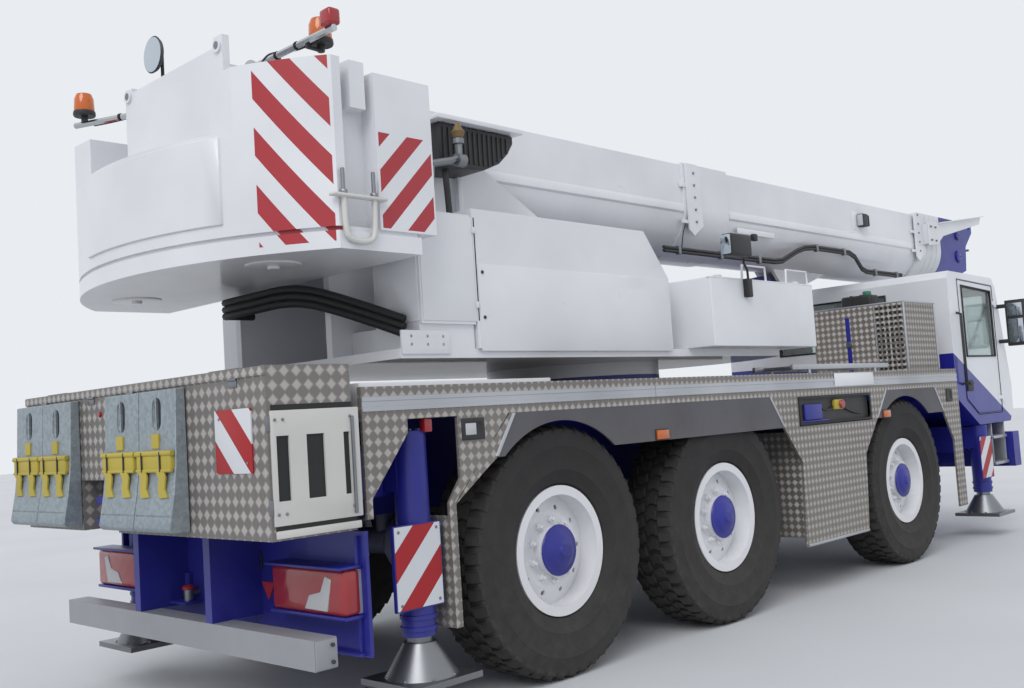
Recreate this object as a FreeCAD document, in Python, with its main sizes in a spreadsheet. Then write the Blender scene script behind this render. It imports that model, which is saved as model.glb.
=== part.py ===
import FreeCAD, Part

import math
import operator
import os

import Sketcher

# A three-axle all-terrain mobile crane, parked on its wheels with the boom laid forward.
# Millimetres. X forward, Y to the crane's left, Z up, ground at zero.
# Lengths ahead of the rear axle end in _x, heights above the ground end in _z.

V = FreeCAD.Vector
UP = V(0, 0, 1)
doc = FreeCAD.newDocument("MobileCrane")

SIZES = {
    # Whole vehicle
    "rear_axle_x": -3435,
    "middle_axle_x": 1650,
    "front_axle_x": 4430,
    "body_half": 1275,
    "slew_x": 1600,
    "fit_gap": 0.3,
    "move_gap": 6,
    "overrun": 10,
    "bite": 5,
    # Wheels
    "tyre_radius": 695,
    "tyre_width": 384,
    "wheel_inset": 20,
    "bead_lip": 6,
    "bead_rise": 16,
    "bead_flare": 22,
    "bulge_rise": 150,
    "shoulder_drop": 25,
    "shoulder_inset": 14,
    "tread_drop": 6,
    "tread_inset": 34,
    "crown_inset": 60,
    "rim_radius": 318,
    "rim_wall": 12,
    "rim_width": 300,
    "flange_radius": 357,
    "flange_wall": 14,
    "hub_radius": 133,
    "hub_face": 127,
    "hub_back": 60,
    "hub_chamfer": 22,
    "disc_face": 66,
    "disc_wall": 16,
    "disc_flat": 80,
    "disc_dish": 36,
    "hand_hole": 14,
    "hand_hole_shift": 14,
    "spindle_radius": 60,
    "spindle_tip": 84,
    # Axles and steering
    "kingpin_offset": 163,
    "kingpin_radius": 25,
    "knuckle_radius": 55,
    "knuckle_height": 190,
    "steering_arm": 150,
    "arm_wall": 30,
    "fork_wall": 30,
    "fork_reach": 60,
    "fork_gap": 20,
    "axle_radius": 85,
    "axle_taper_y": 260,
    "differential_radius": 190,
    "differential_half": 100,
    "strut_radius": 55,
    "strut_y": 330,
    # Chassis
    "frame_half": 450,
    "frame_low_z": 950,
    "frame_top_z": 1470,
    "frame_tail_x": -1380,
    "engine_bay_x": 4200,
    "front_frame_x": 5600,
    "front_frame_half": 420,
    "front_frame_low_z": 640,
    "front_frame_top_z": 1080,
    "riser_wall": 120,
    "bumper_x": 6950,
    "bumper_nose_x": 7120,
    "bumper_inset": 20,
    "bumper_low_z": 620,
    "bumper_top_z": 970,
    "apron_wall": 20,
    "apron_left_y": 800,
    "apron_low_z": 400,
    "hanger_inner_y": 340,
    "hanger_outer_y": 400,
    "jaw_tail_x": -1880,
    "jaw_root_x": -1700,
    "jaw_x": -1820,
    "jaw_y": 345,
    "jaw_z": 1090,
    "jaw_half": 60,
    "jaw_mouth": 35,
    "jaw_wall": 40,
    "jaw_bore": 20,
    # Slewing ring
    "ring_radius": 640,
    "ring_split_z": 1690,
    # Outriggers
    "rear_beam_x": -1005,
    "front_beam_x": 6300,
    "beam_pitch": 250,
    "beam_wide": 180,
    "beam_tall": 210,
    "rear_beam_z": 1120,
    "front_beam_z": 850,
    "box_wall": 20,
    "box_inset": 225,
    "jack_inset": 125,
    "sleeve_radius": 85,
    "sleeve_cap": 20,
    "ram_radius": 62,
    "rear_sleeve_top_z": 1400,
    "front_sleeve_top_z": 1060,
    "sleeve_low_z": 420,
    "float_low_z": 200,
    "float_plate": 30,
    "float_half": 210,
    "float_cone": 160,
    "cone_top": 20,
    "board_long": 300,
    "board_offset": 100,
    "board_wall": 20,
    "board_low_z": 560,
    "board_top_z": 965,
    # Deck, skirts and panels
    "deck_sheet": 50,
    "deck_nose_x": 5580,
    "rail_top_z": 1630,
    "rail_wall": 30,
    "skirt_wall": 13,
    "skirt_low_z": 1245,
    "skirt_clearance": 22,
    "skirt_tail_low_x": -520,
    "skirt_tail_top_x": -375,
    "skirt_nose_low_x": 2395,
    "skirt_nose_top_x": 2230,
    "front_skirt_tail_low_x": 3880,
    "front_skirt_tail_top_x": 4070,
    "front_skirt_nose_low_x": 5220,
    "front_skirt_nose_top_x": 5060,
    "panel_wall": 18,
    "panel_low_z": 370,
    "panel_knee_z": 980,
    "panel_knee_tail_x": 2620,
    "panel_tail_x": 2580,
    "panel_nose_x": 3570,
    "panel_knee_nose_x": 3630,
    "front_panel_x": 5405,
    "recess_tail_x": 2610,
    "recess_nose_x": 3790,
    "recess_depth": 30,
    "recess_lip": 12,
    "tank_tail_x": 2640,
    "tank_nose_x": 3560,
    "tank_inner_y": 450,
    "tank_low_z": 430,
    "tank_top_z": 1200,
    "corner_tail_x": -785,
    "corner_nose_x": -405,
    "corner_low_z": 1160,
    "strip_tail_x": -870,
    "strip_wide": 45,
    "strip_top_z": 1045,
    "flap_inner_y": 870,
    "flap_wall": 20,
    "flap_low_z": 435,
    "cheek_nose_x": -1110,
    "cheek_step_z": 1405,
    "cheek_tip_x": -1345,
    "cheek_tip_z": 1110,
    "cheek_low_z": 1020,
    # Rear locker, chocks and rear bar
    "locker_tail_x": -1890,
    "locker_nose_x": -1440,
    "locker_low_z": 983,
    "locker_top_z": 1690,
    "lid_top_z": 1738,
    "locker_wall": 25,
    "notch_low_y": 140,
    "notch_high_y": 550,
    "notch_rise": 270,
    "chock_wide": 360,
    "chock_low_z": 1010,
    "chock_top_z": 1670,
    "chock_foot": 110,
    "chock_head": 60,
    "bar_tail_x": -1690,
    "bar_nose_x": -1570,
    "bar_low_z": 394,
    "bar_top_z": 529,
    "bar_inset": 25,
    "lamp_deep": 90,
    "lamp_inner_y": 660,
    "lamp_inset": 45,
    "lamp_low_z": 600,
    "lamp_top_z": 800,
    # Engine
    "engine_half": 370,
    "engine_inset": 200,
    "engine_low_z": 1000,
    "engine_top_z": 1460,
    "cover_tail_x": 4700,
    "cover_nose_x": 5370,
    "cover_inner_y": 340,
    "cover_outer_y": 1210,
    "cover_top_z": 2245,
    # Driver's cab
    "cab_inset": 55,
    "cab_wall": 35,
    "cab_floor_z": 1080,
    "cab_roof_z": 2570,
    "cab_roof_fall": 20,
    "cab_roof_tail": 50,
    "cab_tail_x": 5700,
    "cab_tail_low_z": 1350,
    "cab_tail_top_z": 2500,
    "cab_floor_tail_x": 6200,
    "cab_floor_nose_x": 7030,
    "cab_toe_x": 7130,
    "cab_toe_z": 1200,
    "cab_nose_x": 7150,
    "cab_knee_z": 1450,
    "cab_brow_x": 6930,
    "cab_brow_z": 2450,
    "cab_roof_nose_x": 6850,
    "glass_wall": 8,
    "glass_depth": 12,
    "screen_tail_x": 6800,
    "screen_inset": 140,
    "screen_low_z": 1620,
    "screen_top_z": 2400,
    "rear_window_half": 600,
    "rear_window_low_z": 1900,
    "door_tail_x": 5930,
    "door_nose_x": 6830,
    "door_low_z": 1180,
    "door_tail_low_z": 1330,
    "door_top_z": 2500,
    "door_top_fall": 30,
    "door_window_z": 1750,
    "door_window_tail": 90,
    "door_window_nose": 70,
    "door_window_drop": 60,
    "hinge_out": 16,
    "hinge_radius": 12,
    "hinge_pin": 7,
    "hinge_half": 20,
    "hinge_low_z": 1330,
    "hinge_high_z": 2290,
    "cab_mirror_x": 6900,
    "cab_mirror_wall": 60,
    "cab_mirror_reach": 280,
    "cab_mirror_wide": 180,
    "cab_mirror_low_z": 1850,
    "cab_mirror_top_z": 2300,
    "cab_mirror_arm": 30,
    "dash_tail_x": 6790,
    "dash_nose_x": 7060,
    "dash_low_z": 1300,
    "dash_top_z": 1560,
    "dash_post_half": 60,
    "seat_y": 650,
    "seat_half": 235,
    "seat_tail_x": 5900,
    "seat_cushion_x": 6010,
    "seat_nose_x": 6500,
    "seat_low_z": 1400,
    "seat_top_z": 1600,
    "seat_back_top_z": 2200,
    "seat_foot_tail_x": 6220,
    "seat_foot_nose_x": 6400,
    "seat_foot_half": 120,
    # Superstructure
    "base_low_z": 1780,
    "base_top_z": 1830,
    "base_tail_x": -940,
    "base_nose_x": 3300,
    "base_nose_round": 500,
    "base_half": 1050,
    "plate_offset": 50,
    "plate_wall": 50,
    "plate_toe_x": 1900,
    "plate_knee_x": 1700,
    "plate_knee_z": 2280,
    "plate_brow_x": 250,
    "plate_head_nose_x": -330,
    "plate_head_tail_x": -700,
    "plate_head_rise": 190,
    "plate_tail_drop": 100,
    "pivot_x": -550,
    "pivot_rise": 10,
    "pivot_radius": 60,
    "pivot_boss": 130,
    "cabinet_tail_x": -800,
    "cabinet_low_z": 1960,
    "cabinet_top_z": 2560,
    "cabinet_inner_y": 690,
    "housing_tail_x": -400,
    "housing_nose_x": 1400,
    "housing_brow_x": 1160,
    "housing_half": 1070,
    "housing_shoulder_z": 2300,
    "housing_top_z": 2600,
    "left_cabinet_tail_x": -600,
    "left_cabinet_nose_x": 1200,
    "left_cabinet_top_z": 2260,
    "left_cabinet_y": 1200,
    "upper_inset": 5,
    "toolbox_tail_x": 1600,
    "toolbox_nose_x": 2980,
    "toolbox_inner_y": 700,
    "toolbox_top_z": 2300,
    "toolbox_wall": 20,
    "side_mirror_x": 1640,
    "side_mirror_long": 270,
    "side_mirror_inner": 65,
    "side_mirror_outer": 160,
    "side_mirror_low_z": 2420,
    "side_mirror_top_z": 2580,
    "side_mirror_arm_x": 1900,
    "side_mirror_arm_z": 2200,
    "side_mirror_arm": 40,
    # Counterweight, winch and beacon rails
    "weight_low_z": 2275,
    "weight_seam_z": 2360,
    "weight_seam": 20,
    "weight_seam_depth": 15,
    "weight_top_z": 2880,
    "weight_tail_x": -1930,
    "weight_corner_x": -1450,
    "weight_nose_x": -950,
    "horn_tail_x": -1730,
    "horn_nose_x": -845,
    "horn_inner_y": 650,
    "horn_top_z": 3190,
    "horn_step_x": -1205,
    "horn_step": 40,
    "horn_recess_x": -1400,
    "horn_recess_depth": 100,
    "tab_tail_x": -1340,
    "tab_nose_x": -1250,
    "tab_low_z": 2960,
    "winch_x": -1270,
    "winch_z": 3160,
    "winch_pin": 40,
    "winch_back_x": -1620,
    "winch_front_x": -980,
    "winch_plate_gap": 40,
    "winch_plate_wall": 40,
    "winch_top_z": 3400,
    "winch_back_left_y": 420,
    "winch_back_right_y": 620,
    "winch_lug": 80,
    "winch_lug_rise": 50,
    "drum_radius": 190,
    "drum_flange": 250,
    "drum_flange_wall": 20,
    "drum_half": 300,
    "rail_x": -1300,
    "rail_radius": 20,
    "stem_radius": 12,
    "rail_end_y": 1120,
    "beacon_y": 1060,
    "beacon_radius": 65,
    "beacon_tall": 160,
    "hoist_mirror_y": 820,
    "hoist_mirror_z": 3850,
    "hoist_mirror_radius": 115,
    # Operator's cab
    "op_cab_tail_x": 1450,
    "op_cab_nose_x": 3100,
    "op_cab_inner_y": 500,
    "op_cab_knee_z": 2500,
    "op_cab_lean": 330,
    "op_cab_top_z": 3280,
    "op_cab_wall": 30,
    "op_screen_low_z": 2100,
    "op_screen_top_z": 3190,
    "op_screen_inset": 60,
    "op_screen_room": 500,
    "op_window_inset": 80,
    "op_window_low_z": 2400,
    "op_window_top_z": 3100,
    "op_door_tail_x": 1700,
    "op_door_nose_x": 2500,
    "op_door_low_z": 1900,
    "op_door_top_z": 3150,
    "op_door_lap": 10,
    "op_door_wall": 25,
    "op_door_frame": 70,
    "op_door_sill_z": 2350,
    "op_seat_tail_x": 1780,
    "op_seat_cushion_x": 1900,
    "op_seat_nose_x": 2350,
    "op_seat_inset": 150,
    "op_seat_low_z": 2150,
    "op_seat_top_z": 2300,
    "op_seat_back_top_z": 2900,
    "op_seat_foot_tail_x": 2000,
    "op_seat_foot_nose_x": 2200,
    "op_seat_foot_inset": 250,
    # Boom
    "boom_half": 380,
    "boom_top_z": 3380,
    "boom_side": 340,
    "boom_wall": 10,
    "inner_wall": 8,
    "boom_tail_x": -800,
    "boom_tail_wall": 40,
    "boom_end_x": 7300,
    "boom_step": 35,
    "boom_stagger": 130,
    "section_tail_x": -500,
    "section_tail_step": 60,
    "pad_long": 150,
    "pad_half": 50,
    "collar_rise": 28,
    "collar_long": 200,
    "middle_collar_rise": 15,
    "middle_collar_tail_x": 2650,
    "middle_collar_nose_x": 3300,
    "ear_tail_x": 4450,
    "ear_neck_x": 4640,
    "ear_throat_x": 4860,
    "ear_nose_x": 5500,
    "ear_bury": 26,
    "ear_neck_drop": 60,
    "ear_gap": 5,
    "ear_wall": 30,
    # Boom head
    "head_nose_x": 8870,
    "head_half": 330,
    "head_wall": 30,
    "head_rise": 60,
    "head_tuck": 40,
    "head_toe_x": 8300,
    "head_toe_rise": 70,
    "head_chin_x": 8600,
    "head_chin_rise": 150,
    "head_lip_x": 8650,
    "head_lip_rise": 450,
    "head_brow_drop": 110,
    "shaft_radius": 40,
    "low_shaft_x": 8380,
    "low_shaft_rise": 280,
    "high_shaft_x": 8400,
    "high_shaft_drop": 140,
    "sheave_radius": 190,
    "sheave_half": 25,
    "sheave_pitch": 140,
    "top_sheave_radius": 110,
    "jib_bore": 25,
    "jib_bore_x": 8780,
    "jib_bore_drop": 55,
    # Lift cylinder
    "lift_foot_x": 1200,
    "lift_foot_z": 1950,
    "lift_eye_x": 4750,
    "lift_eye_drop": 490,
    "barrel_radius": 125,
    "barrel_bore": 100,
    "barrel_tail": 30,
    "barrel_floor": 300,
    "barrel_neck": 60,
    "barrel_end_gap": 330,
    "rod_radius": 62,
    "piston": 120,
    "lift_pin_radius": 45,
    "eye_radius": 95,
    "eye_half": 65,
    "eye_web": 70,
    "eye_root": 190,
    "saddle_room": 200,
    "saddle_lip": 105,
    "saddle_lip_drop": 53,
}

class Size:
    """A number together with the sheet expression that gives it."""

    def __init__(self, value, text):
        self.value = value
        self.text = text

    def __add__(self, other):
        return combined(self, "+", other)

    def __radd__(self, other):
        return combined(other, "+", self)

    def __sub__(self, other):
        return combined(self, "-", other)

    def __rsub__(self, other):
        return combined(other, "-", self)

    def __mul__(self, other):
        return combined(self, "*", other)

    def __rmul__(self, other):
        return combined(other, "*", self)

    def __truediv__(self, other):
        return combined(self, "/", other)

    def __neg__(self):
        return combined(0, "-", self)


SIGNS = {"+": operator.add, "-": operator.sub, "*": operator.mul, "/": operator.truediv}


def sized(item):
    """Any plain number as a Size."""
    return item if isinstance(item, Size) else Size(float(item), repr(float(item)))


def combined(left, sign, right):
    """Two sizes joined by an arithmetic sign."""
    first, second = sized(left), sized(right)
    return Size(SIGNS[sign](first.value, second.value), f"({first.text} {sign} {second.text})")


def root(size):
    """The square root of a size."""
    return Size(math.sqrt(size.value), f"sqrt({size.text})")


def slope(rise, run):
    """The angle in degrees of a line that climbs by rise over run."""
    angle = math.degrees(math.atan2(rise.value, run.value))
    return Size(angle, f"atan2({rise.text}; {run.text})")


class Sheet:
    """The spreadsheet of driving sizes, read by name."""

    def __init__(self, sizes):
        self.sizes = sizes
        self.table = doc.addObject("Spreadsheet::Sheet", "Sizes")
        for row, (name, value) in enumerate(sizes.items(), start=1):
            self.table.set(f"A{row}", name)
            self.table.set(f"B{row}", str(value))
            self.table.setAlias(f"B{row}", name)

    def __getattr__(self, name):
        return Size(float(self.sizes[name]), f"Sizes.{name}")


S = Sheet(SIZES)
doc.recompute()


def along(size):
    """A length ahead of the rear axle, as a place in the crane's frame."""
    return S.rear_axle_x + size


def spot(*items):
    """Plain numbers or sizes as a vector."""
    return V(*(sized(item).value for item in items))


def bind(thing, name, size):
    """Ties one property to a size."""
    if isinstance(size, Size):
        thing.setExpression(name, size.text)
    elif "." not in name:
        setattr(thing, name, size)


def place(thing, x=0, y=0, z=0, turn=None):
    """Puts a piece at a place, turned if asked, and ties the place to its sizes."""
    thing.Placement = FreeCAD.Placement(spot(x, y, z), turn or FreeCAD.Rotation())
    for axis, size in zip("xyz", (x, y, z)):
        bind(thing, f"Placement.Base.{axis}", size)
    return thing


def block(x, y, z):
    """A box between a low and a high place along each axis."""
    box = doc.addObject("Part::Box", "block")
    for name, (low, high) in zip(("Length", "Width", "Height"), (x, y, z)):
        bind(box, name, sized(high) - low)
    return place(box, x[0], y[0], z[0])


DIRECTIONS = {"x": V(1, 0, 0), "y": V(0, 1, 0), "z": UP}


def rod(axis, radius, span, at):
    """A cylinder along an axis: span gives its ends, at its place on the other two axes."""
    cylinder = doc.addObject("Part::Cylinder", "rod")
    bind(cylinder, "Radius", radius)
    bind(cylinder, "Height", sized(span[1]) - span[0])
    first, second = at
    base = {"x": (span[0], first, second), "y": (first, span[0], second), "z": (first, second, span[0])}
    return place(cylinder, *base[axis], turn=FreeCAD.Rotation(UP, DIRECTIONS[axis]))


class Via:
    """A point that the arc between its two neighbours passes through."""

    def __init__(self, across, up):
        self.place = (across, up)


def draw(drawing, outline):
    """Draws a closed outline of corners, with an arc wherever a Via stands between two corners."""
    corners = [item for item in outline if not isinstance(item, Via)]
    vias = {}
    number = -1
    for item in outline:
        if isinstance(item, Via):
            vias[number] = item.place
        else:
            number += 1
    for number, corner in enumerate(corners):
        start = spot(*corner, 0)
        end = spot(*corners[(number + 1) % len(corners)], 0)
        if number in vias:
            drawing.addGeometry(Part.Arc(start, spot(*vias[number], 0), end), False)
        else:
            drawing.addGeometry(Part.LineSegment(start, end), False)
    ends = []
    for number, corner in enumerate(corners):
        forward = drawing.getPoint(number, 1).isEqual(spot(*corner, 0), S.fit_gap.value)
        ends.append((1, 2) if forward else (2, 1))
    rules = []
    sizes = []
    for number, corner in enumerate(corners):
        after = (number + 1) % len(corners)
        rules.append(Sketcher.Constraint("Coincident", number, ends[number][1], after, ends[after][0]))
        sizes.append(None)
        for kind, size in zip(("DistanceX", "DistanceY"), corner):
            rules.append(Sketcher.Constraint(kind, -1, 1, number, ends[number][0], sized(size).value))
            sizes.append(size)
    for number, middle in vias.items():
        point = drawing.addGeometry(Part.Point(spot(*middle, 0)), True)
        for kind, size in zip(("DistanceX", "DistanceY"), middle):
            rules.append(Sketcher.Constraint(kind, -1, 1, point, 1, sized(size).value))
            sizes.append(size)
        rules.append(Sketcher.Constraint("PointOnObject", point, 1, number))
        sizes.append(None)
    drawing.addConstraint(rules)
    for index, size in enumerate(sizes):
        if isinstance(size, Size):
            drawing.setExpression(f"Constraints[{index}]", size.text)


def sketched(plane, outline, offset=0):
    """A new body with an outline drawn on one of its own planes."""
    body = doc.addObject("PartDesign::Body", "body")
    drawing = body.newObject("Sketcher::SketchObject", "outline")
    origin = next(item for item in body.Origin.OriginFeatures if item.Role == plane)
    drawing.AttachmentSupport = [(origin, "")]
    drawing.MapMode = "FlatFace"
    if isinstance(offset, Size):
        drawing.setExpression("AttachmentOffset.Base.z", offset.text)
    draw(drawing, outline)
    return body, drawing


def prism(plane, outline, low, high):
    """An outline on the XY, XZ or YZ plane, padded from a low to a high place across it."""
    offset = -sized(high) if plane == "XZ" else sized(low)
    body, drawing = sketched(f"{plane}_Plane", outline, offset)
    pad = body.newObject("PartDesign::Pad", "pad")
    pad.Profile = drawing
    bind(pad, "Length", sized(high) - low)
    return body


def turned(axis, outline):
    """An outline of (radius, place along the axis), turned round the y or z axis."""
    body, drawing = sketched("XY_Plane" if axis == "y" else "XZ_Plane", outline)
    turn = body.newObject("PartDesign::Revolution", "turn")
    turn.Profile = drawing
    turn.ReferenceAxis = (drawing, ["V_Axis"])
    turn.Angle = 360
    return body


def join(*things):
    """Pieces fused to one."""
    if len(things) == 1:
        return things[0]
    fused = doc.addObject("Part::MultiFuse", "join")
    fused.Shapes = list(things)
    return fused


def cut(base, *tools):
    """A piece with others taken out of it."""
    result = doc.addObject("Part::Cut", "cut")
    result.Base = base
    result.Tool = join(*tools)
    return result


def common(base, tool):
    """What two pieces share."""
    result = doc.addObject("Part::Common", "common")
    result.Base = base
    result.Tool = tool
    return result


def mirrored(thing):
    """The same piece on the crane's other side."""
    result = doc.addObject("Part::Mirroring", "mirrored")
    result.Source = thing
    result.Normal = (0, 1, 0)
    return result


def both(thing):
    """A piece and its mirror image, as one."""
    return join(thing, mirrored(thing))


NODES = {}


def node(name, thing):
    """Names a finished sub-part."""
    thing.Label = name
    NODES[name] = thing
    return thing


# Places that follow the overall width or the boom's top.
WHEEL_Y = S.body_half - S.tyre_width / 2 - S.wheel_inset
KINGPIN_Y = WHEEL_Y - S.kingpin_offset
JACK_Y = S.body_half - S.jack_inset
BOX_HALF = S.body_half - S.box_inset
CAB_HALF = S.body_half - S.cab_inset
SIDE_Y = S.body_half - S.upper_inset
CREASE_Z = S.boom_top_z - S.boom_side
PIVOT_Z = CREASE_Z + S.pivot_rise
EYE_Z = CREASE_Z - S.lift_eye_drop
PLATE_Y = S.boom_half + S.plate_offset
PLATE_OUT_Y = PLATE_Y + S.plate_wall

# Wheels: each has a tyre and a rim with its hub, turning on a spindle.
AXLES = {"rear": S.rear_axle_x, "middle": along(S.middle_axle_x), "front": along(S.front_axle_x)}
HUB_Z = S.tyre_radius
HAND_HOLES = 10


def tyre_outline():
    """Half the tyre's section is mirrored about its middle: (radius, place across)."""
    seat = S.rim_width / 2 - S.flange_wall - S.fit_gap
    side = S.tyre_width / 2
    tread = side - S.tread_inset
    half = [
        (S.rim_radius + S.fit_gap, seat),
        (S.flange_radius + S.bead_lip, seat),
        (S.flange_radius + S.bead_rise, seat + S.bead_flare),
        Via(S.flange_radius + S.bulge_rise, side),
        (S.tyre_radius - S.shoulder_drop, side - S.shoulder_inset),
        (S.tyre_radius - S.tread_drop, tread),
        (S.tyre_radius, tread - S.crown_inset),
    ]
    other = []
    for item in reversed(half):
        if isinstance(item, Via):
            other.append(Via(item.place[0], -sized(item.place[1])))
        else:
            other.append((item[0], -sized(item[1])))
    return half + other


def rim_outline():
    """Barrel, two flanges, dished disc and closed hub with the spindle's bore."""
    edge = S.rim_width / 2
    inner = S.rim_radius - S.rim_wall
    bore = S.spindle_radius + S.fit_gap
    bore_end = S.spindle_tip + S.fit_gap
    face = S.disc_face
    back = face - S.disc_wall
    return [
        (0, bore_end),
        (0, S.hub_face),
        (S.hub_radius - S.hub_chamfer, S.hub_face),
        (S.hub_radius, S.hub_face - S.hub_chamfer),
        (S.hub_radius, face),
        (S.hub_radius + S.disc_flat, face),
        (inner, face - S.disc_dish),
        (inner, edge),
        (S.flange_radius, edge),
        (S.flange_radius, edge - S.flange_wall),
        (S.rim_radius, edge - S.flange_wall),
        (S.rim_radius, S.flange_wall - edge),
        (S.flange_radius, S.flange_wall - edge),
        (S.flange_radius, -edge),
        (inner, -edge),
        (inner, back - S.disc_dish),
        (S.hub_radius + S.disc_flat, back),
        (S.hub_radius, back),
        (S.hub_radius, -S.hub_back),
        (bore, -S.hub_back),
        (bore, bore_end),
    ]


def hand_holes():
    """Round holes through the disc, on a circle."""
    holes = []
    circle = (S.hub_radius + S.rim_radius) / 2 + S.hand_hole_shift
    for number in range(HAND_HOLES):
        angle = math.tau * number / HAND_HOLES
        at = (circle * math.cos(angle), circle * math.sin(angle))
        holes.append(rod("y", S.hand_hole, (0, S.hub_face), at))
    return holes


for axle, axle_x in AXLES.items():
    for side, sign in (("left", 1), ("right", -1)):
        tyre = turned("y", tyre_outline())
        rim = cut(turned("y", rim_outline()), *hand_holes())
        for kind, wheel in (("tyre", tyre), ("rim", rim)):
            place(wheel, axle_x, WHEEL_Y, HUB_Z)
            node(f"{kind}_{axle}_{side}", wheel if sign > 0 else mirrored(wheel))

# Knuckles of the two steered axles, each turning on a kingpin held in the axle's fork.
SPINDLE_END = WHEEL_Y + S.spindle_tip


def knuckle(axle_x):
    """A barrel round the kingpin with the wheel's spindle on its outer side."""
    half = S.knuckle_height / 2 - S.fit_gap
    barrel = rod("z", S.knuckle_radius, (HUB_Z - half, HUB_Z + half), (axle_x, KINGPIN_Y))
    spindle = rod("y", S.spindle_radius, (KINGPIN_Y + S.arm_wall, SPINDLE_END), (axle_x, HUB_Z))
    arm = block(
        (axle_x - S.steering_arm, axle_x),
        (KINGPIN_Y - S.arm_wall, KINGPIN_Y + S.overrun),
        (HUB_Z - 2 * S.arm_wall, HUB_Z - S.arm_wall),
    )
    bore_radius = S.kingpin_radius + S.fit_gap
    bore = rod("z", bore_radius, (HUB_Z - 2 * half, HUB_Z + 2 * half), (axle_x, KINGPIN_Y))
    return cut(join(barrel, spindle, arm), bore)


for axle in ("rear", "front"):
    for side in ("left", "right"):
        piece = knuckle(AXLES[axle])
        node(f"knuckle_{axle}_{side}", piece if side == "left" else mirrored(piece))


def axle_beam(axle_x, steered):
    """A tube with the differential's bulge, two struts up to the frame and forks or spindles."""
    tip = KINGPIN_Y - S.knuckle_radius - S.fork_gap
    outline = [
        (0, -tip),
        (S.axle_radius, -tip),
        (S.axle_radius, -S.axle_taper_y),
        (S.differential_radius, -S.differential_half),
        (S.differential_radius, S.differential_half),
        (S.axle_radius, S.axle_taper_y),
        (S.axle_radius, tip),
        (0, tip),
    ]
    pieces = [place(turned("y", outline), axle_x, 0, HUB_Z)]
    strut = rod("z", S.strut_radius, (HUB_Z, S.frame_low_z), (axle_x, S.strut_y))
    half = S.knuckle_height / 2
    if steered:
        low = (HUB_Z - half - S.fork_wall, HUB_Z - half)
        high = (HUB_Z + half, HUB_Z + half + S.fork_wall)
        reach = (axle_x - S.fork_reach, axle_x + S.fork_reach)
        web = block(reach, (tip - S.fork_reach, tip), (low[0], high[1]))
        lug_y = (tip - S.fork_reach, KINGPIN_Y + S.fork_reach)
        lugs = [block(reach, lug_y, level) for level in (low, high)]
        pin = rod("z", S.kingpin_radius, (low[0], high[1]), (axle_x, KINGPIN_Y))
        pieces.append(both(join(strut, web, pin, *lugs)))
    else:
        spindle = rod("y", S.spindle_radius, (tip - S.overrun, SPINDLE_END), (axle_x, HUB_Z))
        pieces.append(both(join(strut, spindle)))
    return join(*pieces)


beams = doc.addObject("Part::Compound", "axle_beams")
beams.Links = [axle_beam(axle_x, axle != "middle") for axle, axle_x in AXLES.items()]
node("axles", beams)

# Outriggers: a box crosses the frame for each beam, and each beam carries a jack and a board.
REAR_LEFT_BEAM_X = along(S.rear_beam_x) - S.beam_pitch
FRONT_LEFT_BEAM_X = along(S.front_beam_x) - S.beam_pitch
RIGHT_BOARD = S.board_offset - S.board_long
LEFT_BOARD = -S.board_offset
# Columns: name, beam's place along the crane, its underside, its sleeve's top, its board's rear end.
OUTRIGGERS = [
    ("rear_right", along(S.rear_beam_x), S.rear_beam_z, S.rear_sleeve_top_z, RIGHT_BOARD),
    ("rear_left", REAR_LEFT_BEAM_X, S.rear_beam_z, S.rear_sleeve_top_z, LEFT_BOARD),
    ("front_right", along(S.front_beam_x), S.front_beam_z, S.front_sleeve_top_z, RIGHT_BOARD),
    ("front_left", FRONT_LEFT_BEAM_X, S.front_beam_z, S.front_sleeve_top_z, LEFT_BOARD),
]


def box_channel(beam_x, beam_z):
    """The clear space in which a beam slides, on its bottom pad."""
    reach = S.beam_wide / 2 + S.move_gap
    return block(
        (beam_x - reach, beam_x + reach),
        (-BOX_HALF - S.overrun, BOX_HALF + S.overrun),
        (beam_z - S.fit_gap, beam_z + S.beam_tall + S.move_gap),
    )


def box_tube(beam_x, beam_z):
    """The outside of an outrigger box."""
    reach = S.beam_pitch / 2
    return block(
        (beam_x - reach, beam_x + reach),
        (-BOX_HALF, BOX_HALF),
        (beam_z - S.box_wall, beam_z + S.beam_tall + S.box_wall),
    )


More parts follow.
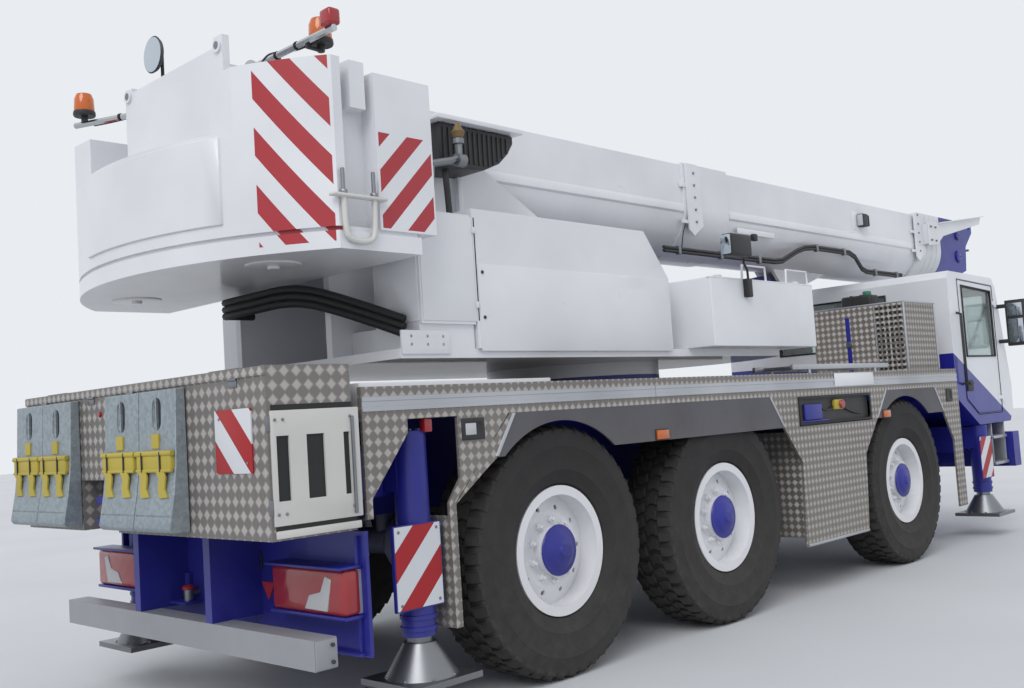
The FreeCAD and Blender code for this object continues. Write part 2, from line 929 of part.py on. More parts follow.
box_places = []
for name, beam_x, beam_z, sleeve_z, board_tail in OUTRIGGERS:
    box_places.append((beam_x, beam_z))
    reach = S.beam_wide / 2
    beam = block(
        (beam_x - reach, beam_x + reach),
        (-BOX_HALF + S.box_wall, JACK_Y),
        (beam_z, beam_z + S.beam_tall),
    )
    sleeve = rod("z", S.sleeve_radius, (S.sleeve_low_z, sleeve_z), (beam_x, JACK_Y))
    bore_z = (S.sleeve_low_z - S.overrun, sleeve_z - S.sleeve_cap)
    bore = rod("z", S.ram_radius + S.fit_gap, bore_z, (beam_x, JACK_Y))
    board_y = JACK_Y + S.sleeve_radius
    board = block(
        (beam_x + board_tail, beam_x + board_tail + S.board_long),
        (board_y - S.board_wall, board_y),
        (S.board_low_z, S.board_top_z),
    )
    outrigger = cut(join(beam, sleeve, board), bore)
    plate_top = S.float_low_z + S.float_plate
    shoe = block(
        (beam_x - S.float_half, beam_x + S.float_half),
        (JACK_Y - S.float_half, JACK_Y + S.float_half),
        (S.float_low_z, plate_top),
    )
    cone_outline = [
        (0, 0),
        (S.float_half - S.float_plate, 0),
        (S.ram_radius + S.cone_top, S.float_cone),
        (0, S.float_cone),
    ]
    cone = place(turned("z", cone_outline), beam_x, JACK_Y, plate_top)
    ram = rod("z", S.ram_radius, (plate_top, sleeve_z - S.sleeve_cap - S.overrun), (beam_x, JACK_Y))
    jack = join(shoe, cone, ram)
    left = name.endswith("left")
    node(f"outrigger_beam_{name}", outrigger if left else mirrored(outrigger))
    node(f"outrigger_jack_{name}", jack if left else mirrored(jack))

tubes = doc.addObject("Part::Compound", "outrigger_tubes")
tubes.Links = [cut(box_tube(*where), box_channel(*where)) for where in box_places]
node("outrigger_boxes", tubes)

# Chassis: a girder with an open engine bay, and what is bolted to it with a hair gap between.
frame_x = along(S.frame_tail_x)
bay_x = along(S.engine_bay_x)
front_frame_x = along(S.front_frame_x)
riser_x = front_frame_x - S.riser_wall
girder = block((frame_x, bay_x), (-S.frame_half, S.frame_half), (S.frame_low_z, S.frame_top_z))
bay_rail = block(
    (bay_x + S.fit_gap, riser_x - S.fit_gap),
    (S.engine_half + S.fit_gap, S.frame_half),
    (S.frame_low_z, S.frame_top_z),
)
front_riser = block(
    (riser_x, front_frame_x),
    (-S.frame_half, S.frame_half),
    (S.front_frame_low_z, S.frame_top_z),
)
front_frame = block(
    (front_frame_x + S.fit_gap, along(S.bumper_x)),
    (-S.front_frame_half, S.front_frame_half),
    (S.front_frame_low_z, S.front_frame_top_z),
)
bumper_half = S.body_half - S.bumper_inset
bumper = block(
    (along(S.bumper_x) + S.fit_gap, along(S.bumper_nose_x)),
    (-bumper_half, bumper_half),
    (S.bumper_low_z, S.bumper_top_z),
)
ring_z = (S.frame_top_z + S.fit_gap, S.ring_split_z)
lower_ring = rod("z", S.ring_radius, ring_z, (along(S.slew_x), 0))
apron_x = (frame_x - S.apron_wall, frame_x - S.fit_gap)
apron = block(apron_x, (-SIDE_Y, S.apron_left_y), (S.apron_low_z, S.frame_low_z + S.apron_wall))
bar_hanger = block(
    (along(S.bar_tail_x), apron_x[0] - S.fit_gap),
    (S.hanger_inner_y, S.hanger_outer_y),
    (S.bar_top_z, S.frame_low_z),
)
jaw_y = (S.jaw_y - S.jaw_half, S.jaw_y + S.jaw_half)
jaw_reach = S.jaw_mouth + S.jaw_wall
jaw_z = (S.jaw_z - jaw_reach, S.jaw_z + jaw_reach)
jaw_body = block((along(S.jaw_tail_x), frame_x - S.fit_gap), jaw_y, jaw_z)
jaw_mouth = block(
    (along(S.jaw_tail_x) - S.overrun, along(S.jaw_root_x)),
    (jaw_y[0] - S.overrun, jaw_y[1] + S.overrun),
    (S.jaw_z - S.jaw_mouth, S.jaw_z + S.jaw_mouth),
)
jaw_bore = rod(
    "z",
    S.jaw_bore,
    (jaw_z[0] - S.overrun, jaw_z[1] + S.overrun),
    (along(S.jaw_x), S.jaw_y),
)
rear_tubes = [box_tube(*where) for where in box_places[:2]]
front_tubes = [box_tube(*where) for where in box_places[2:]]
chassis = doc.addObject("Part::Compound", "chassis_pieces")
chassis.Links = [
    cut(girder, *rear_tubes),
    bay_rail,
    mirrored(bay_rail),
    front_riser,
    cut(front_frame, *front_tubes),
    bumper,
    lower_ring,
    apron,
    bar_hanger,
    mirrored(bar_hanger),
    cut(jaw_body, jaw_mouth, jaw_bore),
]
node("chassis", chassis)

engine = block(
    (bay_x + S.engine_inset, riser_x - S.overrun),
    (-S.engine_half, S.engine_half),
    (S.engine_low_z, S.engine_top_z),
)
node("engine", engine)

# Deck: one pressed channel with upright rails along its edges and a hole for the ring.
DECK_Z = S.frame_top_z + S.deck_sheet
rail_inner_y = S.body_half - S.rail_wall
deck = prism(
    "YZ",
    [
        (-S.body_half, S.frame_top_z),
        (S.body_half, S.frame_top_z),
        (S.body_half, S.rail_top_z),
        (rail_inner_y, S.rail_top_z),
        (rail_inner_y, DECK_Z),
        (-rail_inner_y, DECK_Z),
        (-rail_inner_y, S.rail_top_z),
        (-S.body_half, S.rail_top_z),
    ],
    frame_x,
    along(S.deck_nose_x),
)
ring_room = S.ring_radius + S.move_gap
ring_hole = rod("z", ring_room, (S.frame_top_z - S.overrun, S.rail_top_z), (along(S.slew_x), 0))
node("deck", cut(deck, ring_hole))


# Skirts: dark sheets hung under the deck, cut clear of the steered tyres.
def sheet(corners, wall):
    """A flat sheet on the crane's left side, from (ahead of the rear axle, height) corners."""
    outline = [(along(across), up) for across, up in corners]
    return prism("XZ", outline, S.body_half - wall, S.body_half)


def skirt(low, high, wheel_x):
    """One skirt: low and high give its bottom and top edges along the crane."""
    corners = [
        (low[0], S.skirt_low_z),
        (low[1], S.skirt_low_z),
        (high[1], S.frame_top_z),
        (high[0], S.frame_top_z),
    ]
    arch = rod(
        "y",
        S.tyre_radius + S.skirt_clearance,
        (WHEEL_Y, S.body_half + S.overrun),
        (wheel_x, HUB_Z),
    )
    return cut(sheet(corners, S.skirt_wall), arch)


skirts = doc.addObject("Part::Compound", "skirts")
rear_skirt = skirt(
    (S.skirt_tail_low_x, S.skirt_nose_low_x),
    (S.skirt_tail_top_x, S.skirt_nose_top_x),
    AXLES["rear"],
)
front_skirt = skirt(
    (S.front_skirt_tail_low_x, S.front_skirt_nose_low_x),
    (S.front_skirt_tail_top_x, S.front_skirt_nose_top_x),
    AXLES["front"],
)
skirts.Links = [rear_skirt, mirrored(rear_skirt), front_skirt, mirrored(front_skirt)]
node("arch_skirts", skirts)

# Side panels: chequered sheets between the wheels, with a tank behind the middle one.
middle_corners = [
    (S.skirt_nose_top_x, S.frame_top_z),
    (S.skirt_nose_low_x, S.skirt_low_z),
    (S.panel_knee_tail_x, S.panel_knee_z),
    (S.panel_tail_x, S.panel_low_z),
    (S.panel_nose_x, S.panel_low_z),
    (S.panel_knee_nose_x, S.panel_knee_z),
    (S.front_skirt_tail_low_x, S.skirt_low_z),
    (S.front_skirt_tail_top_x, S.frame_top_z),
]
middle_panel = sheet(middle_corners, S.panel_wall)
recess = block(
    (along(S.recess_tail_x), along(S.recess_nose_x)),
    (S.body_half - S.recess_depth, S.body_half + S.overrun),
    (S.skirt_low_z - S.bite, S.frame_top_z - S.recess_lip),
)
tank = block(
    (along(S.tank_tail_x), along(S.tank_nose_x)),
    (S.tank_inner_y, SIDE_Y),
    (S.tank_low_z, S.tank_top_z),
)
strip_nose_x = S.strip_tail_x + S.strip_wide
rear_corners = [
    (S.corner_tail_x, S.frame_top_z),
    (S.corner_tail_x, S.corner_low_z),
    (S.strip_tail_x, S.strip_top_z),
    (S.strip_tail_x, S.flap_low_z),
    (strip_nose_x, S.flap_low_z),
    (strip_nose_x, S.strip_top_z),
    (S.corner_nose_x, S.frame_top_z),
]
rear_flap = block(
    (along(S.strip_tail_x), along(S.strip_tail_x) + S.flap_wall),
    (S.flap_inner_y, SIDE_Y),
    (S.flap_low_z, S.panel_knee_z),
)
front_corners = [
    (S.front_skirt_nose_top_x, S.frame_top_z),
    (S.front_skirt_nose_low_x, S.skirt_low_z),
    (S.front_panel_x, S.panel_knee_z),
    (S.front_panel_x, S.panel_low_z),
    (S.deck_nose_x, S.panel_low_z),
    (S.deck_nose_x, S.frame_top_z),
]
cheek_corners = [
    (S.frame_tail_x, S.frame_top_z),
    (S.frame_tail_x, S.cheek_low_z),
    (S.cheek_tip_x, S.cheek_low_z),
    (S.cheek_tip_x, S.cheek_tip_z),
    (S.cheek_nose_x, S.cheek_step_z),
    (S.cheek_nose_x, S.frame_top_z),
]
panels = doc.addObject("Part::Compound", "panels")
left_panels = [
    cut(join(middle_panel, tank), recess),
    join(sheet(rear_corners, S.panel_wall), rear_flap),
    sheet(front_corners, S.panel_wall),
]
right_cheek = mirrored(sheet(cheek_corners, S.panel_wall))
panels.Links = left_panels + [mirrored(panel) for panel in left_panels] + [right_cheek]
node("side_panels", panels)

# Rear locker with its lid, wheel chocks, underrun bar and lamps.
locker_x = (along(S.locker_tail_x), along(S.locker_nose_x))
locker_y = (-S.body_half, S.body_half)
notch_top_z = S.locker_low_z + S.notch_rise
shell = block(locker_x, locker_y, (S.locker_low_z, S.locker_top_z))
hollow = block(
    (locker_x[0] + S.locker_wall, locker_x[1] - S.locker_wall),
    (locker_y[0] + S.locker_wall, locker_y[1] - S.locker_wall),
    (notch_top_z + S.locker_wall, S.locker_top_z + S.overrun),
)
notch = block(
    (locker_x[0] - S.overrun, locker_x[1] + S.overrun),
    (S.notch_low_y, S.notch_high_y),
    (S.locker_low_z - S.overrun, notch_top_z),
)
locker_seat = block(
    (locker_x[1], frame_x),
    (-S.frame_half, S.frame_half),
    (S.locker_low_z + S.locker_wall, S.frame_top_z),
)
jaw_room = block(
    (locker_x[1] - S.overrun, frame_x + S.overrun),
    (jaw_y[0] - S.fit_gap, jaw_y[1] + S.fit_gap),
    (S.locker_low_z - S.overrun, jaw_z[1] + S.fit_gap),
)
node("rear_locker", cut(join(shell, locker_seat), hollow, notch, jaw_room))
lid = block(locker_x, locker_y, (S.locker_top_z + S.fit_gap, S.lid_top_z))
node("locker_lid", lid)

chocks = doc.addObject("Part::Compound", "chocks")
chock_outline = [
    (locker_x[0], S.chock_low_z),
    (locker_x[0], S.chock_top_z),
    (locker_x[0] - S.chock_head, S.chock_top_z),
    (locker_x[0] - S.chock_foot, S.chock_low_z),
]
chock_pitch = S.chock_wide + S.overrun
chock_low_y = [
    S.notch_high_y,
    S.notch_high_y + chock_pitch,
    S.notch_low_y - chock_pitch,
    S.notch_low_y - 2 * chock_pitch,
]
chocks.Links = [prism("XZ", chock_outline, low_y, low_y + S.chock_wide) for low_y in chock_low_y]
node("wheel_chocks", chocks)

bar_half = S.body_half - S.bar_inset
bar = block(
    (along(S.bar_tail_x), along(S.bar_nose_x)),
    (-bar_half, bar_half),
    (S.bar_low_z, S.bar_top_z),
)
lamp = block(
    (frame_x - S.apron_wall - S.lamp_deep, frame_x - S.apron_wall),
    (S.lamp_inner_y, S.body_half - S.lamp_inset),
    (S.lamp_low_z, S.lamp_top_z),
)
rear_bar = doc.addObject("Part::Compound", "rear_bar")
rear_bar.Links = [bar, lamp, mirrored(lamp)]
node("rear_bar", rear_bar)

# Engine cover on the deck behind the driver's cab.
cover = block(
    (along(S.cover_tail_x), along(S.cover_nose_x)),
    (-S.cover_outer_y, -S.cover_inner_y),
    (DECK_Z, S.cover_top_z),
)
node("engine_cover", cover)

# Driver's cab: a hollow shell with door openings, windscreen and rear window cut out.
CAB_X = along(S.cab_tail_x)
CAB_INNER_Y = CAB_HALF - S.cab_wall


def cab_outline(wall):
    """The cab's side view, drawn in by a wall."""
    lean = wall * S.cab_roof_fall / S.cab_roof_tail
    return [
        (CAB_X + wall, S.cab_tail_low_z + lean),
        (along(S.cab_floor_tail_x) + lean, S.cab_floor_z + wall),
        (along(S.cab_floor_nose_x) - lean, S.cab_floor_z + wall),
        (along(S.cab_toe_x) - wall, S.cab_toe_z + lean),
        (along(S.cab_nose_x) - wall, S.cab_knee_z),
        (along(S.cab_brow_x) - wall, S.cab_brow_z - lean),
        (along(S.cab_roof_nose_x) - lean, S.cab_roof_z - S.cab_roof_fall - wall),
        (CAB_X + S.cab_roof_tail, S.cab_roof_z - wall),
        (CAB_X + wall, S.cab_tail_top_z),
    ]


def door_outline(gap):
    """The door's outline, grown by a gap for its opening."""
    tail = along(S.door_tail_x) - gap
    nose = along(S.door_nose_x) + gap
    return [
        (tail, S.door_tail_low_z - gap),
        (along(S.cab_floor_tail_x) - gap / 2, S.door_low_z - gap),
        (nose, S.door_low_z - gap),
        (nose, S.door_top_z - S.door_top_fall + gap),
        (tail, S.door_top_z + gap),
    ]


def door_window(inset):
    """The door window's outline, drawn in by a gap for its pane."""
    tail = along(S.door_tail_x) + S.door_window_tail + inset
    nose = along(S.door_nose_x) - S.door_window_nose - inset
    top = S.door_top_z - S.door_window_drop - inset
    return [
        (tail, S.door_window_z + inset),
        (nose, S.door_window_z + inset),
        (nose, top - S.door_top_fall),
        (tail, top),
    ]


cab_body = prism("XZ", cab_outline(sized(0)), -CAB_HALF, CAB_HALF)
cab_room = prism("XZ", cab_outline(S.cab_wall), -CAB_INNER_Y, CAB_INNER_Y)
door_hole = prism("XZ", door_outline(S.move_gap), -CAB_HALF - S.overrun, CAB_HALF + S.overrun)
screen_half = CAB_HALF - S.screen_inset
screen_hole = block(
    (along(S.screen_tail_x), along(S.cab_nose_x) + S.overrun),
    (-screen_half, screen_half),
    (S.screen_low_z, S.screen_top_z),
)
rear_hole = block(
    (CAB_X - S.overrun, CAB_X + S.cab_wall + S.overrun),
    (-S.rear_window_half, S.rear_window_half),
    (S.rear_window_low_z, S.screen_top_z),
)

HINGE_X = along(S.door_nose_x)
HINGE_Y = CAB_HALF + S.hinge_out
FOOT_Y = (CAB_HALF - S.bite, CAB_HALF + S.overrun)
HINGES = [S.hinge_low_z, S.hinge_high_z]


def hinge_leaf(span, side):
    """A hinge's knuckle, leaf and foot between two heights: side is 1 for the cab, -1 for the door."""
    knuckle_rod = rod("z", S.hinge_radius, span, (HINGE_X, HINGE_Y))
    near = HINGE_X + side * S.hinge_half
    far = HINGE_X + side * 3 * S.hinge_half
    leaf_x = (HINGE_X, far) if side > 0 else (far, HINGE_X)
    foot_x = (near, far) if side > 0 else (far, near)
    leaf = block(leaf_x, (CAB_HALF + S.move_gap / 2, HINGE_Y), span)
    return join(knuckle_rod, leaf, block(foot_x, FOOT_Y, span))


cab_hinges = []
for middle in HINGES:
    low = middle - 2 * S.hinge_half
    high = middle + 2 * S.hinge_half
    cab_hinges.append(hinge_leaf((low, middle - S.hinge_half), 1))
    cab_hinges.append(hinge_leaf((middle + S.hinge_half, high), 1))
    cab_hinges.append(rod("z", S.hinge_pin, (low, high), (HINGE_X, HINGE_Y)))
mirror_x = along(S.cab_mirror_x)
mirror_y = CAB_HALF + S.cab_mirror_reach - S.cab_mirror_wide
cab_mirror = block(
    (mirror_x, mirror_x + S.cab_mirror_wall),
    (mirror_y, mirror_y + S.cab_mirror_wide),
    (S.cab_mirror_low_z, S.cab_mirror_top_z),
)
mirror_arms = []
for low in (S.cab_mirror_low_z + S.cab_mirror_arm, S.cab_mirror_top_z - 2 * S.cab_mirror_arm):
    arm_x = (mirror_x + S.overrun, mirror_x + S.overrun + S.cab_mirror_arm)
    arm_y = (CAB_HALF - S.cab_wall, mirror_y + S.overrun)
    mirror_arms.append(block(arm_x, arm_y, (low, low + S.cab_mirror_arm)))
node(
    "cab_shell",
    join(
        cut(cab_body, cab_room, door_hole, screen_hole, rear_hole),
        both(join(cab_mirror, *mirror_arms)),
        both(join(*cab_hinges)),
    ),
)

cab_rake = (S.cab_nose_x - S.cab_brow_x) / (S.cab_brow_z - S.cab_knee_z)


def screen_x(height):
    """The windscreen's face at a height, set back a little from the cab's skin."""
    return along(S.cab_nose_x) - (height - S.cab_knee_z) * cab_rake - S.glass_depth


screen = prism(
    "XZ",
    [
        (screen_x(S.screen_low_z) - S.glass_wall, S.screen_low_z + S.fit_gap),
        (screen_x(S.screen_low_z), S.screen_low_z + S.fit_gap),
        (screen_x(S.screen_top_z), S.screen_top_z - S.fit_gap),
        (screen_x(S.screen_top_z) - S.glass_wall, S.screen_top_z - S.fit_gap),
    ],
    S.fit_gap - screen_half,
    screen_half - S.fit_gap,
)
rear_pane = block(
    (CAB_X + S.glass_depth, CAB_X + S.glass_depth + S.glass_wall),
    (S.fit_gap - S.rear_window_half, S.rear_window_half - S.fit_gap),
    (S.rear_window_low_z + S.fit_gap, S.screen_top_z - S.fit_gap),
)
panes = doc.addObject("Part::Compound", "panes")
panes.Links = [screen, rear_pane]
node("cab_glass", panes)

cab_floor_top = S.cab_floor_z + S.cab_wall
dash = block(
    (along(S.dash_tail_x), along(S.dash_nose_x)),
    (1 - CAB_INNER_Y, CAB_INNER_Y - 1),
    (S.dash_low_z, S.dash_top_z),
)
dash_post = block(
    (along(S.dash_tail_x) + S.dash_post_half, along(S.dash_nose_x) - S.dash_post_half),
    (-S.dash_post_half, S.dash_post_half),
    (cab_floor_top, S.dash_low_z),
)
interior = [join(dash, dash_post)]
for seat_y in (-S.seat_y, S.seat_y):
    seat_width = (seat_y - S.seat_half, seat_y + S.seat_half)
    cushion = block(
        (along(S.seat_cushion_x), along(S.seat_nose_x)),
        seat_width,
        (S.seat_low_z, S.seat_top_z),
    )
    back = block(
        (along(S.seat_tail_x), along(S.seat_cushion_x) + S.overrun),
        seat_width,
        (S.seat_low_z + S.dash_post_half, S.seat_back_top_z),
    )
    foot = block(
        (along(S.seat_foot_tail_x), along(S.seat_foot_nose_x)),
        (seat_y - S.seat_foot_half, seat_y + S.seat_foot_half),
        (cab_floor_top, S.seat_low_z),
    )
    interior.append(join(cushion, back, foot))
seats = doc.addObject("Part::Compound", "seats")
seats.Links = interior
node("cab_interior", seats)

for side in ("left", "right"):
    leaf = prism("XZ", door_outline(0), CAB_INNER_Y, CAB_HALF)
    window = prism("XZ", door_window(0), CAB_INNER_Y - S.overrun, CAB_HALF + S.overrun)
    door_hinges = []
    pin_bores = []
    for middle in HINGES:
        half = S.hinge_half - S.fit_gap
        span = (middle - half, middle + half)
        door_hinges.append(hinge_leaf(span, -1))
        pin_bores.append(rod("z", S.hinge_pin + S.fit_gap, span, (HINGE_X, HINGE_Y)))
    door = cut(join(leaf, *door_hinges), window, *pin_bores)
    pane_y = CAB_HALF - S.glass_depth - S.glass_wall
    pane = prism("XZ", door_window(S.fit_gap), pane_y, pane_y + S.glass_wall)
    node(f"cab_door_{side}", door if side == "left" else mirrored(door))
    node(f"door_glass_{side}", pane if side == "left" else mirrored(pane))

# Turntable: ring, base plate, two side plates that hold the boom's pivot, and the winch frame.
TURN_X = along(S.slew_x)
BASE_X = along(S.base_tail_x)
upper_z = (S.ring_split_z + S.fit_gap, S.base_low_z + S.overrun)
upper_ring = rod("z", S.ring_radius, upper_z, (TURN_X, 0))
base_corner_x = along(S.base_nose_x) - S.base_nose_round
base_plate = prism(
    "XY",
    [
        (BASE_X, -S.base_half),
        (base_corner_x, -S.base_half),
        Via(along(S.base_nose_x), 0),
        (base_corner_x, S.base_half),
        (BASE_X, S.base_half),
    ],
    S.base_low_z,
    S.base_top_z,
)
plate_top_z = PIVOT_Z + S.plate_head_rise
side_plate = prism(
    "XZ",
    [
        (BASE_X, S.base_top_z - S.bite),
        (along(S.plate_toe_x), S.base_top_z - S.bite),
        (along(S.plate_knee_x), S.plate_knee_z),
        (along(S.plate_brow_x), PIVOT_Z + S.pivot_rise),
        (along(S.plate_head_nose_x), plate_top_z),
        (along(S.plate_head_tail_x), plate_top_z),
        (BASE_X, PIVOT_Z - S.plate_tail_drop),
    ],
    PLATE_Y,
    PLATE_OUT_Y,
)
pivot_bore = rod(
    "y",
    S.pivot_radius + S.fit_gap,
    (PLATE_Y - S.overrun, PLATE_OUT_Y + S.overrun),
    (along(S.pivot_x), PIVOT_Z),
)
foot_pin = rod(
    "y",
    S.lift_pin_radius,
    (-PLATE_Y - S.overrun, PLATE_Y + S.overrun),
    (along(S.lift_foot_x), S.lift_foot_z),
)
winch_front_x = along(S.winch_front_x)
winch_plate_y = S.drum_half + S.winch_plate_gap
winch_out_y = winch_plate_y + S.winch_plate_wall
winch_plate = block(
    (along(S.winch_back_x), winch_front_x),
    (winch_plate_y, winch_out_y),
    (S.weight_top_z, S.winch_top_z),
)
winch_web = block(
    (winch_front_x - S.winch_plate_wall, winch_front_x),
    (winch_plate_y, PLATE_OUT_Y),
    (S.weight_top_z, PIVOT_Z),
)
winch_arm = block(
    (winch_front_x - S.winch_plate_wall, BASE_X + S.plate_wall),
    (PLATE_Y, PLATE_OUT_Y),
    (S.weight_top_z, PIVOT_Z - S.plate_tail_drop - S.overrun),
)
back_x = (along(S.winch_back_x), along(S.winch_back_x) + S.winch_plate_wall)
back_left = S.winch_back_left_y
back_right = -S.winch_back_right_y
winch_back = block(back_x, (back_right, back_left), (S.weight_top_z, S.winch_top_z))
lug_base_z = S.winch_top_z - S.bite
left_lug_z = (lug_base_z, S.winch_top_z + S.winch_lug_rise / 2)
right_lug_z = (lug_base_z, S.winch_top_z + S.winch_lug_rise)
left_lug = block(back_x, (back_left - S.winch_lug, back_left), left_lug_z)
right_lug = block(back_x, (back_right, back_right + S.winch_lug), right_lug_z)
pin_half = S.drum_half + S.winch_plate_gap + S.overrun
winch_pin = rod("y", S.winch_pin, (-pin_half, pin_half), (along(S.winch_x), S.winch_z))
turntable = join(
    upper_ring,
    base_plate,
    both(cut(side_plate, pivot_bore)),
    foot_pin,
    both(join(winch_plate, winch_web, winch_arm)),
    winch_back,
    left_lug,
    right_lug,
    winch_pin,
)
node("turntable", turntable)

drum_inner = S.drum_half - S.drum_flange_wall
drum_bore = S.winch_pin + S.fit_gap
drum = turned(
    "y",
    [
        (drum_bore, -S.drum_half),
        (S.drum_flange, -S.drum_half),
        (S.drum_flange, -drum_inner),
        (S.drum_radius, -drum_inner),
        (S.drum_radius, drum_inner),
        (S.drum_flange, drum_inner),
        (S.drum_flange, S.drum_half),
        (drum_bore, S.drum_half),
    ],
)
place(drum, along(S.winch_x), 0, S.winch_z)
node("winch_drum", drum)

# Beacon rails: a tube on each side of the winch with a beacon, and the hoist mirror on the left.
rail_x = along(S.rail_x)
rail = rod("y", S.rail_radius, (winch_out_y, S.rail_end_y), (rail_x, S.winch_top_z))
beacon_z = (S.winch_top_z, S.winch_top_z + S.beacon_tall)
beacon = rod("z", S.beacon_radius, beacon_z, (rail_x, S.beacon_y))
mirror_stem = rod("z", S.stem_radius, (S.winch_top_z, S.hoist_mirror_z), (rail_x, S.hoist_mirror_y))
mirror_disc = rod(
    "x",
    S.hoist_mirror_radius,
    (rail_x - 2 * S.rail_radius, rail_x - S.bite),
    (S.hoist_mirror_y, S.hoist_mirror_z),
)
rails = doc.addObject("Part::Compound", "rails")
rails.Links = [join(rail, beacon, mirror_stem, mirror_disc), mirrored(join(rail, beacon))]
node("beacon_rails", rails)


# Counterweight: slab, seam and block with a curved tail, and a raised horn on each side.
def weight_outline(nose_x, inset):
    """The counterweight seen from above, drawn in by an inset."""
    half = S.body_half - inset
    return [
        (along(nose_x) - inset, -half),
        (along(nose_x) - inset, half),
        (along(S.weight_corner_x) + inset, half),
        Via(along(S.weight_tail_x) + inset, 0),
        (along(S.weight_corner_x) + inset, -half),
    ]


none = sized(0)
seam_top_z = S.weight_seam_z + S.weight_seam
slab = prism("XY", weight_outline(S.weight_nose_x, none), S.weight_low_z, S.weight_seam_z)
seam = prism(
    "XY",
    weight_outline(S.weight_nose_x, S.weight_seam_depth),
    S.weight_seam_z - S.bite,
    seam_top_z + S.bite,
)
main_block = prism("XY", weight_outline(S.weight_nose_x, none), seam_top_z, S.weight_top_z)
horn = block(
    (along(S.horn_tail_x), along(S.horn_nose_x)),
    (S.horn_inner_y, S.body_half),
    (seam_top_z, S.horn_top_z),
)
recess_y = S.body_half - S.horn_recess_depth
horn_recess = block(
    (along(S.horn_recess_x), along(S.horn_step_x)),
    (recess_y, S.body_half + S.overrun),
    (seam_top_z, S.horn_top_z + S.overrun),
)
horn_step = block(
    (along(S.horn_step_x), along(S.horn_nose_x) + S.overrun),
    (S.horn_inner_y - S.overrun, S.body_half + S.overrun),
    (S.horn_top_z - S.horn_step, S.horn_top_z + S.overrun),
)
tab = block(
    (along(S.tab_tail_x), along(S.tab_nose_x)),
    (recess_y - S.bite, S.body_half - S.overrun),
    (S.tab_low_z, S.horn_top_z),
)
bounds = prism("XY", weight_outline(S.horn_nose_x, none), S.weight_low_z, S.horn_top_z)
upper_block = cut(join(main_block, common(both(horn), bounds)), both(join(horn_recess, horn_step)))
node("counterweight", join(slab, seam, upper_block, both(tab)))

# Power housing on the right, with the cabinet behind it and the one on the left.
housing = prism(
    "XZ",
    [
        (along(S.housing_tail_x), S.base_top_z),
        (along(S.housing_nose_x), S.base_top_z),
        (along(S.housing_nose_x), S.housing_shoulder_z),
        (along(S.housing_brow_x), S.housing_top_z),
        (along(S.housing_tail_x), S.housing_top_z),
    ],
    -S.housing_half,
    -PLATE_OUT_Y,
)
cabinet = block(
    (along(S.cabinet_tail_x), along(S.housing_tail_x) - S.overrun),
    (-S.housing_half, -S.cabinet_inner_y),
    (S.cabinet_low_z, S.cabinet_top_z),
)
cabinet_foot = block(
    (along(S.cabinet_tail_x), along(S.housing_tail_x) - S.overrun),
    (-S.base_half, -PLATE_OUT_Y),
    (S.base_top_z, S.cabinet_low_z + S.bite),
)
left_cabinet = block(
    (along(S.left_cabinet_tail_x), along(S.left_cabinet_nose_x)),
    (PLATE_OUT_Y, S.left_cabinet_y),
    (S.base_top_z, S.left_cabinet_top_z),
)
cabinets = doc.addObject("Part::Compound", "cabinets")
cabinets.Links = [housing, join(cabinet, cabinet_foot), left_cabinet]
node("power_housing", cabinets)

# Toolbox: an open-topped tray on the right, ahead of the housing, with the mirror on its side.
tool_x = (along(S.toolbox_tail_x), along(S.toolbox_nose_x))
tool_y = (-SIDE_Y, -S.toolbox_inner_y)
tool_shell = block(tool_x, tool_y, (S.base_top_z, S.toolbox_top_z))
tool_room = block(
    (tool_x[0] + S.toolbox_wall, tool_x[1] - S.toolbox_wall),
    (tool_y[0] + S.toolbox_wall, tool_y[1] - S.toolbox_wall),
    (S.base_top_z + S.toolbox_wall, S.toolbox_top_z + S.overrun),
)
side_mirror_y = -S.body_half - S.side_mirror_outer
arm_x = (along(S.side_mirror_arm_x), along(S.side_mirror_arm_x) + S.side_mirror_arm)
post_y = -S.body_half - 2 * S.side_mirror_inner
arm_z = (S.side_mirror_arm_z, S.side_mirror_arm_z + S.side_mirror_arm)
mirror_arm = block(arm_x, (post_y, S.bite - SIDE_Y), arm_z)
mirror_post = block(arm_x, (post_y, post_y + S.side_mirror_arm), (arm_z[0], S.side_mirror_top_z))
mirror_face = block(
    (along(S.side_mirror_x), along(S.side_mirror_x) + S.side_mirror_long),
    (side_mirror_y, -S.body_half - S.side_mirror_inner),
    (S.side_mirror_low_z, S.side_mirror_top_z),
)
node("toolbox", join(cut(tool_shell, tool_room), mirror_arm, mirror_post, mirror_face))

# Operator's cab on the left of the boom, with a sliding door in its outer side.
op_x = (along(S.op_cab_tail_x), along(S.op_cab_nose_x))
op_y = (S.op_cab_inner_y, SIDE_Y)


def op_outline(wall):
    """The operator's cab in side view, drawn in by a wall."""
    return [
        (op_x[0] + wall, S.base_top_z + wall),
        (op_x[1] - wall, S.base_top_z + wall),
        (op_x[1] - wall, S.op_cab_knee_z),
        (op_x[1] - S.op_cab_lean - wall, S.op_cab_top_z - wall),
        (op_x[0] + wall, S.op_cab_top_z - wall),
    ]


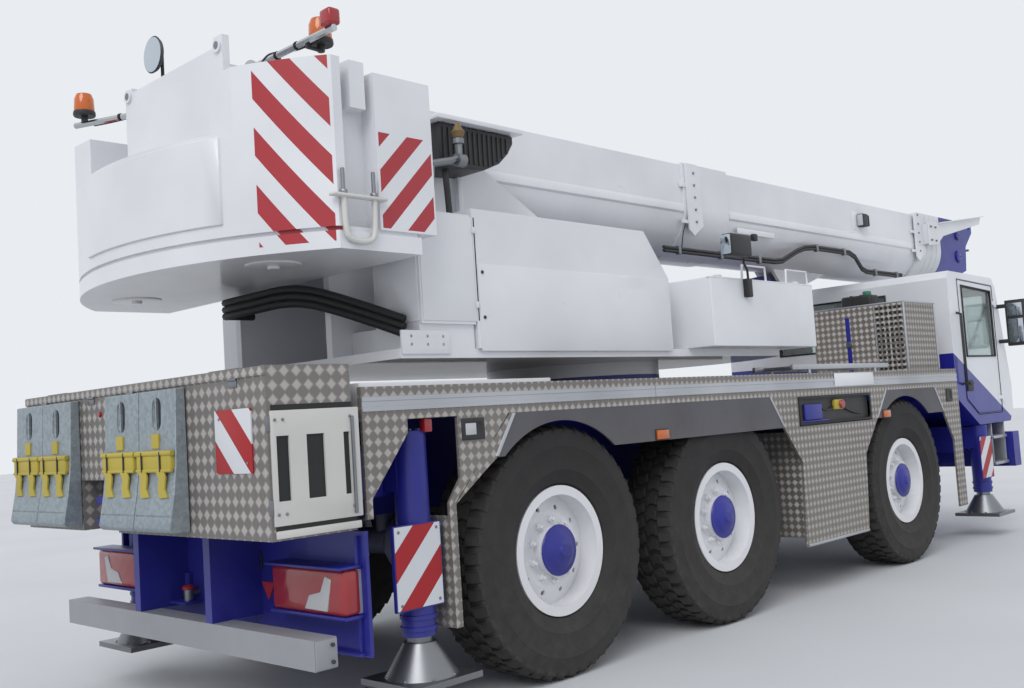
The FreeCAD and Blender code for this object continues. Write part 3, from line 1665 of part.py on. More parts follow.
op_body = prism("XZ", op_outline(none), *op_y)
op_room = prism("XZ", op_outline(S.op_cab_wall), op_y[0] + S.op_cab_wall, op_y[1] - S.op_cab_wall)
op_screen_y = (op_y[0] + S.op_screen_inset, op_y[1] - S.op_screen_inset)
op_window_y = (op_y[0] + S.op_window_inset, op_y[1] - S.op_window_inset)
op_window_z = (S.op_window_low_z, S.op_window_top_z)
op_door_x = (along(S.op_door_tail_x), along(S.op_door_nose_x))
wall_room = S.op_cab_wall + S.overrun
op_screen_hole = block(
    (op_x[1] - S.op_screen_room, op_x[1] + S.overrun),
    op_screen_y,
    (S.op_screen_low_z, S.op_screen_top_z),
)
op_door_hole = block(
    op_door_x,
    (op_y[1] - wall_room, op_y[1] + S.overrun),
    (S.op_door_low_z, S.op_door_top_z),
)
op_rear_hole = block((op_x[0] - S.overrun, op_x[0] + wall_room), op_window_y, op_window_z)
op_side_hole = block(op_door_x, (op_y[0] - S.overrun, op_y[0] + wall_room), op_window_z)
node("op_cab", cut(op_body, op_room, op_screen_hole, op_door_hole, op_rear_hole, op_side_hole))

op_rake = S.op_cab_lean / (S.op_cab_top_z - S.op_cab_knee_z)
op_face_x = op_x[1] - S.glass_depth
op_brow_x = op_face_x - (S.op_screen_top_z - S.op_cab_knee_z) * op_rake
op_pane = prism(
    "XZ",
    [
        (op_face_x - S.glass_wall, S.op_screen_low_z + S.fit_gap),
        (op_face_x, S.op_screen_low_z + S.fit_gap),
        (op_face_x, S.op_cab_knee_z),
        (op_brow_x, S.op_screen_top_z - S.fit_gap),
        (op_brow_x - S.glass_wall, S.op_screen_top_z - S.fit_gap),
        (op_face_x - S.glass_wall, S.op_cab_knee_z),
    ],
    op_screen_y[0] + S.fit_gap,
    op_screen_y[1] - S.fit_gap,
)
pane_z = (S.op_window_low_z + S.fit_gap, S.op_window_top_z - S.fit_gap)
op_rear_pane = block(
    (op_x[0] + S.glass_depth, op_x[0] + S.glass_depth + S.glass_wall),
    (op_window_y[0] + S.fit_gap, op_window_y[1] - S.fit_gap),
    pane_z,
)
op_side_pane = block(
    (op_door_x[0] + S.fit_gap, op_door_x[1] - S.fit_gap),
    (op_y[0] + S.glass_depth, op_y[0] + S.glass_depth + S.glass_wall),
    pane_z,
)
op_panes = doc.addObject("Part::Compound", "op_panes")
op_panes.Links = [op_pane, op_rear_pane, op_side_pane]
node("op_cab_glass", op_panes)

op_seat_y = (op_y[0] + S.op_seat_inset, op_y[1] - S.op_seat_inset)
op_cushion = block(
    (along(S.op_seat_cushion_x), along(S.op_seat_nose_x)),
    op_seat_y,
    (S.op_seat_low_z, S.op_seat_top_z),
)
op_seat_foot = block(
    (along(S.op_seat_foot_tail_x), along(S.op_seat_foot_nose_x)),
    (op_y[0] + S.op_seat_foot_inset, op_y[1] - S.op_seat_foot_inset),
    (S.base_top_z + S.op_cab_wall, S.op_seat_low_z),
)
op_seat_back = block(
    (along(S.op_seat_tail_x), along(S.op_seat_cushion_x)),
    op_seat_y,
    (S.op_seat_low_z + S.op_cab_wall, S.op_seat_back_top_z),
)
node("op_cab_interior", join(op_cushion, op_seat_foot, op_seat_back))

op_door = block(
    (op_door_x[0] - S.op_door_lap, op_door_x[1] + S.op_door_lap),
    (op_y[1] + S.fit_gap, op_y[1] + S.op_door_wall),
    (S.op_door_low_z - S.op_door_lap, S.op_door_top_z + S.op_door_lap),
)
op_door_window = block(
    (op_door_x[0] + S.op_door_frame, op_door_x[1] - S.op_door_frame),
    (op_y[1] - S.overrun, op_y[1] + S.op_door_wall + S.overrun),
    (S.op_door_sill_z, S.op_door_top_z - S.op_door_frame),
)
node("op_cab_door", cut(op_door, op_door_window))


# Boom: a folded top and a round belly, with three sections nested in the first.
def boom_outline(inset):
    """The boom's section, made smaller all round by an inset."""
    half = S.boom_half - inset
    top = S.boom_top_z - inset
    return [
        (-half, CREASE_Z),
        (-half, top),
        (half, top),
        (half, CREASE_Z),
        Via(0, CREASE_Z - half),
    ]


def boom_tube(inset, wall, low, high):
    """A length of boom as a tube."""
    return cut(
        prism("YZ", boom_outline(inset), low, high),
        prism("YZ", boom_outline(inset + wall), low - S.overrun, high + S.overrun),
    )


def front_pads(inset, end):
    """Slide pads at a section's mouth, above and below the next section."""
    bore = boom_outline(inset + S.boom_step - S.fit_gap)
    reach = block(
        (end - S.pad_long, end),
        (-S.pad_half, S.pad_half),
        (CREASE_Z - S.boom_half + inset + S.bite, S.boom_top_z - inset - S.bite),
    )
    return cut(reach, prism("YZ", bore, end - S.pad_long - S.overrun, end + S.overrun))


def collar(rise, inner, low, high):
    """A band round the boom that stands proud of it by a rise."""
    return cut(
        prism("YZ", boom_outline(-rise), low, high),
        prism("YZ", boom_outline(inner), low - S.overrun, high + S.overrun),
    )


boom_tail = along(S.boom_tail_x)
boom_end = along(S.boom_end_x)
pivot_at = (along(S.pivot_x), PIVOT_Z)
base_tube = boom_tube(none, S.boom_wall, boom_tail, boom_end)
tail_wall = prism("YZ", boom_outline(S.bite / 2), boom_tail, boom_tail + S.boom_tail_wall)
front_collar = collar(S.collar_rise, S.bite, boom_end - S.collar_long, boom_end)
middle_collar = collar(
    S.middle_collar_rise,
    S.bite,
    along(S.middle_collar_tail_x),
    along(S.middle_collar_nose_x),
)
boss_room = 2 * S.pivot_boss
boss = cut(
    rod("y", S.pivot_boss, (S.bite - PLATE_Y, PLATE_Y - S.bite), pivot_at),
    block(
        (pivot_at[0] - boss_room, pivot_at[0] + boss_room),
        (S.bite - S.boom_half, S.boom_half - S.bite),
        (PIVOT_Z - boss_room, PIVOT_Z + boss_room),
    ),
)
pivot_half = PLATE_Y + S.plate_wall - S.fit_gap
pivot_pin = rod("y", S.pivot_radius, (-pivot_half, pivot_half), pivot_at)
ear_root_z = CREASE_Z - S.boom_half + S.ear_bury
neck_z = EYE_Z - S.ear_neck_drop
ear = prism(
    "XZ",
    [
        (along(S.ear_tail_x), ear_root_z),
        (along(S.ear_neck_x), neck_z),
        Via(along(S.lift_eye_x), EYE_Z - S.eye_radius - S.bite),
        (along(S.ear_throat_x), neck_z),
        (along(S.ear_nose_x), ear_root_z),
    ],
    S.eye_half + S.ear_gap,
    S.eye_half + S.ear_gap + S.ear_wall,
)
eye_pin_half = S.eye_half + S.ear_gap + S.ear_wall / 2
eye_pin = rod("y", S.lift_pin_radius, (-eye_pin_half, eye_pin_half), (along(S.lift_eye_x), EYE_Z))
boom_base = join(
    base_tube,
    tail_wall,
    front_collar,
    middle_collar,
    boss,
    pivot_pin,
    both(ear),
    eye_pin,
    front_pads(none, boom_end),
)
node("boom_base", boom_base)

SECTIONS = (1, 2, 3)
for number in SECTIONS:
    inset = S.boom_step * number
    tail = along(S.section_tail_x) + S.section_tail_step * number
    end = boom_end + S.boom_stagger * number
    pieces = [boom_tube(inset, S.inner_wall, tail, end)]
    if number < len(SECTIONS):
        pieces.append(front_pads(inset, end))
    pieces.append(collar(S.collar_rise, inset + S.bite, end - S.boom_stagger + S.move_gap, end))
    node(f"boom_section_{number}", join(*pieces))

# Boom head: two cheek plates with the rope sheaves between them.
HEAD_TOP_Z = S.boom_top_z + S.head_rise
HEAD_LOW_Z = CREASE_Z - S.boom_half + S.head_tuck
head_tail = boom_end + S.boom_stagger * len(SECTIONS)
cheek = prism(
    "XZ",
    [
        (head_tail, HEAD_LOW_Z),
        (along(S.head_toe_x), HEAD_LOW_Z + S.head_toe_rise),
        (along(S.head_chin_x), HEAD_LOW_Z + S.head_chin_rise),
        (along(S.head_lip_x), HEAD_LOW_Z + S.head_lip_rise),
        (along(S.head_nose_x), HEAD_TOP_Z - S.head_brow_drop),
        (along(S.head_nose_x), HEAD_TOP_Z),
        (head_tail, HEAD_TOP_Z),
    ],
    S.head_half - S.head_wall,
    S.head_half,
)
head_y = (-S.head_half, S.head_half)
head_plate = block((head_tail, head_tail + S.head_wall), head_y, (HEAD_LOW_Z, HEAD_TOP_Z))
low_shaft_at = (along(S.low_shaft_x), HEAD_LOW_Z + S.low_shaft_rise)
high_shaft_at = (along(S.high_shaft_x), HEAD_TOP_Z - S.high_shaft_drop)
low_shaft = rod("y", S.shaft_radius, head_y, low_shaft_at)
high_shaft = rod("y", S.shaft_radius, head_y, high_shaft_at)
sheaves = []
for steps in (-1.5, -0.5, 0.5, 1.5):
    middle = S.sheave_pitch * steps
    span = (middle - S.sheave_half, middle + S.sheave_half)
    sheaves.append(rod("y", S.sheave_radius, span, low_shaft_at))
top_sheave = rod("y", S.top_sheave_radius, (-S.sheave_half, S.sheave_half), high_shaft_at)
jib_at = (along(S.jib_bore_x), HEAD_TOP_Z - S.jib_bore_drop)
jib_bore = rod("y", S.jib_bore, (-S.head_half - S.overrun, S.head_half + S.overrun), jib_at)
head = join(cut(both(cheek), jib_bore), head_plate, low_shaft, high_shaft, top_sheave, *sheaves)
node("boom_head", head)

# Lift cylinder, drawn along its own X axis from the foot pin and then tilted into place.
LIFT_RISE = EYE_Z - S.lift_foot_z
LIFT_RUN = S.lift_eye_x - S.lift_foot_x
LIFT_LENGTH = root(LIFT_RISE * LIFT_RISE + LIFT_RUN * LIFT_RUN)
LIFT_ANGLE = slope(LIFT_RISE, LIFT_RUN)


def tilted(thing):
    """Stands a lift cylinder piece on the foot pin at the cylinder's slope."""
    turn = FreeCAD.Rotation(V(0, -1, 0), LIFT_ANGLE.value)
    place(thing, along(S.lift_foot_x), 0, S.lift_foot_z, turn)
    thing.setExpression("Placement.Rotation.Angle", LIFT_ANGLE.text)
    return thing


axis_at = (0, 0)
eye_bore = S.lift_pin_radius + S.fit_gap
barrel_end = LIFT_LENGTH - S.barrel_end_gap
neck_x = barrel_end - S.barrel_neck
barrel = cut(
    join(
        rod("y", S.eye_radius, (-S.eye_half, S.eye_half), axis_at),
        rod("x", S.barrel_radius, (S.eye_radius + S.barrel_tail, barrel_end), axis_at),
        block(
            (0, S.eye_radius + 2 * S.barrel_tail),
            (-S.eye_half, S.eye_half),
            (-S.eye_web, S.eye_web),
        ),
    ),
    rod("y", eye_bore, (-S.saddle_room, S.saddle_room), axis_at),
    rod("x", S.barrel_bore, (S.barrel_floor, neck_x), axis_at),
    rod("x", S.rod_radius + S.fit_gap, (neck_x - S.overrun, barrel_end + S.overrun), axis_at),
)
node("lift_barrel", tilted(barrel))

saddle = prism(
    "XZ",
    [
        (LIFT_LENGTH - S.saddle_lip, -S.saddle_lip_drop),
        (LIFT_LENGTH, 0),
        (LIFT_LENGTH + S.saddle_room, 0),
        (LIFT_LENGTH + S.saddle_room, S.saddle_room),
        (LIFT_LENGTH - S.saddle_lip, S.saddle_room),
    ],
    -S.saddle_room,
    S.saddle_room,
)
piston_x = S.barrel_floor + S.barrel_tail
eye_at = (LIFT_LENGTH, 0)
lift_rod = cut(
    join(
        rod("x", S.rod_radius, (piston_x, LIFT_LENGTH - S.eye_radius + S.overrun), axis_at),
        rod("x", S.barrel_bore - S.fit_gap, (piston_x, piston_x + S.piston), axis_at),
        rod("y", S.eye_radius, (-S.eye_half, S.eye_half), eye_at),
        block(
            (LIFT_LENGTH - S.eye_root, LIFT_LENGTH),
            (-S.eye_half, S.eye_half),
            (-S.eye_radius, -S.shaft_radius),
        ),
    ),
    rod("y", eye_bore, (-S.saddle_room, S.saddle_room), eye_at),
    saddle,
)
node("lift_rod", tilted(lift_rod))

doc.recompute()

faults = []
for thing in doc.Objects:
    if {"Invalid", "Error"} & set(thing.State):
        faults.append(f"{thing.Name} {thing.Label} {thing.State}")
for name, thing in NODES.items():
    if thing.Shape.isNull() or not thing.Shape.isValid():
        faults.append(f"{name} has no valid shape")
if faults:
    raise RuntimeError("\n".join(faults))

os.makedirs("parts", exist_ok=True)
for name, thing in NODES.items():
    thing.Shape.exportStep(f"parts/{name}.step")
print(f"{len(NODES)} sub-parts written")
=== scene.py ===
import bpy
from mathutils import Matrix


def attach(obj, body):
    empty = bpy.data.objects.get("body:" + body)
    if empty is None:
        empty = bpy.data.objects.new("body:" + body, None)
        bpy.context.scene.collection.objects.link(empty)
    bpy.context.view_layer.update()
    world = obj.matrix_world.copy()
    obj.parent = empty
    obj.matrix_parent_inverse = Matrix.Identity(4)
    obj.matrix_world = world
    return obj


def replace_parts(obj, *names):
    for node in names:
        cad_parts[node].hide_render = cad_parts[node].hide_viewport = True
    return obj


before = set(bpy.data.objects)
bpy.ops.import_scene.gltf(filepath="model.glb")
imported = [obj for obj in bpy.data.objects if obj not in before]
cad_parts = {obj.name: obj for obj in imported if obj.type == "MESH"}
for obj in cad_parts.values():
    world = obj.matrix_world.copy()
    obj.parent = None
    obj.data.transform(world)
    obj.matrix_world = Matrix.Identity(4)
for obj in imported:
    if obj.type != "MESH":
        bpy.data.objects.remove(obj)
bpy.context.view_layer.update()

import logging
import math
from collections.abc import Callable, Iterable, Sequence
from dataclasses import dataclass, field
from enum import Enum
from typing import ClassVar

import bpy
from mathutils import Matrix, Vector

log = logging.getLogger("mobile_crane")

Point = tuple[float, float, float]
Colour = tuple[float, float, float, float]
Tree = bpy.types.NodeTree
Socket = bpy.types.NodeSocket
Piece = bpy.types.Object

REAR_AXLE_X = -3.435
ORIGIN = (0, 0, 0)
FORWARD, BACK = (1, 0, 0), (-1, 0, 0)
LEFT, RIGHT = (0, 1, 0), (0, -1, 0)
UP, DOWN = (0, 0, 1), (0, 0, -1)
ROAD_DUST = "#8C867C"


def ahead(length: float) -> float:
    """Turns a length ahead of the rear axle into a place along X, in metres."""
    return REAR_AXLE_X + length


# Finishes.


def linear(hex_colour: str) -> Colour:
    """Turns an sRGB hex colour into the linear colour a shader takes."""
    channels = []
    for start in (1, 3, 5):
        value = int(hex_colour[start : start + 2], 16) / 255
        channels.append(value / 12.92 if value <= 0.04045 else ((value + 0.055) / 1.055) ** 2.4)
    return (*channels, 1.0)


def add_node(
    tree: Tree, kind: str, settings: dict | None = None, inputs: dict | None = None,
) -> bpy.types.Node:
    """Adds one node with its settings, and links or sets its inputs.

    Args:
        tree: The material's node tree.
        kind: The node's type name, without its first word.
        settings: Attributes of the node by name.
        inputs: Sockets by name or number, each with a plain value, a hex colour or a socket to link.

    Returns:
        The new node.
    """
    node = tree.nodes.new("ShaderNode" + kind)
    for name, value in (settings or {}).items():
        setattr(node, name, value)
    for key, value in (inputs or {}).items():
        if isinstance(value, Socket):
            tree.links.new(value, node.inputs[key])
        else:
            node.inputs[key].default_value = linear(value) if isinstance(value, str) else value
    return node


def calculated(tree: Tree, operation: str, *values: float | Socket) -> Socket:
    """The result of one sum."""
    return add_node(tree, "Math", {"operation": operation}, dict(enumerate(values))).outputs[0]


def blended(tree: Tree, share: Socket, first: str | Socket, second: str | Socket) -> Socket:
    """A colour between two others."""
    return add_node(tree, "Mix", {"data_type": "RGBA"}, {0: share, 6: first, 7: second}).outputs[2]


def noise(tree: Tree, place: Socket, cell_mm: float, detail: float, roughness: float = 0.5) -> Socket:
    """Soft noise whose cells are that many millimetres wide."""
    inputs = {"Vector": place, "Scale": per_metre(cell_mm), "Detail": detail, "Roughness": roughness}
    return add_node(tree, "TexNoise", None, inputs).outputs["Fac"]


def spread(tree: Tree, value: Socket, start: float, end: float, low: float = 0, high: float = 1) -> Socket:
    """A value between start and end, drawn out to run from low to high."""
    inputs = {"Value": value, "From Min": start, "From Max": end, "To Min": low, "To Max": high}
    return add_node(tree, "MapRange", None, inputs).outputs[0]


def per_metre(millimetres: float) -> float:
    """The texture scale whose cells are that many millimetres wide."""
    return 1000 / millimetres


@dataclass(frozen=True)
class Finish:
    """What every finish shares: a colour, its darker tone, and how it takes light.

    The pattern methods of each finish give the colour, roughness and height over the surface.
    """

    name: str
    colour: str
    shade: str
    roughness: float
    slot: str | None = None
    metallic: float = 0.0
    coat: float = 0.0
    blotch_mm: float = 700.0
    grain_mm: float = 5.0
    relief_mm: float = 0.15
    grime: float = 0.25
    grime_top: float = 1.1

    def material(self) -> bpy.types.Material:
        """The finish as a material, made the first time and kept.

        Returns:
            The material that carries the finish's name.
        """
        found = bpy.data.materials.get(self.name)
        if found is not None:
            return found
        made = bpy.data.materials.new(self.name)
        made.use_nodes = True
        tree = made.node_tree
        shader = tree.nodes["Principled BSDF"]
        shader.inputs["Metallic"].default_value = self.metallic
        shader.inputs["Coat Weight"].default_value = self.coat
        place = add_node(tree, "TexCoord").outputs["Object"]
        colour = self.tone(tree, place)
        tree.links.new(self.weathered(tree, place, colour), shader.inputs["Base Color"])
        tree.links.new(self.sheen(tree, place), shader.inputs["Roughness"])
        height, depth, strength = self.relief(tree, place)
        bump = add_node(tree, "Bump", None, {"Height": height, "Distance": depth, "Strength": strength})
        tree.links.new(bump.outputs[0], shader.inputs["Normal"])
        for name, value in self.extra().items():
            shader.inputs[name].default_value = value
        made.diffuse_color = linear(self.colour)
        return made

    def tone(self, tree: Tree, place: Socket) -> Socket:
        """The colour, drifting a little over large soft blotches."""
        blotches = spread(tree, noise(tree, place, self.blotch_mm, 3), 0.35, 0.75)
        return blended(tree, blotches, self.colour, self.shade)

    def weathered(self, tree: Tree, place: Socket, colour: Socket) -> Socket:
        """The colour under road dust, which thins out with height."""
        height = add_node(tree, "SeparateXYZ", None, {0: place}).outputs["Z"]
        low = spread(tree, height, 0.2, self.grime_top, self.grime, 0.02)
        amount = calculated(tree, "MULTIPLY", low, noise(tree, place, 90, 6, 0.7))
        return blended(tree, amount, colour, ROAD_DUST)

    def sheen(self, tree: Tree, place: Socket) -> Socket:
        """Roughness that varies a little, as on a surface that has been wiped and rained on."""
        least, most = max(0.02, self.roughness - 0.07), min(1.0, self.roughness + 0.1)
        return spread(tree, noise(tree, place, 160, 4), 0, 1, least, most)

    def relief(self, tree: Tree, place: Socket) -> tuple[Socket, float, float]:
        """Fine grain in the surface's height.

        Returns:
            The height, how many metres high it stands, and how strongly it shows.
        """
        return noise(tree, place, self.grain_mm, 2), self.relief_mm / 1000, 0.6

    def extra(self) -> dict[str, float]:
        """Plain shader settings that only some finishes need."""
        return {}


@dataclass(frozen=True)
class StripedFilm(Finish):
    """Retroreflective warning film on paint: slanting red bands on white.

    The bands show only inside the boxes of `fields`, each with its own slant.
    """

    band: str = "#A61F2B"
    pitch_m: float = 0.155
    fields: tuple[tuple[Point, Point, Point], ...] = ()

    def tone(self, tree: Tree, place: Socket) -> Socket:
        """The paint with red bands laid over it in each field."""

        def vectors(operation: str, first: Point | Socket, second: Point | Socket = ORIGIN) -> Socket:
            node = add_node(tree, "VectorMath", {"operation": operation}, {0: first, 1: second})
            return node.outputs["Value" if operation == "DOT_PRODUCT" else "Vector"]

        colour = Finish.tone(self, tree, place)
        for low, high, slant in self.fields:
            middle = tuple((a + b) / 2 for a, b in zip(low, high))
            reach = tuple((b - a) / 2 for a, b in zip(low, high))
            offset = vectors("SUBTRACT", place, middle)
            inside = vectors("SUBTRACT", reach, vectors("ABSOLUTE", offset))
            parts = add_node(tree, "SeparateXYZ", None, {0: inside}).outputs
            nearest = calculated(tree, "MINIMUM", calculated(tree, "MINIMUM", parts[0], parts[1]), parts[2])
            within = calculated(tree, "GREATER_THAN", nearest, 0)
            cycle = calculated(tree, "DIVIDE", vectors("DOT_PRODUCT", offset, slant), self.pitch_m)
            red = calculated(tree, "LESS_THAN", calculated(tree, "FRACT", cycle), 0.5)
            colour = blended(tree, calculated(tree, "MULTIPLY", red, within), colour, self.band)
        return colour


@dataclass(frozen=True)
class TwoTone(Finish):
    """Enamel in two colours, parted along a line across the side: blue below, the main colour above."""

    lower: str = "#191E8C"
    level_z: float = 1.86
    turn_x: float = 2.1
    fall: float = 0.48

    def tone(self, tree: Tree, place: Socket) -> Socket:
        """The upper colour above a level line that falls away forward of its turn."""
        parts = add_node(tree, "SeparateXYZ", None, {0: place}).outputs
        past = calculated(tree, "MAXIMUM", calculated(tree, "SUBTRACT", parts["X"], self.turn_x), 0)
        height = calculated(tree, "ADD", parts["Z"], calculated(tree, "MULTIPLY", past, self.fall))
        below = calculated(tree, "LESS_THAN", height, self.level_z)
        return blended(tree, below, Finish.tone(self, tree, place), self.lower)


@dataclass(frozen=True)
class ChequerPlate(Finish):
    """Rolled aluminium tread plate: groups of five short bars, each group square to its neighbours.

    The groups are `group_mm` across and stand on a corner; every other group carries a painted highlight.
    """

    group_mm: float = 46.0
    # The colour of the painted highlight on the groups that would face the light.
    bright: str = "#C0BAB5"

    def squares(self, tree: Tree) -> tuple[Socket, Socket, Socket]:
        """The pattern's two coordinates on whichever plane the face lies in, and which way its group runs.

        Returns:
            Both turned coordinates in groups, and a value of 0 or 1 for the group's direction.
        """
        coordinates = add_node(tree, "TexCoord").outputs
        place = add_node(tree, "SeparateXYZ", None, {0: coordinates["Object"]}).outputs
        facing = add_node(tree, "VectorMath", {"operation": "ABSOLUTE"}, {0: coordinates["Normal"]})
        facing = add_node(tree, "SeparateXYZ", None, {0: facing.outputs[0]}).outputs
        chosen = []
        for axis in "XZ":
            faced = calculated(tree, "GREATER_THAN", facing[axis], 0.7)
            chosen.append(add_node(tree, "Mix", None, {0: faced, 2: place[axis], 3: place["Y"]}).outputs[0])
        scale = per_metre(self.group_mm * math.sqrt(2))
        first, second = (
            calculated(tree, "MULTIPLY", calculated(tree, operation, *chosen), scale)
            for operation in ("ADD", "SUBTRACT")
        )
        floors = [calculated(tree, "FLOOR", item) for item in (first, second)]
        half = calculated(tree, "MULTIPLY", calculated(tree, "ADD", *floors), 0.5)
        return first, second, calculated(tree, "GREATER_THAN", calculated(tree, "FRACT", half), 0.25)

    def tone(self, tree: Tree, place: Socket) -> Socket:
        """Painted highlight: groups that would face the light are painted bright, and the ones between them
        keep the dull colour.
        """
        first, second, odd = self.squares(tree)
        reach = [
            calculated(tree, "ABSOLUTE", calculated(tree, "SUBTRACT", calculated(tree, "FRACT", item), 0.5))
            for item in (first, second)
        ]
        # How strongly each spot of a lit group takes the painted highlight, most in its middle.
        inner = spread(tree, calculated(tree, "MAXIMUM", *reach), 0.5, 0.3, 0, 0.85)
        share = calculated(tree, "MULTIPLY", odd, inner)
        return blended(tree, share, Finish.tone(self, tree, place), self.bright)

    def relief(self, tree: Tree, place: Socket) -> tuple[Socket, float, float]:
        """Five bars stand up in each group, and their direction swaps from group to group."""
        first, second, odd = self.squares(tree)
        along = add_node(tree, "Mix", None, {0: odd, 2: first, 3: second}).outputs[0]
        return calculated(tree, "SINE", calculated(tree, "MULTIPLY", along, 5 * math.tau)), 0.0012, 0.7


@dataclass(frozen=True)
class SpangledZinc(Finish):
    """Hot-dip galvanised steel: dull zinc crystals of about 15 mm, drawn slightly larger so that they show."""

    crystal_mm: float = 18.0

    def tone(self, tree: Tree, place: Socket) -> Socket:
        """Each crystal has its own grey."""
        cells = add_node(tree, "TexVoronoi", None, {"Vector": place, "Scale": per_metre(self.crystal_mm)})
        grey = add_node(tree, "SeparateColor", None, {0: cells.outputs["Color"]}).outputs[0]
        return blended(tree, grey, self.colour, self.shade)


@dataclass(frozen=True)
class Clear(Finish):
    """Window glass: clear, faintly green, with a film of dust."""

    def extra(self) -> dict[str, float]:
        """Lets the light through."""
        return {"Transmission Weight": 0.92, "IOR": 1.46}


@dataclass(frozen=True)
class Lens(Finish):
    """Moulded acrylic lamp lens, ribbed inside, lit only from outside."""

    def relief(self, tree: Tree, place: Socket) -> tuple[Socket, float, float]:
        """Upright ribs every 8 mm behind the smooth face."""
        inputs = {"Vector": place, "Scale": per_metre(8) / 20}
        return add_node(tree, "TexWave", {"bands_direction": "DIAGONAL"}, inputs).outputs["Fac"], 0.001, 0.5

    def extra(self) -> dict[str, float]:
        """A little light passes into the plastic."""
        return {"Transmission Weight": 0.25, "IOR": 1.49}


@dataclass(frozen=True)
class WovenCloth(Finish):
    """Woven polyester seat cloth with threads of about 2 mm, drawn at 4 mm so that they show."""

    thread_mm: float = 4.0

    def relief(self, tree: Tree, place: Socket) -> tuple[Socket, float, float]:
        """Threads cross over and under in two directions."""
        inputs = {"Vector": place, "Scale": per_metre(self.thread_mm) / 20, "Distortion": 0.4}
        waves = [add_node(tree, "TexWave", {"bands_direction": way}, inputs).outputs["Fac"] for way in "XZ"]
        return calculated(tree, "MULTIPLY", *waves), 0.002, 0.6

    def extra(self) -> dict[str, float]:
        """Loose fibres catch grazing light."""
        return {"Sheen Weight": 0.3}


# White two-pack enamel sprayed on steel: smooth, glossy, a faint orange peel and little dirt.
WHITE = Finish("white_enamel", "#E3E4E8", "#D6D7DB", 0.3, "white_paint", coat=0.35, relief_mm=0.1)
# The driver's cab: the same enamel, with the blue lower part sprayed after masking.
CAB_ENAMEL = TwoTone(
    "cab_two_tone_enamel", "#E4E5EA", "#DADCE1", 0.3, "white_paint", coat=0.25, relief_mm=0.03, grime=0.05,
)
# Blue enamel on the chassis, outriggers and boom head: glossy where clean, dusty low down.
BLUE = Finish("blue_enamel", "#1E2391", "#181C78", 0.4, "blue_paint", coat=0.1, grime=0.12)
# The counterweight: white enamel with warning film on both rear corners and both ends.
WEIGHT = StripedFilm(
    "weight_enamel_with_film", "#E3E4E8", "#D6D7DB", 0.32, coat=0.3, relief_mm=0.35, grain_mm=14,
    fields=(
        ((ahead(-1.95), -1.262, 2.31), (ahead(-1.42), -0.955, 3.284), (0.0, -0.823, 0.567)),
        ((ahead(-1.95), 0.955, 2.31), (ahead(-1.42), 1.262, 3.284), (0.0, 0.823, 0.567)),
        ((ahead(-1.19), -1.3, 2.39), (ahead(-0.855), -1.2, 2.86), (0.72, 0.0, -0.7)),
        ((ahead(-1.19), 1.2, 2.39), (ahead(-0.855), 1.3, 2.86), (0.72, 0.0, -0.7)),
    ),
)
# Warning boards: the same film on aluminium, one slant to each board.
REAR_BOARD, BEAM_BOARD = (
    StripedFilm(name, "#DADCE0", "#CDD0D5", 0.45, grime=0.0, band="#A3121C", pitch_m=0.2, fields=(where,))
    for name, where in (
        ("rear_board_film", ((ahead(-1.95), -1.17, 1.26), (ahead(-1.86), -0.85, 1.57), (0.0, -0.72, 0.7))),
        ("beam_board_film", ((-6.0, -3.6, 0.5), (6.0, 3.6, 1.0), (0.72, 0.0, -0.7))),
    )
)
# Dark grey primer-like paint on the wheel-arch skirts, dusty and scuffed.
SKIRT = Finish("dark_skirt_paint", "#55545A", "#4A494E", 0.55, grime=0.6, grime_top=1.6, blotch_mm=350)
# Tread plate of the locker, weathered to a warm grey, with a painted highlight on every other group of bars;
# the deck and the side sheets have a finer pattern.
CHEQUER = ChequerPlate(
    "chequered_aluminium", "#84807D", "#797572", 0.42, "chequer_plate", metallic=0.35, grime=0.18,
    group_mm=44,
)
FINE_CHEQUER = ChequerPlate(
    "fine_chequered_aluminium", "#87827D", "#7C7773", 0.42, "chequer_plate", metallic=0.35, grime=0.18,
    group_mm=38,
)
# Tarnished brass of the breather's sintered cap.
BRASS = Finish("tarnished_brass", "#8A7350", "#75603F", 0.5, metallic=0.6)
# Galvanised steel of the wheel chocks.
ZINC = SpangledZinc("galvanised_steel", "#9DA7AD", "#8A949A", 0.45, "galvanised", metallic=0.5)
# Mill-finish aluminium strip and bar: bright with a soft grain.
SILVER = Finish("bare_aluminium", "#BFC1C6", "#A9ABB0", 0.36, "deck_silver", metallic=0.7, grain_mm=2.5)
# Grey paint on the underrun bar, dusty from the road.
BAR_GREY = Finish("grey_bar_paint", "#9B9EA6", "#8B8E95", 0.42, "bar_grey", grime=0.55)
# Tyre rubber: matt, dust caught in its grain.
RUBBER = Finish(
    "tyre_rubber_compound", "#1D1C1E", "#171618", 0.8, "tyre_rubber", grain_mm=3, relief_mm=0.4, grime=0.22,
    grime_top=1.5,
)
# White enamel of the wheel rims.
RIM_WHITE = Finish("rim_enamel", "#E9E9EC", "#DEDEE1", 0.38, "rim_white", coat=0.2, grime=0.12)
# Ductile iron axle parts under thin blue-black chassis paint.
AXLE = Finish(
    "axle_paint", "#23264F", "#1B1C33", 0.5, "axle_paint", grime=0.7, grime_top=1.4, grain_mm=9,
    relief_mm=0.5,
)
# Cast iron of the engine under dark grey paint.
ENGINE = Finish("engine_iron_paint", "#3A3C40", "#2E3033", 0.55, grain_mm=9, relief_mm=0.5)
# Ground and chromed piston rods and rails; turned or pressed steel left bare.
CHROME = Finish(
    "hard_chrome", "#C9CBCE", "#B9BBBE", 0.12, "chrome_rod", metallic=1.0, grime=0.05, grain_mm=2,
)
STEEL = Finish("machined_steel", "#8E9196", "#7A7C80", 0.35, "drum_steel", metallic=0.9, grain_mm=2)
# Drawn wire for hoist rope: greased, dark between its strands.
ROPE = Finish("greased_wire_rope", "#6A665E", "#4E4A44", 0.45, metallic=0.7, grain_mm=4, relief_mm=0.6)
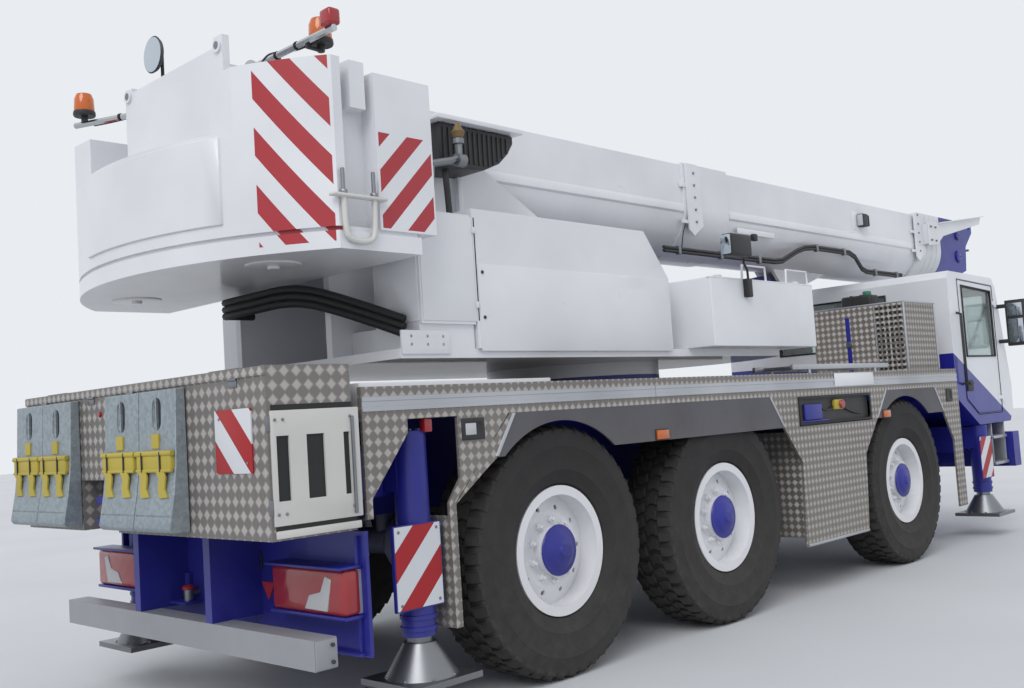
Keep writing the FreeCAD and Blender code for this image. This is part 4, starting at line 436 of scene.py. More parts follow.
# Float glass, and the same glass silvered behind.
GLASS = Clear("window_glass", "#DCE6E4", "#D2DEDC", 0.04, "clear_glass", grime=0.05, relief_mm=0.01)
MIRROR = Finish("silvered_mirror_glass", "#C7CFD8", "#BAC3CD", 0.05, metallic=1.0, relief_mm=0.01)
# Injection-moulded plastic with a fine grain, extruded window rubber, cab trim and seat cloth.
BLACK_PLASTIC = Finish("moulded_black_plastic", "#2A2A2D", "#222225", 0.5, grain_mm=1.5, relief_mm=0.2)
SEAL = Finish("window_rubber", "#1E1F21", "#19191B", 0.6, grain_mm=2)
TRIM = Finish("cab_trim_plastic", "#4A4C50", "#3F4145", 0.6, "cab_trim", grain_mm=2, relief_mm=0.3)
CLOTH = WovenCloth("woven_seat_cloth", "#33363D", "#2A2D33", 0.85, "seat_cloth")
# Moulded acrylic lenses.
RED_LENS = Lens("red_acrylic_lens", "#B9222B", "#A31C25", 0.15, "lamp_red", coat=0.5)
AMBER_LENS = Lens("amber_acrylic_lens", "#E2701D", "#D1631A", 0.15, coat=0.5)
CLEAR_LENS = Lens("clear_acrylic_lens", "#D9DDE0", "#CBD0D4", 0.1, coat=0.5)
# Coloured plastic of the hooks and caps, and the off-white paint of the locker's doors.
YELLOW = Finish("yellow_plastic", "#B8A63C", "#A39236", 0.5, grime=0.3)
CAP_GREEN = Finish("green_cap_plastic", "#2F8F6A", "#287C5C", 0.45)
OFF_WHITE = Finish("off_white_door_paint", "#D3D2CE", "#C7C5C0", 0.4, grime=0.2, grime_top=1.8)

# The first letters of CAD nodes, and the finish of each; the longest that fits counts.
NODE_FINISHES: dict[str, Finish] = {
    "chassis": BLUE, "outrigger_boxes": BLUE, "deck": FINE_CHEQUER, "arch_skirts": SKIRT,
    "side_panels": FINE_CHEQUER, "rear_locker": CHEQUER, "locker_lid": CHEQUER, "wheel_chocks": ZINC,
    "engine_cover": FINE_CHEQUER, "engine": ENGINE, "cab_shell": CAB_ENAMEL, "cab_interior": TRIM,
    "cab_glass": GLASS, "axles": AXLE, "cab_door": CAB_ENAMEL, "door_glass": GLASS, "knuckle": AXLE,
    "tyre": RUBBER, "rim": RIM_WHITE, "outrigger_beam": BLUE, "outrigger_jack": STEEL, "turntable": WHITE,
    "counterweight": WEIGHT, "winch_drum": STEEL, "op_cab_glass": GLASS, "op_cab_interior": TRIM,
    "op_cab": WHITE, "power_housing": WHITE, "toolbox": WHITE, "boom_head": BLUE, "boom_base": WHITE,
    "boom_section": WHITE, "lift_barrel": BLUE, "lift_rod": CHROME, "beacon_rails": SILVER,
    "rear_bar": BAR_GREY,
}


def dress_nodes(nodes: dict[str, Piece]) -> None:
    """Gives each CAD node the material of its finish, or white enamel where no entry fits."""
    for name, shown in nodes.items():
        fitting = [start for start in NODE_FINISHES if name.startswith(start)]
        finish = NODE_FINISHES[max(fitting, key=len)] if fitting else WHITE
        shown.data.materials.clear()
        shown.data.materials.append(finish.material())
        log.info("node %s: %s", name, finish.name)


# The bench: where new pieces are made with Blender's own tools, at their place on the crane, in metres.


def only(piece: Piece) -> None:
    """Selects one piece and nothing else."""
    bpy.ops.object.select_all(action="DESELECT")
    piece.select_set(True)
    bpy.context.view_layer.objects.active = piece


def started(primitive: Callable[..., object], **settings: object) -> Piece:
    """A primitive as Blender makes it, with its place and turn taken into the mesh."""
    bpy.ops.object.select_all(action="DESELECT")
    primitive(**settings)
    bpy.ops.object.transform_apply(location=True, rotation=True, scale=True)
    return bpy.context.object


def edited(piece: Piece, *steps: Callable[[], object]) -> Piece:
    """Runs steps on the whole mesh in edit mode.

    Args:
        piece: The piece to edit.
        steps: Calls made one after another with every vertex selected at first.

    Returns:
        The same piece.
    """
    only(piece)
    bpy.ops.object.mode_set(mode="EDIT")
    bpy.ops.mesh.select_all(action="SELECT")
    for step in steps:
        step()
    bpy.ops.object.mode_set(mode="OBJECT")
    return piece


def modified(piece: Piece, kind: str, **settings: object) -> Piece:
    """Adds one modifier with its settings, applies it and gives the same piece back."""
    only(piece)
    bpy.ops.object.modifier_add(type=kind)
    modifier = piece.modifiers[-1]
    for name, value in settings.items():
        setattr(modifier, name, value)
    bpy.ops.object.modifier_apply(modifier=modifier.name)
    return piece


def softened(piece: Piece, width: float, segments: int = 2, limit_deg: float = 40) -> Piece:
    """Rounds every edge of a piece that is sharper than a limit by a width."""
    if width <= 0:
        return piece
    limit = math.radians(limit_deg)
    return modified(piece, "BEVEL", width=width, segments=segments, limit_method="ANGLE", angle_limit=limit)


def cleaned() -> None:
    """Merges doubled vertices of the selection and turns every face outwards."""
    bpy.ops.mesh.remove_doubles(threshold=1e-5)
    bpy.ops.mesh.normals_make_consistent(inside=False)


def block(low: Point, high: Point, bevel: float = 0.003, segments: int = 2) -> Piece:
    """A box between two corners with rounded edges.

    Args:
        low: Its lowest corner.
        high: Its highest corner.
        bevel: The radius of its edges.
        segments: Facets over each edge.

    Returns:
        The new piece.
    """
    middle = tuple((a + b) / 2 for a, b in zip(low, high))
    size = tuple(b - a for a, b in zip(low, high))
    piece = started(bpy.ops.mesh.primitive_cube_add, size=1, location=middle, scale=size)
    return softened(piece, bevel, segments)


def bar(start: Point, end: Point, radius: float, sides: int = 20, bevel: float = 0.002) -> Piece:
    """A round bar from one point to another with broken edges.

    Args:
        start: The middle of one end.
        end: The middle of the other end.
        radius: The bar's radius.
        sides: Facets round it.
        bevel: The size of the broken edge at both ends.

    Returns:
        The new piece.
    """
    first, second = Vector(start), Vector(end)
    run = second - first
    piece = started(
        bpy.ops.mesh.primitive_cylinder_add, vertices=sides, radius=radius, depth=run.length,
        location=(first + second) / 2, rotation=run.to_track_quat("Z", "Y").to_euler(),
    )
    return softened(piece, bevel, 1, 60)


def joined(pieces: Iterable[Piece]) -> Piece:
    """Several pieces as one object."""
    group = list(pieces)
    bpy.ops.object.select_all(action="DESELECT")
    for piece in group:
        piece.select_set(True)
    bpy.context.view_layer.objects.active = group[0]
    if len(group) > 1:
        bpy.ops.object.join()
    return bpy.context.view_layer.objects.active


def pad(low: Point, high: Point) -> Piece:
    """A crowned cushion between two corners, with a piped seam round its middle."""
    piece = block(low, high, 0)
    edited(piece, lambda: bpy.ops.mesh.subdivide(number_cuts=3))
    modified(piece, "SUBSURF", levels=2, render_levels=2)
    sides = [b - a for a, b in zip(low, high)]
    thin = sides.index(min(sides))
    wide, long = (axis for axis in range(3) if axis != thin)
    corners = ((0.03, 0.10), (0.10, 0.03), (0.90, 0.03), (0.97, 0.10))
    corners += tuple((1 - at_wide, 1 - at_long) for at_wide, at_long in corners)
    seam = []
    for at_wide, at_long in corners:
        point = [(low[thin] + high[thin]) / 2] * 3
        point[wide] = low[wide] + at_wide * sides[wide]
        point[long] = low[long] + at_long * sides[long]
        seam.append(tuple(point))
    return joined([piece, tube(seam, 0.004, closed=True)])


def outlined(points: Sequence[Point], filled: bool) -> Piece:
    """A flat loop whose vertices are moved to given points."""
    fill = "NGON" if filled else "NOTHING"
    piece = started(bpy.ops.mesh.primitive_circle_add, vertices=len(points), fill_type=fill)
    for vertex, point in zip(piece.data.vertices, points):
        vertex.co = point
    return piece


def plate(points: Sequence[Point], thickness: Point, bevel: float = 0.002) -> Piece:
    """A flat outline drawn out along a vector.

    Args:
        points: The outline's corners in order.
        thickness: How far and which way it is drawn out.
        bevel: The radius of its edges.

    Returns:
        The new piece.
    """
    piece = outlined(points, True)
    edited(piece, lambda: bpy.ops.mesh.extrude_region_move(TRANSFORM_OT_translate={"value": thickness}))
    return softened(edited(piece, cleaned), bevel, 1)


def turned(profile: Sequence[tuple[float, float]], place: Point, axis: Point, steps: int) -> Piece:
    """A closed profile spun round an axis.

    Args:
        profile: The section's corners in order, each a radius and a distance along the axis.
        place: Where the axis starts.
        axis: Its direction.
        steps: Facets round it.

    Returns:
        The new piece.
    """
    line = Vector(axis)
    out = Vector(UP if abs(line.z) < 0.5 else FORWARD)
    piece = outlined([tuple(Vector(place) + out * radius + line * far) for radius, far in profile], False)
    return edited(
        piece, lambda: bpy.ops.mesh.spin(steps=steps, angle=math.tau, center=place, axis=axis),
        lambda: bpy.ops.mesh.select_all(action="SELECT"), cleaned,
    )


def disc(radius: float, height: float, place: Point, axis: Point, steps: int) -> Piece:
    """A plain round of one thickness, with its axis starting at a place."""
    return turned([(0, 0), (radius, 0), (radius, height), (0, height)], place, axis, steps)


def tube(points: Sequence[Point], radius: float, closed: bool = False, smooth: bool = False) -> Piece:
    """A round tube along points, made from a curve.

    Args:
        points: The points of its middle line.
        radius: The tube's radius.
        closed: Whether it runs back to its start.
        smooth: Whether it bends softly between the points.

    Returns:
        The new piece.
    """
    line = bpy.data.curves.new("line", "CURVE")
    line.dimensions = "3D"
    line.bevel_depth = radius
    line.bevel_resolution = 2
    line.resolution_u = 6 if smooth else 1
    line.use_fill_caps = True
    spline = line.splines.new("NURBS" if smooth else "POLY")
    spline.points.add(len(points) - 1)
    for target, point in zip(spline.points, points):
        target.co = (*point, 1)
    spline.use_cyclic_u = closed
    if smooth:
        spline.order_u = 3
        spline.use_endpoint_u = True
    piece = bpy.data.objects.new("tube", line)
    bpy.context.scene.collection.objects.link(piece)
    only(piece)
    bpy.ops.object.convert(target="MESH")
    return bpy.context.object


def pierced(piece: Piece, *tools: Piece) -> Piece:
    """Cuts other pieces out of a piece and clears them away."""
    tool = joined(tools)
    modified(piece, "BOOLEAN", operation="DIFFERENCE", solver="EXACT", object=tool)
    bpy.data.objects.remove(tool)
    return piece


def copied(piece: Piece, change: Matrix) -> Piece:
    """A copy with a mesh of its own, moved, turned or mirrored by a matrix."""
    twin = piece.copy()
    twin.data = piece.data.copy()
    bpy.context.scene.collection.objects.link(twin)
    twin.data.transform(change)
    return edited(twin, cleaned) if change.determinant() < 0 else twin


def across(piece: Piece) -> Piece:
    """A mirrored copy on the crane's other side."""
    return copied(piece, Matrix.Scale(-1, 4, LEFT))


def ring(number: int, radius: float, start: float = 0) -> list[tuple[float, float]]:
    """Evenly spaced places on a circle, as the cosine and sine sides of each."""
    angles = [math.tau * (item + start) / number for item in range(number)]
    return [(radius * math.cos(angle), radius * math.sin(angle)) for angle in angles]


def box_of(node: str) -> tuple[Vector, Vector]:
    """The two corners of a CAD node's box."""
    spots = [vertex.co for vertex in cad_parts[node].data.vertices]
    return tuple(Vector([pick(spot[axis] for spot in spots) for axis in range(3)]) for pick in (min, max))


# Sub-assemblies.


class Side(Enum):
    """A side of the crane, with the sign of its places across."""

    RIGHT = -1
    LEFT = 1

    def named(self, word: str) -> str:
        """A word with the side's name after it."""
        return f"{word}_{self.name.lower()}"


class Assembly:
    """A sub-assembly of the crane; each one keeps its own sizes."""

    body: ClassVar[str] = "carrier"

    def build(self) -> None:
        """Makes every piece of the sub-assembly."""
        raise NotImplementedError

    def add(
        self, pieces: Piece | Iterable[Piece], name: str, finish: Finish, angle: float = 35,
        slot: str | None = "", body: str = "",
    ) -> Piece:
        """Finishes a piece: one mesh, its name, material, shading and body.

        Args:
            pieces: One object or several that become one.
            name: The piece's name.
            finish: What it is made of.
            angle: Edges sharper than this many degrees stay sharp.
            slot: Not used.
            body: The body it moves with, where it isn't the sub-assembly's own.

        Returns:
            The finished piece.
        """
        piece = pieces if isinstance(pieces, Piece) else joined(pieces)
        piece.name = name
        piece.data.name = name
        piece.data.materials.clear()
        piece.data.materials.append(finish.material())
        only(piece)
        bpy.ops.object.shade_smooth_by_angle(angle=math.radians(angle))
        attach(piece, body or self.body)
        log.info("piece %s on %s: %d faces", name, body or self.body, len(piece.data.polygons))
        return piece

    def pair(
        self, pieces: list[Piece], name: str, finish: Finish, angle: float = 35, slot: str | None = "",
    ) -> Piece:
        """Finishes the right side's pieces together with their copies on the left."""
        return self.add(pieces + [across(piece) for piece in pieces], name, finish, angle, slot)


@dataclass
class Wheels(Assembly):
    """Six road wheels: a lugged tyre in place of the plain one, wheel nuts and a domed hub cap."""

    axle_x: dict[str, float] = field(
        default_factory=lambda: {"rear": ahead(0.0), "middle": ahead(1.65), "front": ahead(4.43)}
    )
    middle_y: float = 1.063
    height: float = 0.695
    radius: float = 0.694
    half_width: float = 0.190
    bead_radius: float = 0.319
    groove_depth: float = 0.016
    lugs: int = 46
    nuts: int = 10
    nut_circle: float = 0.172
    cap_radius: float = 0.138

    def build(self) -> None:
        """Makes one wheel's pieces at the origin and copies them to the six places."""
        parts = {
            "tyre": (self.tyre(), RUBBER, 30), "nuts": (self.wheel_nuts(), RIM_WHITE, 30),
            "cap": (self.cap(), BLUE, 50),
        }
        for axle, axle_x in self.axle_x.items():
            for side in reversed(Side):
                place = Matrix.Translation((axle_x, side.value * self.middle_y, self.height))
                for kind, (model, finish, angle) in parts.items():
                    piece = copied(model, place @ Matrix.Scale(side.value, 4, LEFT))
                    name, body = side.named(f"{kind}_{axle}") + "_dressed", side.named(f"wheel_{axle}")
                    self.add(piece, name, finish, angle, body=body)
                    if kind == "tyre":
                        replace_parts(piece, side.named(f"tyre_{axle}"))
        for model, *_ in parts.values():
            bpy.data.objects.remove(model)

    def tyre(self) -> Piece:
        """Carcass with ribbed sidewalls and three kinds of tread lug."""
        floor = self.radius - self.groove_depth
        wide = self.half_width
        side = [
            (self.bead_radius, 0.134), (0.362, 0.134), (0.372, 0.156), (0.40, 0.166), (0.43, 0.180),
            (0.445, 0.186), (0.455, 0.184), (0.51, wide), (0.56, wide - 0.001), (0.575, wide + 0.002),
            (0.585, wide - 0.003), (0.64, 0.181), (floor - 0.008, 0.168), (floor, 0.150),
        ]
        profile = side + [(radius, -far) for radius, far in reversed(side)]
        return joined([turned(profile, ORIGIN, LEFT, 72), *self.tread(floor)])

    def tread(self, floor: float) -> list[Piece]:
        """Lugs at both shoulders and two staggered rows between them."""
        top = self.radius
        pitch = math.tau * top / self.lugs
        shoulder = (
            (-0.36, 0.102, 0), (0.30, 0.092, 0), (0.36, 0.150, -0.002), (0.33, 0.179, -0.030),
            (-0.33, 0.179, -0.030), (-0.30, 0.152, -0.002),
        )
        inner = (
            (-0.40, 0.012, 0), (0.22, 0.006, 0), (0.42, 0.050, 0), (0.34, 0.086, 0), (-0.30, 0.090, 0),
            (-0.18, 0.048, 0),
        )
        half_turn = Matrix.Rotation(math.pi, 4, "Z")
        pieces = []
        for outline, depth, stagger in ((shoulder, -0.03, 0), (inner, floor - top - 0.006, 0.35)):
            points = [(share * pitch, y, top + drop) for share, y, drop in outline]
            model = plate(points, (0, 0, depth), 0.003)
            for lug, start in ((model, stagger), (copied(model, half_turn), stagger + 0.5)):
                for number in range(self.lugs):
                    angle = math.tau * (number + start) / self.lugs
                    pieces.append(copied(lug, Matrix.Rotation(angle, 4, "Y")))
                bpy.data.objects.remove(lug)
        return pieces

    def wheel_nuts(self) -> Piece:
        """Hexagon nuts on a circle, each on its washer, with the stud's end in the middle."""
        steps = ((0.064, 0.071, 0.022, 16), (0.070, 0.094, 0.0175, 6), (0.090, 0.108, 0.010, 12))
        return joined(
            bar((x, start, z), (x, end, z), radius, sides)
            for x, z in ring(self.nuts, self.nut_circle, 0.5)
            for start, end, radius, sides in steps
        )

    def cap(self) -> Piece:
        """A dome over the hub with a rim and a plug in its middle."""
        rim = self.cap_radius
        profile = [
            (0, 0.124), (rim, 0.124), (rim + 0.004, 0.130), (rim, 0.137), (0.112, 0.139), (0.10, 0.150),
            (0.07, 0.163), (0.035, 0.168), (0.030, 0.176), (0, 0.178),
        ]
        return turned(profile, ORIGIN, LEFT, 40)


@dataclass
class Winch(Assembly):
    """The hoist winch: rope wound on its drum, bolts in its flanges and the frame's bosses."""

    body: ClassVar[str] = "superstructure"
    x: float = ahead(-1.27)
    z: float = 3.16
    frame_x: float = ahead(-1.62)
    drum_radius: float = 0.19
    drum_half: float = 0.28
    rope_radius: float = 0.008
    flange_bolts: int = 12

    def build(self) -> None:
        """Makes the rope, the bolts and the frame's fittings."""
        self.rope()
        self.bolts()
        self.frame_fittings()

    def rope(self) -> None:
        """Two layers of rope lie side by side on the drum."""
        coils = [
            started(
                bpy.ops.mesh.primitive_torus_add, major_segments=36, minor_segments=6,
                major_radius=self.drum_radius + self.rope_radius * (1 + 1.75 * layer),
                minor_radius=self.rope_radius, rotation=(math.pi / 2, 0, 0),
                location=(
                    self.x, -self.drum_half + self.rope_radius * (1.2 + 2.02 * number + layer), self.z,
                ),
            )
            for layer, count in ((0, 33), (1, 21))
            for number in range(count)
        ]
        self.add(coils, "hoist_rope_on_drum", ROPE, 60, body="winch_drum")

    def bolts(self) -> None:
        """Cap screws round both flanges."""
        pieces = [
            bar((self.x + x, sign * 0.299, self.z + z), (self.x + x, sign * 0.309, self.z + z), 0.011, 8)
            for x, z in ring(self.flange_bolts, 0.225)
            for sign in (-1, 1)
        ]
        self.add(pieces, "winch_flange_bolts", STEEL, body="winch_drum")

    def frame_fittings(self) -> None:
        """A bored boss on each lug of the frame's rear plate, screws at its foot and both bearing covers."""
        tail = self.frame_x
        lugs = ((-0.58, 3.40), (0.38, 3.385))
        bosses = [disc(0.036, 0.012, (tail, y, z), BACK, 24) for y, z in lugs]
        eyes = [disc(0.02, 0.014, (tail, y, z), BACK, 20) for y, z in lugs]
        eyes += [
            bar((tail, y, z), (tail - 0.008, y, z), 0.012, 6) for y in (-0.57, 0.37) for z in (2.93, 3.02)
        ]
        cover = [(0, 0), (0.115, 0), (0.115, 0.012), (0.10, 0.018), (0.05, 0.02), (0.05, 0.05), (0, 0.05)]
        bosses += [turned(cover, (self.x, sign * 0.381, self.z), (0, sign, 0), 32) for sign in (-1, 1)]
        self.add(bosses, "winch_frame_bosses", WHITE)
        self.add(eyes, "winch_frame_eyes", STEEL)


@dataclass
class BeaconRails(Assembly):
    """Bright tubes on both sides of the winch with amber beacons, a red lamp and the hoist mirror."""

    body: ClassVar[str] = "superstructure"
    x: float = ahead(-1.30)
    z: float = 3.40
    inner_y: float = 0.375
    bend_y: float = 0.425
    outer_y: float = 1.12
    beacon_y: float = 1.06
    left_end_x: float = ahead(-1.60)
    left_beacon_x: float = ahead(-1.57)
    stalk: float = 0.035
    right_drop: float = 0.02
    tube_radius: float = 0.019
    mirror_y: float = 0.60
    mirror_z: float = 3.75
    mirror_radius: float = 0.112

    def end_x(self, sign: float) -> float:
        """The place along X of a rail's outer end; the left rail slants to the rear."""
        return self.x if sign < 0 else self.left_end_x

    def build(self) -> None:
        """Makes the rails, which stand for the plain CAD ones, and what they carry."""
        self.rails()
        self.beacons()
        self.cables()
        self.mirror()

    def rails(self) -> None:
        """One bent tube a side with its flange on the winch frame."""
        flange = [(0, 0), (0.045, 0), (0.045, 0.008), (0.024, 0.012), (0, 0.012)]
        pieces = []
        for sign in (-1, 1):
            line = ((self.x, self.inner_y), (self.x, self.bend_y), (self.end_x(sign), self.outer_y))
            pieces.append(tube([(x, sign * y, self.z) for x, y in line], self.tube_radius))
            pieces.append(turned(flange, (self.x, sign * 0.381, self.z), (0, sign, 0), 24))
        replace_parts(self.add(pieces, "beacon_rails_dressed", CHROME, 40), "beacon_rails")

    def beacons(self) -> None:
        """Amber domes on black feet, the right one beside the rail and the left one on a stalk."""
        dome = [
            (0, 0.035), (0.055, 0.035), (0.060, 0.05), (0.057, 0.12), (0.045, 0.150), (0.02, 0.160),
            (0, 0.160),
        ]
        foot = [(0, 0.014), (0.062, 0.014), (0.066, 0.022), (0.064, 0.042), (0, 0.042)]
        right = (self.x + 0.085, -self.beacon_y + 0.17, self.z - self.right_drop)
        left = (self.left_beacon_x, self.beacon_y, self.z + self.stalk)
        self.add([turned(dome, place, UP, 32) for place in (right, left)], "beacon_lenses", AMBER_LENS, 40)
        feet = [turned(foot, place, UP, 32) for place in (right, left)]
        for (x, y, z), below in ((left, self.stalk), (right, 0.02)):
            feet.append(bar((x, y, z - below), (x, y, z + 0.02), 0.02, 14))
        x, y, z = right
        feet.append(tube([(x, y, z - 0.012), (self.x, y, z - 0.012), (self.x, y, self.z - 0.01)], 0.011))
        self.add(feet, "beacon_feet", BLACK_PLASTIC)

    def cables(self) -> None:
        """Cables and their clips round both rails, and a small red lamp at the right rail's end."""
        loop = [(0.019, 0), (0.0225, 0), (0.0225, 0.012), (0.019, 0.012)]
        pieces = []
        for sign in (-1, 1):
            slant = (self.end_x(sign) - self.x) / (self.outer_y - self.bend_y)
            route = [
                (self.x + slant * (y - self.bend_y) + off, sign * y, self.z + rise)
                for y, off, rise in (
                    (1.01, 0.02, -0.01), (0.80, 0.026, -0.012), (0.62, 0.02, 0.026), (0.52, -0.02, 0.02),
                )
            ]
            pieces.append(tube([*route, (self.x - 0.026, sign * 0.43, self.z - 0.10)], 0.009, smooth=True))
            for y in (0.62, 0.80):
                place = (self.x + slant * (y - self.bend_y), sign * y, self.z)
                pieces.append(turned(loop, place, (slant, sign, 0), 20))
        self.add(pieces, "beacon_cables", SEAL, 60)
        low = (self.x - 0.036, -self.outer_y - 0.012, self.z + 0.016)
        high = (self.x + 0.036, -self.outer_y + 0.075, self.z + 0.10)
        self.add(block(low, high, 0.016, 3), "rail_end_lamp", RED_LENS, 40)

    def mirror(self) -> None:
        """A round mirror that looks at the winch, in a black shell."""
        shell = [
            (0, 0), (0.06, 0.002), (0.10, 0.012), (self.mirror_radius, 0.030), (0.108, 0.034), (0, 0.034),
        ]
        place = (self.x - 0.016, self.mirror_y, self.mirror_z)
        self.add(turned(shell, place, BACK, 36), "hoist_mirror_shell", BLACK_PLASTIC, 40)
        stem = [
            (self.x, self.mirror_y + 0.06, self.z), (self.x, self.mirror_y + 0.06, self.z + 0.10),
            (self.x + 0.012, self.mirror_y, self.z + 0.16), (self.x + 0.012, self.mirror_y, self.mirror_z),
        ]
        self.add(tube(stem, 0.011), "hoist_mirror_arm", BLACK_PLASTIC, 60)
        face = [(0, 0.030), (0.104, 0.030), (0.104, 0.036), (0, 0.038)]
        self.add(turned(face, place, BACK, 36), "hoist_mirror_glass", MIRROR, 40)


@dataclass
class WeightTrim(Assembly):
    """What is fixed to the counterweight: a bare raised plate at the back and the tie bolts at both sides."""

    body: ClassVar[str] = "superstructure"
    arc_middle_x: float = ahead(0.0034)
    arc_radius: float = 1.9334
    proud: float = 0.012
    bolt_y: float = -1.292
    bolt_x: tuple[float, float] = (ahead(-1.43), ahead(-1.25))

    def build(self) -> None:
        """Makes the plate, the bolts, the hoses slung underneath and the lifting eyes."""
        self.add(self.band(-0.79, 0.33, 2.44, 2.86), "weight_bare_panel", WHITE)
        self.tie_bolts()
        self.sockets()
        self.hoses()

    def band(self, y_low: float, y_high: float, z_low: float, z_high: float, steps: int = 12) -> Piece:
        """A curved plate on the back between two places across and two heights."""
        places = [y_low + (y_high - y_low) * number / steps for number in range(steps + 1)]
        outline = []
        for proud, row in ((self.proud, places), (-0.004, places[::-1])):
            reach = self.arc_radius + proud
            outline += [(self.arc_middle_x - math.sqrt(reach**2 - y * y), y, z_low) for y in row]
        return plate(outline, (0, 0, z_high - z_low), 0.003)

    def tie_bolts(self) -> None:
        """A bow with threaded ends under a clamp plate, on each side."""
        y, (rear_x, front_x) = self.bolt_y, self.bolt_x
        bolts = []
        for x in self.bolt_x:
            bolts.append(bar((x, y, 2.40), (x, y, 2.65), 0.010))
            bolts.append(bar((x, y, 2.528), (x, y, 2.548), 0.019, 6))
        self.pair(bolts, "weight_tie_bolts", STEEL)
        bow = ((rear_x, 2.515), (rear_x, 2.36), (rear_x + 0.03, 2.31))
        bow += ((front_x - 0.03, 2.31), (front_x, 2.36), (front_x, 2.515))
        clamps = [
            tube([(x, y, z) for x, z in bow], 0.014, smooth=True),
            block((ahead(-1.50), y - 0.022, 2.513), (ahead(-1.18), y + 0.022, 2.529), 0.006),
        ]
        self.pair(clamps, "weight_clamps", OFF_WHITE, 50, "white_paint")

    def sockets(self) -> None:
        """Round plugs under the counterweight and lifting sockets on its top."""
        plug = [(0, 0), (0.14, 0), (0.14, 0.006), (0.11, 0.010), (0.03, 0.010), (0.03, 0.022), (0, 0.022)]
        plugs = [turned(plug, (ahead(-1.45), sign * 0.72, 2.276), DOWN, 36) for sign in (-1, 1)]
        self.add(plugs, "weight_lower_plugs", WHITE, 40)
        lug = [(0, 0), (0.05, 0), (0.05, 0.012), (0.035, 0.018), (0, 0.018)]
        eyes = [
            turned(lug, (ahead(x), y, z), UP, 24)
            for x, y, z in ((-1.30, 0.80, 3.183), (-1.02, 1.12, 3.143))
        ]
        self.pair(eyes, "weight_lifting_sockets", STEEL)

    def hoses(self) -> None:
        """Three hoses slung under the counterweight, one below the other."""
        route = (
            (-0.84, -0.98, 1.99), (-1.00, -0.66, 2.14), (-1.12, -0.40, 2.225), (-1.20, -0.10, 2.20),
            (-1.20, 0.18, 2.20), (-1.10, 0.30, 2.22), (-0.93, 0.30, 2.22),
        )
        bundle = [
            tube([(ahead(x), y, z - drop) for x, y, z in route], 0.022, smooth=True)
            for drop in (0, 0.040, 0.078)
        ]
        self.add(bundle, "slung_hoses", SEAL, 60)


